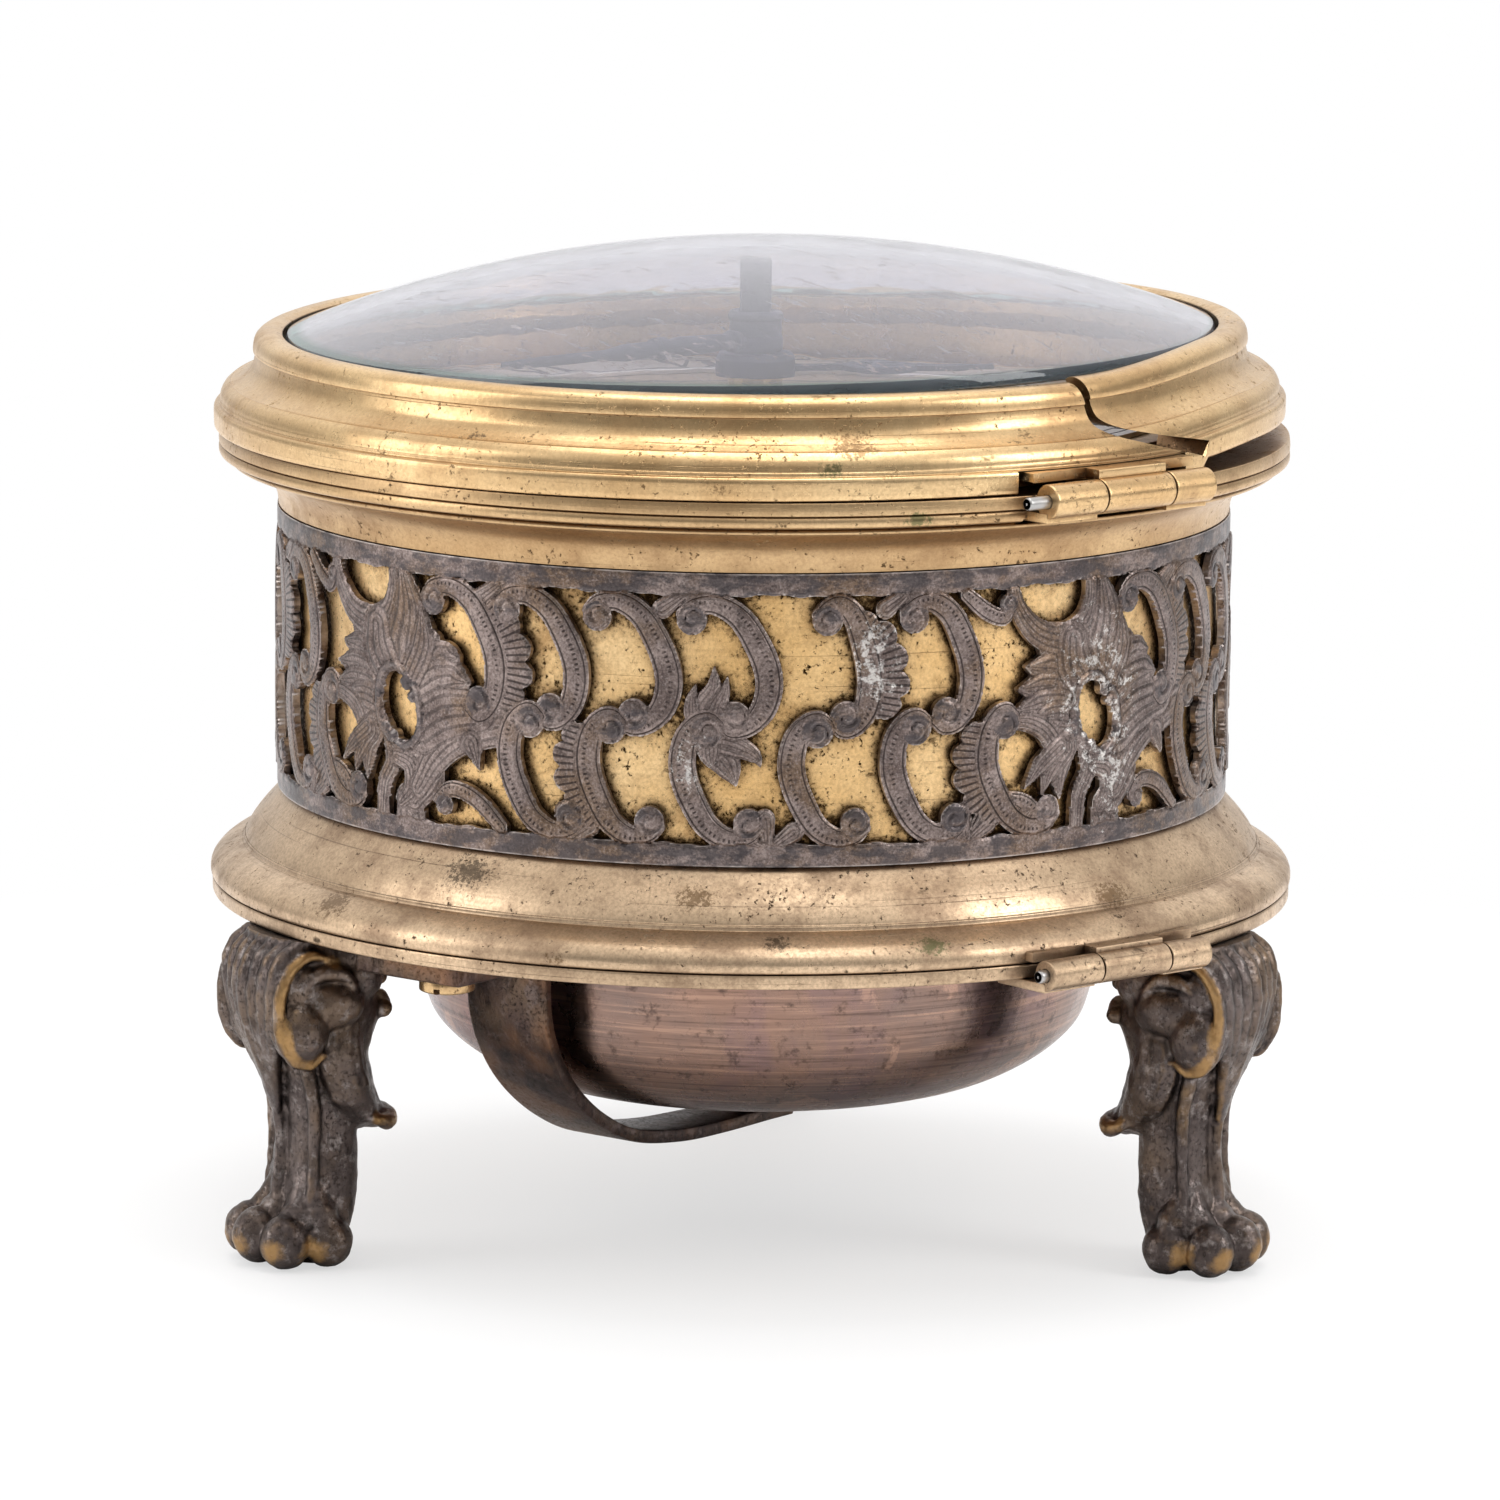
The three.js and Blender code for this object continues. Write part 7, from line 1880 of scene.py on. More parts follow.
def gilding(name, bright, deep, tarnish, spots, wear, roughness, sheltered, grime_and_shade, blots=()):
    """Turned gilding: cloudy colour, brown specks, corners darkened by grime and painted shade, rubbed edges and
    fine lathe marks.
    """
    f = Finish(name)
    soot = tinted(tarnish, SOOT)
    turned = f.turned_place()
    colour = f.mix(f.patches(*GILT_CLOUD), bright, deep)
    grain = f.patches(*GILT_GRAIN)
    colour = f.over(colour, grain, GRAIN_SHARE + GRAIN_WEAR_SHARE * wear, tarnish)
    low, high = [edge - worn * wear for edge, worn in zip(PATCH_EDGES, PATCH_WEAR)]
    patch = f.patches(low, high, *PATCH_GRAIN)
    colour = f.over(colour, patch, PATCH_SHARE + PATCH_WEAR_SHARE * wear, tarnish)
    low, high = STAIN_EDGES
    stain = f.patches(low - STAIN_WEAR * wear, high, *STAIN_GRAIN, stretch=STAIN_STRETCH)
    stain = f.sum("MULTIPLY", stain, f.patches(*STAIN_GROUPS))
    colour = f.over(colour, stain, STAIN_SHARE + STAIN_WEAR_SHARE * wear, soot)
    corner = f.between(f.shelter(CORNER_REACH), *CORNER_EDGES)
    near_corner = f.between(f.shelter(NEAR_CORNER_REACH), *NEAR_CORNER_EDGES)
    # Grime and painted shade darken the gilding near closed-in corners.
    colour = f.over(colour, near_corner, grime_and_shade, tarnish)
    dense = f.sum("MAXIMUM", f.patches(*SPECK_GROUPS), f.sum("MULTIPLY", near_corner, sheltered))
    dense = f.sum("MULTIPLY", dense, SPECK_DENSER)
    speck = f.between(f.sum("ADD", f.noise(*SPECK_GRAIN), dense), *SPECK_EDGES)
    colour = f.mix(f.sum("MULTIPLY", speck, SPECK_SHARE * spots, clamp=True), colour, soot)
    # The tightest corners take the darkest tone: grime and painted shade.
    colour = f.over(colour, corner, CORNER_GRIME_AND_SHADE, tinted(tarnish, DARKEST))
    colour = f.over(colour, f.edges(), EDGE_SHARE, tinted(bright, RUBBED))
    scratch = f.patches(*SCRATCHES, stretch=SCRATCH_STRETCH, place=turned)
    colour = f.over(colour, scratch, SCRATCH_SHARE, tinted(tarnish, SCRATCHED))
    for radius, angle, height, reach, tint in blots:
        blot = f.near((*polar(radius, VIEWER_ANGLE + angle), height), reach, BLOT_FLAT)
        colour = f.over(colour, blot, BLOT_SHARE, tint)
    rough = f.sum("ADD", roughness, f.wander(GILT_DULLING, *GILT_DULL_GRAIN))
    rough = f.sum("ADD", rough, f.sum("MULTIPLY", patch, PATCH_DULLING))
    rough = f.sum("ADD", rough, f.sum("MULTIPLY", grain, GRAIN_DULLING))
    marks = f.sum("MAXIMUM", speck, stain)
    rough = f.sum("ADD", rough, f.sum("MULTIPLY", marks, SPECK_DULLING), clamp=True)
    f.bump(f.noise(*LATHE_GRAIN, stretch=LATHE_STRETCH, place=turned), LATHE_DEPTH, HALF)
    f.bump(f.noise(*DENT_GRAIN), DENT_DEPTH, HALF)
    f.bump(f.sum("SUBTRACT", 1.0, f.sum("MAXIMUM", speck, scratch)), PIT_DEPTH, STRONG)
    return f.done(colour, rough)


SILVER_DARK, SILVER_PALE, SILVER_BROWN = (0.145, 0.11, 0.10), (0.315, 0.25, 0.228), (0.185, 0.12, 0.075)
SILVER_BLACK, GRAIN_BLACK, GRAIN_PALE = (0.07, 0.055, 0.052), (0.055, 0.042, 0.04), (0.46, 0.40, 0.38)
RAIL_BLACK, CUT_BLACK, HOLLOW_BLACK = (0.06, 0.055, 0.06), (0.024, 0.019, 0.019), (0.03, 0.024, 0.025)
SILVER_BARE, SILVER_RUBBED = (0.72, 0.69, 0.66), (0.70, 0.62, 0.57)
SILVER_CLOUD = (0.36, 0.66, 0.22, 6, 0.65)
MARK_HALF = 0.5
# Patches of each tone of the silver, with the share laid on
SILVER_TONES = (
    ((0.48, 0.60, 0.09, 5, 0.6), 0.75, SILVER_BROWN),
    ((0.52, 0.64, 0.7, 5, 0.7), 0.6, SILVER_BLACK),
)
SILVER_GRAIN = (3.4, 4, 0.7)
SILVER_GRAIN_TONES = (((0.50, 0.62), 0.55, GRAIN_BLACK), ((0.46, 0.36), 0.35, GRAIN_PALE))
RAIL_PATCHES, RAIL_SHARE = (0.44, 0.56, 0.28, 5, 0.65), 0.75
HATCH_PITCH, FRILL_PITCH = 0.56, 0.7
VEIN_RATE = 15.0
CUT_EDGES, PUNCH_EDGES = (0.2, 0.8), (0.1, 0.6)
PUNCH_PATCHES = (0.36, 0.5, 0.8, 4, 0.6)
PUNCH_MIDDLE, PUNCH_BAND = 0.2, (0.2, 0.1)
LINE_BAND = (0.09, 0.03)
LEAF_BAND, FRILL_BAND = (1.0, 0.9), (0.6, 0.5)
VEIN_SHARE, CUT_TONE_SHARE = 0.6, 0.8
SILVER_HOLLOWS, SILVER_EDGES = (0.49, 0.42), (0.515, 0.60)
FRESH_PATCHES, BRIGHT_PATCHES = (0.49, 0.58, 0.8, 5, 0.7), (0.35, 0.6, 0.4, 4, 0.6)
CUT_DEPTH = 0.07
SILVER_DENTS, SILVER_DENT_DEPTH = (0.5, 5, 0.6), 0.22
SILVER_PITS, SILVER_PIT_DEPTH, SILVER_PIT_STRENGTH = (1.8, 5, 0.65), 0.09, 0.55
SILVER_ROUGHNESS, SILVER_DULLING, SILVER_DULL_GRAIN = 0.24, 0.26, (0.9, 4, 0.6)
# Where the silver is rubbed bright: angle from the viewer's line, height and reach
BARE_SILVER = ((44, 69, 8), (46, 62, 6), (14, 75, 4.5), (-7, 63, 3))
BARE_TALL = 1.5


def old_silvering():
    """The frieze: dark tarnished silver with punched bands, engraved leaves and bright rubbed edges."""
    f = Finish("frieze_silver")
    along, across = f.attribute("along"), f.attribute("across")

    def waves(value, rate, edges):
        return f.between(f.sum("SINE", f.sum("MULTIPLY", value, rate)), *edges)

    def around(value, middle, band):
        """High where the value is near the middle."""
        return f.between(f.sum("ABSOLUTE", f.sum("SUBTRACT", value, middle)), *band)

    colour = f.mix(f.patches(*SILVER_CLOUD), SILVER_DARK, SILVER_PALE)
    for patches, share, tone in SILVER_TONES:
        colour = f.over(colour, f.patches(*patches), share, tone)
    grains = f.noise(*SILVER_GRAIN)
    for edges, share, tone in SILVER_GRAIN_TONES:
        colour = f.over(colour, f.between(grains, *edges), share, tone)
    rail = f.between(across, PLAIN_MARK - MARK_HALF, PLAIN_MARK)
    black = f.patches(*RAIL_PATCHES, stretch=(1, 1, 2))
    colour = f.over(colour, f.sum("MULTIPLY", rail, black), RAIL_SHARE, RAIL_BLACK)
    punched = waves(along, 2 * math.pi / HATCH_PITCH, PUNCH_EDGES)
    punched = f.sum("MULTIPLY", punched, f.patches(*PUNCH_PATCHES))
    lines = around(f.sum("ABSOLUTE", across), GROOVE_AT_SHARE, LINE_BAND)
    leaf = around(across, LEAF_MARK, LEAF_BAND)
    frill = around(across, FRILL_MARK + MARK_HALF, FRILL_BAND)
    cuts = f.sum("MAXIMUM", f.sum("MULTIPLY", punched, around(across, PUNCH_MIDDLE, PUNCH_BAND)), lines)
    veins = f.sum("MULTIPLY", leaf, waves(across, VEIN_RATE, CUT_EDGES))
    cuts = f.sum("MAXIMUM", cuts, f.sum("MULTIPLY", veins, VEIN_SHARE))
    hatch = waves(along, 2 * math.pi / FRILL_PITCH, CUT_EDGES)
    cuts = f.sum("MAXIMUM", cuts, f.sum("MULTIPLY", frill, hatch))
    colour = f.over(colour, cuts, CUT_TONE_SHARE, CUT_BLACK)
    colour = f.over(colour, f.hollows(*SILVER_HOLLOWS), CUT_TONE_SHARE, HOLLOW_BLACK)
    fresh = f.patches(*FRESH_PATCHES)
    for angle, height, reach in BARE_SILVER:
        bare = f.near((*polar(frieze_radius, VIEWER_ANGLE + angle), height), reach, BARE_TALL)
        colour = f.over(colour, f.sum("MULTIPLY", bare, fresh), CUT_TONE_SHARE, SILVER_BARE)
    bright = f.sum("MULTIPLY", f.edges(*SILVER_EDGES), f.patches(*BRIGHT_PATCHES))
    colour = f.over(colour, bright, CUT_TONE_SHARE, SILVER_RUBBED)
    f.bump(f.sum("SUBTRACT", 1.0, cuts), CUT_DEPTH, STRONG)
    f.bump(f.noise(*SILVER_DENTS), SILVER_DENT_DEPTH, FIRM)
    f.bump(f.noise(*SILVER_PITS), SILVER_PIT_DEPTH, SILVER_PIT_STRENGTH)
    return f.done(colour, f.sum("ADD", SILVER_ROUGHNESS, f.wander(SILVER_DULLING, *SILVER_DULL_GRAIN)))


CAST_CLOUD, CAST_PALE = (0.34, 0.66, 0.16, 7, 0.65), (0.53, 0.64, 0.5, 8, 0.72)
CAST_TINT, CAST_BROWN, CAST_TINT_SHARE = (0.45, 0.62, 0.07, 5, 0.6), (0.22, 0.15, 0.095), 0.45
FLECKS, FLECK_GROUPS = (0.54, 0.62, 2.2, 6, 0.75), (0.3, 0.75, 0.2, 4, 0.6)
FLECK_DEPTH, FLECK_DULLING = 0.06, 0.2
SMEARS, SMEAR_STRETCH, SMEAR_SHARE = (0.54, 0.68, 0.42, 6, 0.7), (1.6, 1.6, 0.6), 0.65
CAST_HOLLOWS, CAST_HOLLOW_SHARE = (0.495, 0.43), 0.85
CAST_SHELTER, CAST_SHELTER_EDGES, CAST_SHARE = 3, (0.2, 0.8), 0.6
CAST_EDGES, WORN_PATCHES, WORN_SHARE = (0.51, 0.57), (0.44, 0.60, 0.12, 3, 0.5), 0.7
RUB_GRAIN, RUB_RAG, RUB_EDGES, RUB_SHARE = (0.3, 7, 0.72), 1.6, (1.3, 1.75), 0.8
CAST_DENTS, CAST_DENT_DEPTH = (1.1, 7, 0.65), 0.16
CAST_ROUGHNESS, CAST_DULLING, CAST_DULL_GRAIN = 0.22, 0.24, (0.7, 5, 0.6)


def cast_bronze(name, dark, mid, pale, warm):
    """Castings: a dark skin that is rubbed pale on what stands out and bronze on its ridges."""
    f = Finish(name)
    black = tinted(dark, DARKEST)
    colour = f.mix(f.patches(*CAST_CLOUD), dark, mid)
    colour = f.over(colour, f.patches(*CAST_TINT), CAST_TINT_SHARE, CAST_BROWN)
    colour = f.over(colour, f.patches(*CAST_PALE), CAST_SHARE, pale)
    flecks = f.patches(*FLECKS)
    colour = f.over(colour, flecks, f.patches(*FLECK_GROUPS), black)
    colour = f.over(colour, f.patches(*SMEARS, stretch=SMEAR_STRETCH), SMEAR_SHARE, black)
    colour = f.over(colour, f.hollows(*CAST_HOLLOWS), CAST_HOLLOW_SHARE, black)
    colour = f.over(colour, f.between(f.shelter(CAST_SHELTER), *CAST_SHELTER_EDGES), CAST_SHARE, black)
    worn = f.sum("MULTIPLY", f.edges(*CAST_EDGES), f.patches(*WORN_PATCHES))
    rubbed = f.between(f.sum("ADD", f.attribute("rubbed"), f.wander(RUB_RAG, *RUB_GRAIN)), *RUB_EDGES)
    worn = f.sum("MAXIMUM", f.sum("MULTIPLY", worn, WORN_SHARE), f.sum("MULTIPLY", rubbed, RUB_SHARE))
    colour = f.mix(worn, colour, warm)
    f.bump(f.noise(*CAST_DENTS), CAST_DENT_DEPTH, FIRM)
    f.bump(f.sum("SUBTRACT", 1.0, flecks), FLECK_DEPTH, FIRM)
    rough = f.sum("ADD", CAST_ROUGHNESS, f.wander(CAST_DULLING, *CAST_DULL_GRAIN))
    return f.done(colour, f.sum("ADD", rough, f.sum("MULTIPLY", flecks, FLECK_DULLING)))


BELL_COPPER, BELL_BROWN, BELL_FOOT = (0.30, 0.185, 0.14), (0.20, 0.15, 0.135), (0.115, 0.082, 0.07)
# Patches of each tone of the bell, how they are stretched, and the share laid on
BELL_CLOUD = (0.35, 0.65, 0.05, 6, 0.6)
BELL_TONES = (
    ((0.52, 0.62, 0.045, 5, 0.6), (1, 1, 0.4), 0.5, (0.20, 0.13, 0.16)),
    ((0.55, 0.565, 0.06, 9, 0.62), (1, 1, 0.7), 0.6, (0.50, 0.31, 0.23)),
)
BELL_FOOT_TOP, BELL_FOOT_FULL, BELL_FOOT_RAG, BELL_FOOT_GRAIN, BELL_FOOT_SHARE = 14, 6, 6, (0.1, 4, 0.6), 0.6
BELL_LATHE, BELL_LATHE_STRETCH, BELL_LATHE_DEPTH = (1.9, 5, 0.7), (1, 0.03, 1), 0.06
BELL_LATHE_TONES = (((0.52, 0.64), 0.42, (0.56, 0.35, 0.25)), ((0.45, 0.36), 0.45, (0.04, 0.028, 0.025)))
BELL_SPOTS, BELL_SPOT_SHARE, BELL_SPOT = (0.55, 0.66, 0.5, 7, 0.72), 0.7, (0.07, 0.048, 0.042)
BELL_DENTS, BELL_DENT_DEPTH = (0.16, 4, 0.55), 0.3
BELL_ROUGHNESS, BELL_DULLING, BELL_DULL_GRAIN = 0.17, 0.22, (0.3, 4, 0.6)


def turned_bell():
    f = Finish("bell_metal")
    turned = f.turned_place()
    colour = f.mix(f.patches(*BELL_CLOUD), BELL_COPPER, BELL_BROWN)
    for patches, stretch, share, tone in BELL_TONES:
        colour = f.over(colour, f.patches(*patches, stretch=stretch), share, tone)
    height = f.sum("ADD", f.parts(f.place)[2], f.wander(BELL_FOOT_RAG, *BELL_FOOT_GRAIN))
    foot = f.between(height, bell_bottom + BELL_FOOT_TOP, bell_bottom + BELL_FOOT_FULL)
    colour = f.over(colour, foot, BELL_FOOT_SHARE, BELL_FOOT)
    lathe = f.noise(*BELL_LATHE, stretch=BELL_LATHE_STRETCH, place=turned)
    for edges, share, tone in BELL_LATHE_TONES:
        colour = f.over(colour, f.between(lathe, *edges), share, tone)
    colour = f.over(colour, f.patches(*BELL_SPOTS), BELL_SPOT_SHARE, BELL_SPOT)
    f.bump(lathe, BELL_LATHE_DEPTH, FIRM)
    f.bump(f.noise(*BELL_DENTS), BELL_DENT_DEPTH, HALF)
    return f.done(colour, f.sum("ADD", BELL_ROUGHNESS, f.wander(BELL_DULLING, *BELL_DULL_GRAIN)))


METAL_CLOUD, METAL_MOTTLE, METAL_RUBBED, METAL_EDGE_SHARE = (0.35, 0.65, 0.2, 5, 0.6), 0.25, 1.3, 0.4
METAL_GRAIN, METAL_STRETCH, FINE_DEPTH = (2.0, 3, 0.6), (1, 0.15, 1), 0.03
METAL_DULLING, METAL_DULL_GRAIN = 0.18, (0.6, 4, 0.6)


def plain_metal(name, colour, roughness, metallic=1.0):
    f = Finish(name, metallic)
    tone = f.mix(f.patches(*METAL_CLOUD), colour, tinted(colour, 1 - METAL_MOTTLE))
    tone = f.over(tone, f.edges(), METAL_EDGE_SHARE, tinted(colour, METAL_RUBBED))
    f.bump(f.noise(*METAL_GRAIN, stretch=METAL_STRETCH), FINE_DEPTH, HALF)
    return f.done(tone, f.sum("ADD", roughness, f.wander(METAL_DULLING, *METAL_DULL_GRAIN)))


DIAL_CLOUD, DIAL_GRAIN = (0.35, 0.68, 0.12, 6, 0.65), (3.0, 3, 0.6)
DIAL_ROUGHNESS, DIAL_DULLING = 0.36, 0.15
DIAL_SILVER, DIAL_SILVER_DULL, DIAL_SILVER_SPOT = (0.66, 0.64, 0.59), (0.50, 0.46, 0.39), (0.25, 0.2, 0.15)
DIAL_SILVER_SPOTS, DIAL_SILVER_SPOT_SHARE = (0.6, 0.7, 0.9, 6, 0.7), 0.4
DIAL_GILT, DIAL_GILT_DULL, DIAL_GILT_SPOT = (0.50, 0.37, 0.21), (0.33, 0.24, 0.15), (0.10, 0.07, 0.05)
DIAL_GILT_SPOTS, DIAL_GILT_SPOT_SHARE = (0.56, 0.68, 0.9, 6, 0.7), 0.6
DIAL_RING, DIAL_RING_BAND, DIAL_RING_SHARE, DIAL_RING_TONE = 27.5, (0.9, 0.6), 0.9, (0.035, 0.03, 0.03)


def dial_metal(name, colour, dull, spots, spot_share, spot, ring=None):
    """Dull metal of the dial, with a broad dark ring where one is given."""
    f = Finish(name)
    cloud = f.patches(*DIAL_CLOUD)
    tone = f.mix(cloud, colour, dull)
    if ring:
        # A broad dark band at the ring's radius.
        from_ring = f.sum("ABSOLUTE", f.sum("SUBTRACT", f.parts(f.turned_place())[0], ring))
        tone = f.over(tone, f.between(from_ring, *DIAL_RING_BAND), DIAL_RING_SHARE, DIAL_RING_TONE)
    tone = f.over(tone, f.patches(*spots), spot_share, spot)
    f.bump(f.noise(*DIAL_GRAIN), FINE_DEPTH, HALF)
    return f.done(tone, f.sum("ADD", DIAL_ROUGHNESS, f.sum("MULTIPLY", cloud, DIAL_DULLING)))


WAX_GRAIN, WAX_DEPTH, WAX_CLOUD, WAX_ROUGHNESS = (4.0, 3, 0.6), 0.02, (1.0, 4, 0.6), 0.5
WAX_BLACK, WAX_PALE = (0.012, 0.011, 0.011), (0.045, 0.04, 0.038)


def black_wax():
    f = Finish("figure_wax", metallic=0.0)
    f.bump(f.noise(*WAX_GRAIN), WAX_DEPTH, HALF)
    return f.done(f.mix(f.noise(*WAX_CLOUD), WAX_BLACK, WAX_PALE), WAX_ROUGHNESS)


GLASS_CLEAR, GLASS_HAZY = (0.91, 0.90, 0.97), (0.83, 0.82, 0.90)
GLASS_EDGE, GLASS_DUST = (0.16, 0.36, 0.29), (0.58, 0.56, 0.66)
GLASS_INDEX = 1.5
GLASS_HAZE, GLASS_ROUGHNESS = (0.35, 0.75, 0.09, 6, 0.65), 0.006
GLASS_WAVES, GLASS_WAVE_DEPTH = (0.05, 3, 0.5), 0.12
GLASS_SCRATCHES, GLASS_SCRATCH_STRETCH = (0.62, 0.7, 0.9, 5, 0.7), (1, 0.2, 1)
GLASS_SCRATCH_DEPTH, GLASS_SCRATCH_STRENGTH = 0.02, 0.3
GLASS_RIM_START, GLASS_RIM_FULL = 1.6, 0.5  # in from the glass's edge
GLASS_FILM = 0.045
glass_reach = radius_of("lid_glass")


def old_glass():
    """Thick blown glass, faintly lavender, under a thin milky film of dust and fine scratches."""
    f = Finish("clear_glass", metallic=0.0)
    f.shader.inputs["Transmission Weight"].default_value = 1.0
    f.shader.inputs["IOR"].default_value = GLASS_INDEX
    haze = f.patches(*GLASS_HAZE)
    rough = f.sum("MULTIPLY", haze, GLASS_ROUGHNESS)
    f.bump(f.noise(*GLASS_WAVES), GLASS_WAVE_DEPTH, SOFT)
    scratches = f.patches(*GLASS_SCRATCHES, stretch=GLASS_SCRATCH_STRETCH)
    f.bump(scratches, GLASS_SCRATCH_DEPTH, GLASS_SCRATCH_STRENGTH)
    radius = f.parts(f.turned_place())[0]
    rim = f.between(radius, glass_reach - GLASS_RIM_START, glass_reach - GLASS_RIM_FULL)
    material = f.done(f.mix(rim, f.mix(haze, GLASS_CLEAR, GLASS_HAZY), GLASS_EDGE), rough)
    film = f.node("ShaderNodeBsdfDiffuse")
    f.join(GLASS_DUST, film.inputs["Color"])
    blend = f.node("ShaderNodeMixShader")
    f.join(f.sum("ADD", GLASS_FILM, f.sum("MULTIPLY", haze, GLASS_FILM)), blend.inputs[0])
    f.join(f.shader.outputs[0], blend.inputs[1])
    f.join(film.outputs[0], blend.inputs[2])
    f.join(blend.outputs[0], f.tree.nodes["Material Output"].inputs["Surface"])
    return material


GREENISH, BROWNISH, BLACKISH = (0.10, 0.115, 0.05), (0.13, 0.075, 0.035), (0.035, 0.027, 0.022)
# Stains: radius, angle from the viewer's line, height, reach and colour
LID_BLOTS = (
    (60.5, 10.5, 100.3, 4.2, BROWNISH),
    (61.5, 8.0, 97.5, 2.4, GREENISH),
    (60.0, 31.0, 100.5, 1.8, BROWNISH),
    (60.0, -31.0, 99.5, 1.8, BLACKISH),
    (62.0, -4.0, 95.5, 2.2, BROWNISH),
)
NECK_BLOTS = (
    (63.0, 17.0, 91.9, 2.4, GREENISH),
    (59.0, -20.0, 86.5, 3.2, BROWNISH),
    (59.0, 24.0, 86.5, 3.4, BROWNISH),
)
BASE_BLOTS = (
    (57.5, -34.0, 49.2, 4.4, BLACKISH),
    (62.5, 19.0, 43.4, 3.0, GREENISH),
    (63.0, -20.0, 41.5, 2.2, BROWNISH),
    (58.5, -6.0, 48.5, 3.4, BROWNISH),
    (62.0, 3.0, 44.0, 2.2, BLACKISH),
    (62.0, -50.0, 44.0, 4.0, BROWNISH),
    (60.0, 44.0, 46.5, 4.2, BROWNISH),
    (63.5, 33.0, 40.0, 2.2, BLACKISH),
)
# Gildings: bright, deep and tarnished tones, then how many specks, how worn, how rough, how much the specks
# gather in corners, how dark the grime and painted shade in corners are, and the stains
GILDINGS = {
    "bright_gilt": (
        *((0.87, 0.62, 0.325), (0.76, 0.49, 0.21), (0.28, 0.145, 0.055),),
        *(1.3, 0.55, 0.25, 2.6, 0.42),
    ),
    "gilt_brass": (
        *((0.80, 0.57, 0.305), (0.60, 0.39, 0.19), (0.29, 0.16, 0.075),),
        *(0.7, 0.45, 0.2, 1.0, 0.85, LID_BLOTS),
    ),
    # The top ring: a darker copy of the gilt, painted shade under the lid's flange
    "shaded_neck_gilt": (
        *((0.66, 0.46, 0.25), (0.48, 0.31, 0.155), (0.25, 0.14, 0.07),),
        *(0.8, 0.5, 0.24, 1.0, 0.9, NECK_BLOTS),
    ),
    "worn_gilt": (
        *((0.74, 0.545, 0.36), (0.53, 0.385, 0.25), (0.20, 0.125, 0.08),),
        *(0.9, 0.95, 0.26, 0.7, 0.6, BASE_BLOTS),
    ),
}
# Castings: dark, middle, pale and rubbed tones
CASTINGS = {
    "foot_bronze": ((0.06, 0.047, 0.044), (0.15, 0.12, 0.11), (0.34, 0.30, 0.285), (0.42, 0.25, 0.10)),
    "strap_bronze": ((0.04, 0.03, 0.028), (0.10, 0.066, 0.057), (0.17, 0.13, 0.12), (0.36, 0.18, 0.09)),
}
# Plain metals: tone, roughness and how metallic they look
PLAIN_METALS = {
    "steel": ((0.46, 0.45, 0.44), 0.28),
    "dark_steel": ((0.022, 0.023, 0.032), 0.45, 0.25),
    "movement_brass": ((0.74, 0.56, 0.27), 0.22),
}
finishes = {name: gilding(name, *values) for name, values in GILDINGS.items()}
finishes["frieze_silver"] = old_silvering()
finishes.update({name: cast_bronze(name, *tones) for name, tones in CASTINGS.items()})
finishes["bell_metal"] = turned_bell()
finishes.update({name: plain_metal(name, *values) for name, values in PLAIN_METALS.items()})
silver = (DIAL_SILVER, DIAL_SILVER_DULL, DIAL_SILVER_SPOTS, DIAL_SILVER_SPOT_SHARE, DIAL_SILVER_SPOT)
finishes["dial_silver"] = dial_metal("dial_silver", *silver)
finishes["clear_glass"] = old_glass()
gilt = (DIAL_GILT, DIAL_GILT_DULL, DIAL_GILT_SPOTS, DIAL_GILT_SPOT_SHARE, DIAL_GILT_SPOT)
dial_gilt = dial_metal("dial_gilt", *gilt, ring=DIAL_RING)
slot_of = {part["node"]: part["material_slot"] for part in frame["record"]["subparts"]}


def dress(obj, body, node, crease=CREASE):
    """Places a piece that stands for a node, in that node's finish."""
    return place(obj, finishes[slot_of[node]], body, slot_of[node], node, crease=crease)


FRIEZE_CREASE, CAST_CREASE = 60, 80
# Screws: the frame's node, the shank's radius, the head's height, whether it is up, and the way its slot lies
SCREWS = {
    "strap_fixing": ("strap_screw", 1.5, 1.9, False, 30),
    "bell_fixing": ("bell_screw", 1.4, 1.3, True, 70),
}
# Hinge leaves: the frame's node, the body, the hinge, its knuckle's radius and the leaf's own knuckles
LEAVES = {
    "lid_leaf_low": ("lid_hinge_lower_leaf", "case", lid_hinge, LID_KNUCKLE, (0, 2)),
    "lid_leaf_high": ("lid_hinge_upper_leaf", "lid", lid_hinge, LID_KNUCKLE, (1,)),
    "base_leaf_low": ("base_hinge_leaf", "base", base_hinge, BASE_KNUCKLE, (0, 2)),
    "base_leaf_high": ("case_hinge_leaf", "case", base_hinge, BASE_KNUCKLE, (1,)),
}
EASE_WIDTH, EASE_SEGMENTS, EASE_ANGLE = 0.09, 2, 35

# Case, lid and base
dress(base_ring(), "case", "case_base_ring")
place(drum(), finishes["bright_gilt"], "case", slot_of["case_drum"], "case_drum")
# The top ring takes the darker copy of the gilt, painted shade under the lid's flange
place(top_ring(), finishes["shaded_neck_gilt"], "case", slot_of["case_top_ring"], "case_top_ring")
dress(frieze(), "case", "pierced_frieze", crease=FRIEZE_CREASE)
dress(bezel(), "lid", "bezel_ring")
dress(glass_dome(), "lid", "lid_glass")
dress(base_plate(), "base", "base_plate")
for node, foot_copy in feet():
    dress(foot_copy, "base", node, crease=CAST_CREASE)
dress(bell(), "base", "bell")
dress(bell_strap(), "base", "bell_strap")
for name, (node, shank, head_height, head_up, slot_turn) in SCREWS.items():
    dress(slotted_screw(name, node, shank, head_height, head_up, slot_turn), "base", node)

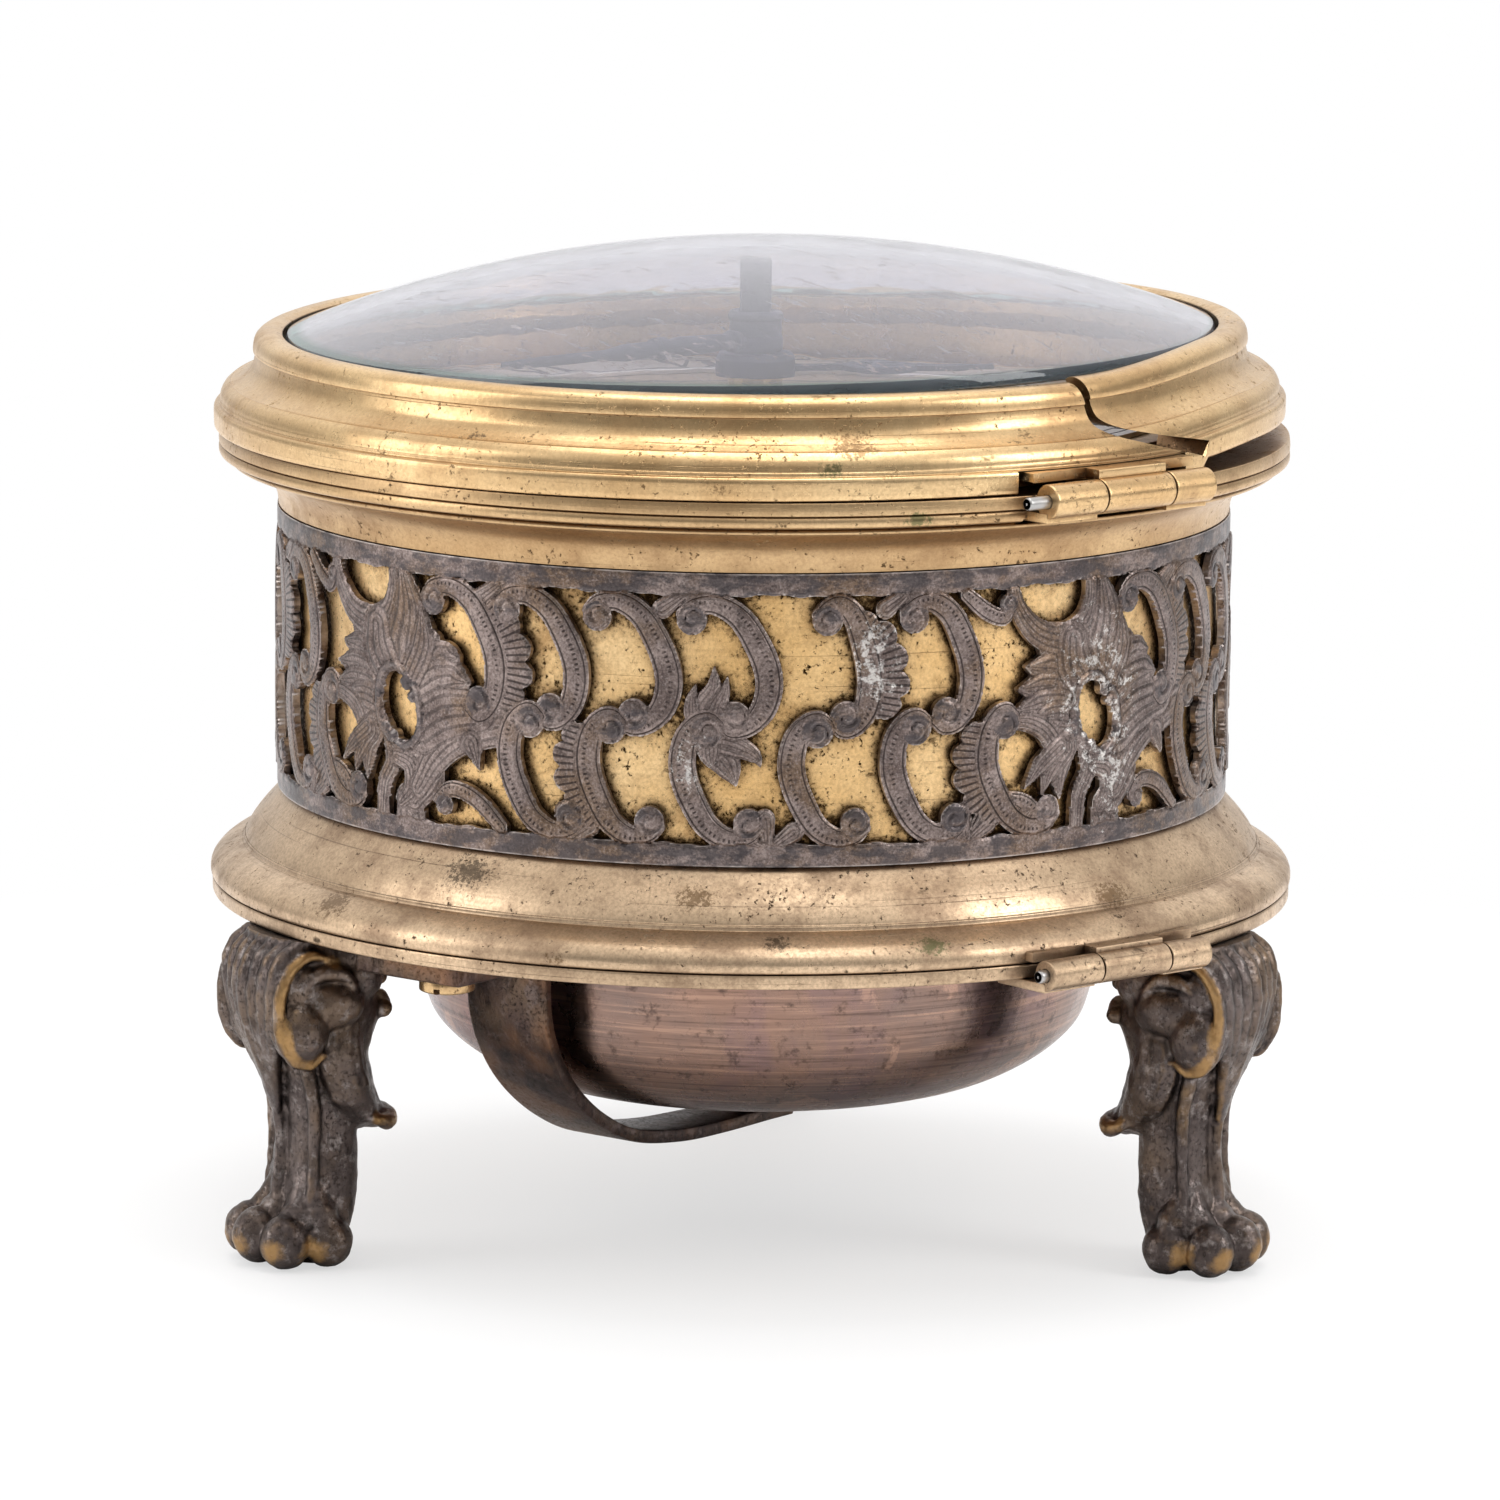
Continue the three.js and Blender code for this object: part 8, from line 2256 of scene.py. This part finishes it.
# Hinges
for name, (node, body, hinge, radius, own) in LEAVES.items():
    dress(hinge_leaf(name, node, hinge, radius, own), body, node)
dress(hinge_pin("lid_pin", "lid_hinge_pin", lid_hinge), "case", "lid_hinge_pin")
dress(hinge_pin("base_pin", "base_hinge_pin", base_hinge), "base", "base_hinge_pin")

# Dial and hands
dress(chapter_ring(), "case", "chapter_ring")
place(dial_figures(), black_wax(), "case", "dial_silver")
dress(minute_hand(), "minute_hand", "minute_hand")
dress(hour_hand(), "hour_hand", "hour_hand")
dress(setting_square(), "minute_hand", "cannon_pinion")

# What is left of the movement keeps its own solids, with their edges eased
for node, obj in frame["nodes"].items():
    if obj.hide_render:
        continue
    obj.data.materials.clear()
    obj.data.materials.append(dial_gilt if node == "dial_plate" else finishes[slot_of[node]])
    ease = obj.modifiers.new("ease", "BEVEL")
    ease.width = EASE_WIDTH * MM
    ease.segments = EASE_SEGMENTS
    ease.limit_method = "ANGLE"
    ease.angle_limit = math.radians(EASE_ANGLE)

# Camera at the photograph's angle. The distance is in metres, the shift in the photograph's pixels.
AIM_HEIGHT = 55
CAMERA_DISTANCE = 1.07554
CAMERA_RISE, CAMERA_LEAN = 9.866, 0.524
LENS, SENSOR = 217.78, 36
PHOTO_WIDTH, SHIFT_RIGHT, SHIFT_UP = 1500, -1.686, 2.611
look_at = Vector((0, 0, AIM_HEIGHT * MM))
rise, turn = math.radians(CAMERA_RISE), math.radians(VIEWER_ANGLE)
camera_data = bpy.data.cameras.new("camera")
camera_data.lens = LENS
camera_data.sensor_width = SENSOR
camera_data.shift_x = SHIFT_RIGHT / PHOTO_WIDTH
camera_data.shift_y = SHIFT_UP / PHOTO_WIDTH
camera = bpy.data.objects.new("camera", camera_data)
bpy.context.scene.collection.objects.link(camera)
towards = Vector((math.cos(rise) * math.cos(turn), math.cos(rise) * math.sin(turn), math.sin(rise)))
camera.location = look_at + CAMERA_DISTANCE * towards
camera.rotation_mode = "QUATERNION"
lean = Matrix.Rotation(math.radians(CAMERA_LEAN), 3, "Z").to_quaternion()
camera.rotation_quaternion = (look_at - camera.location).to_track_quat("-Z", "Y") @ lean
bpy.context.scene.camera = camera

# Light: a pale room with soft boxes above and to both sides. Each box: its angle from the viewer's line, its
# height and distance, the width and height of its face, all in metres, and its power.
SOFT_BOXES = {
    "box_above": (180, 1.1, 0.1, 0.6, 0.6, 4.2),
    "box_front": (18, 1.25, 0.5, 0.4, 0.3, 1.2),
    "box_left": (-76, 0.42, 0.9, 0.5, 0.75, 3.4),
    "box_right": (66, 0.55, 0.9, 0.35, 0.6, 3.8),
}
LIT_HEIGHT = 60
ROOM_DARK, ROOM_CEILING, ROOM_BEHIND = 0.04, 1.0, 0.75
CEILING_SHARE, BEHIND_SHARE = 0.9, 0.1  # where the room is brightest, and where it brightens behind the clock
FADE_START, FADE_END = 0.09, 0.22
FLOOR_GLOW = 0.6
FLOOR_HALF = 4000
FLOOR_TONE, FLOOR_ROUGHNESS = (0.94, 0.94, 0.945, 1), 0.6
WHITE = (1, 1, 1, 1)

for name, (angle, height, distance, width, tall, power) in SOFT_BOXES.items():
    light = bpy.data.lights.new(name, "AREA")
    light.shape = "RECTANGLE"
    light.size, light.size_y = width, tall
    light.energy = power
    box = bpy.data.objects.new(name, light)
    bpy.context.scene.collection.objects.link(box)
    box.location = (*polar(distance, VIEWER_ANGLE + angle), height)
    box.rotation_mode = "QUATERNION"
    box.rotation_quaternion = (Vector((0, 0, LIT_HEIGHT * MM)) - box.location).to_track_quat("-Z", "Y")

# Room: a white backdrop for the camera, and for all else a grey room that brightens towards its ceiling
world = bpy.data.worlds.new("room")
bpy.context.scene.world = world
world.use_nodes = True
tree = world.node_tree


def joined(kind, *inputs, **settings):
    """A node of the tree in hand, with its inputs filled by numbers or other nodes' outputs."""
    made = tree.nodes.new(kind)
    for key, value in settings.items():
        setattr(made, key, value)
    for socket, value in zip(made.inputs, inputs):
        if value is None:
            continue
        if hasattr(value, "links"):
            tree.links.new(value, socket)
        else:
            socket.default_value = value
    return made.outputs[0]


paths = tree.nodes.new("ShaderNodeLightPath").outputs
backdrop = joined("ShaderNodeMath", paths["Is Camera Ray"], paths["Is Transmission Ray"], operation="MAXIMUM")
way = tree.nodes.new("ShaderNodeSeparateXYZ")
tree.links.new(tree.nodes.new("ShaderNodeTexCoord").outputs["Generated"], way.inputs[0])
overhead = joined("ShaderNodeMapRange", way.outputs["Z"], 0.0, CEILING_SHARE, ROOM_DARK, ROOM_CEILING)
back_way = tree.nodes.new("ShaderNodeVectorMath")
back_way.operation = "DOT_PRODUCT"
tree.links.new(way.inputs[0].links[0].from_socket, back_way.inputs[0])
back_way.inputs[1].default_value = (*polar(-1, VIEWER_ANGLE), 0)
behind = joined("ShaderNodeMapRange", back_way.outputs["Value"], BEHIND_SHARE, 1.0, 0.0, ROOM_BEHIND)
room = joined("ShaderNodeMath", overhead, behind, operation="ADD")
strength = joined("ShaderNodeMapRange", backdrop, 0.0, 1.0, room, 1.0)
tree.links.new(strength, tree.nodes["Background"].inputs["Strength"])
tree.nodes["Background"].inputs["Color"].default_value = WHITE

# Floor: a pale table that keeps the clock's shadow and fades into the white behind it
corners = [(x * FLOOR_HALF, y * FLOOR_HALF, 0) for x, y in ((-1, -1), (1, -1), (1, 1), (-1, 1))]
floor = solid("floor", corners, [[(0, 1, 2, 3)]])
paper = bpy.data.materials.new("pale_floor")
paper.use_nodes = True
tree = paper.node_tree
shader = tree.nodes["Principled BSDF"]
shader.inputs["Base Color"].default_value = FLOOR_TONE
shader.inputs["Roughness"].default_value = FLOOR_ROUGHNESS
paths = tree.nodes.new("ShaderNodeLightPath").outputs
spot = tree.nodes.new("ShaderNodeTexCoord").outputs["Object"]
distance = tree.nodes.new("ShaderNodeVectorMath")
distance.operation = "LENGTH"
tree.links.new(spot, distance.inputs[0])
fade = joined("ShaderNodeMapRange", distance.outputs["Value"], FADE_START, FADE_END, FLOOR_GLOW, 1.0)
lift = joined("ShaderNodeMath", paths["Is Camera Ray"], fade, operation="MULTIPLY")
glow = joined("ShaderNodeEmission", None, 1.0)
mixed = joined("ShaderNodeMixShader", lift, shader.outputs[0], glow)
tree.links.new(mixed, tree.nodes["Material Output"].inputs["Surface"])
floor.data.materials.append(paper)

bpy.context.scene.view_settings.view_transform = "Standard"
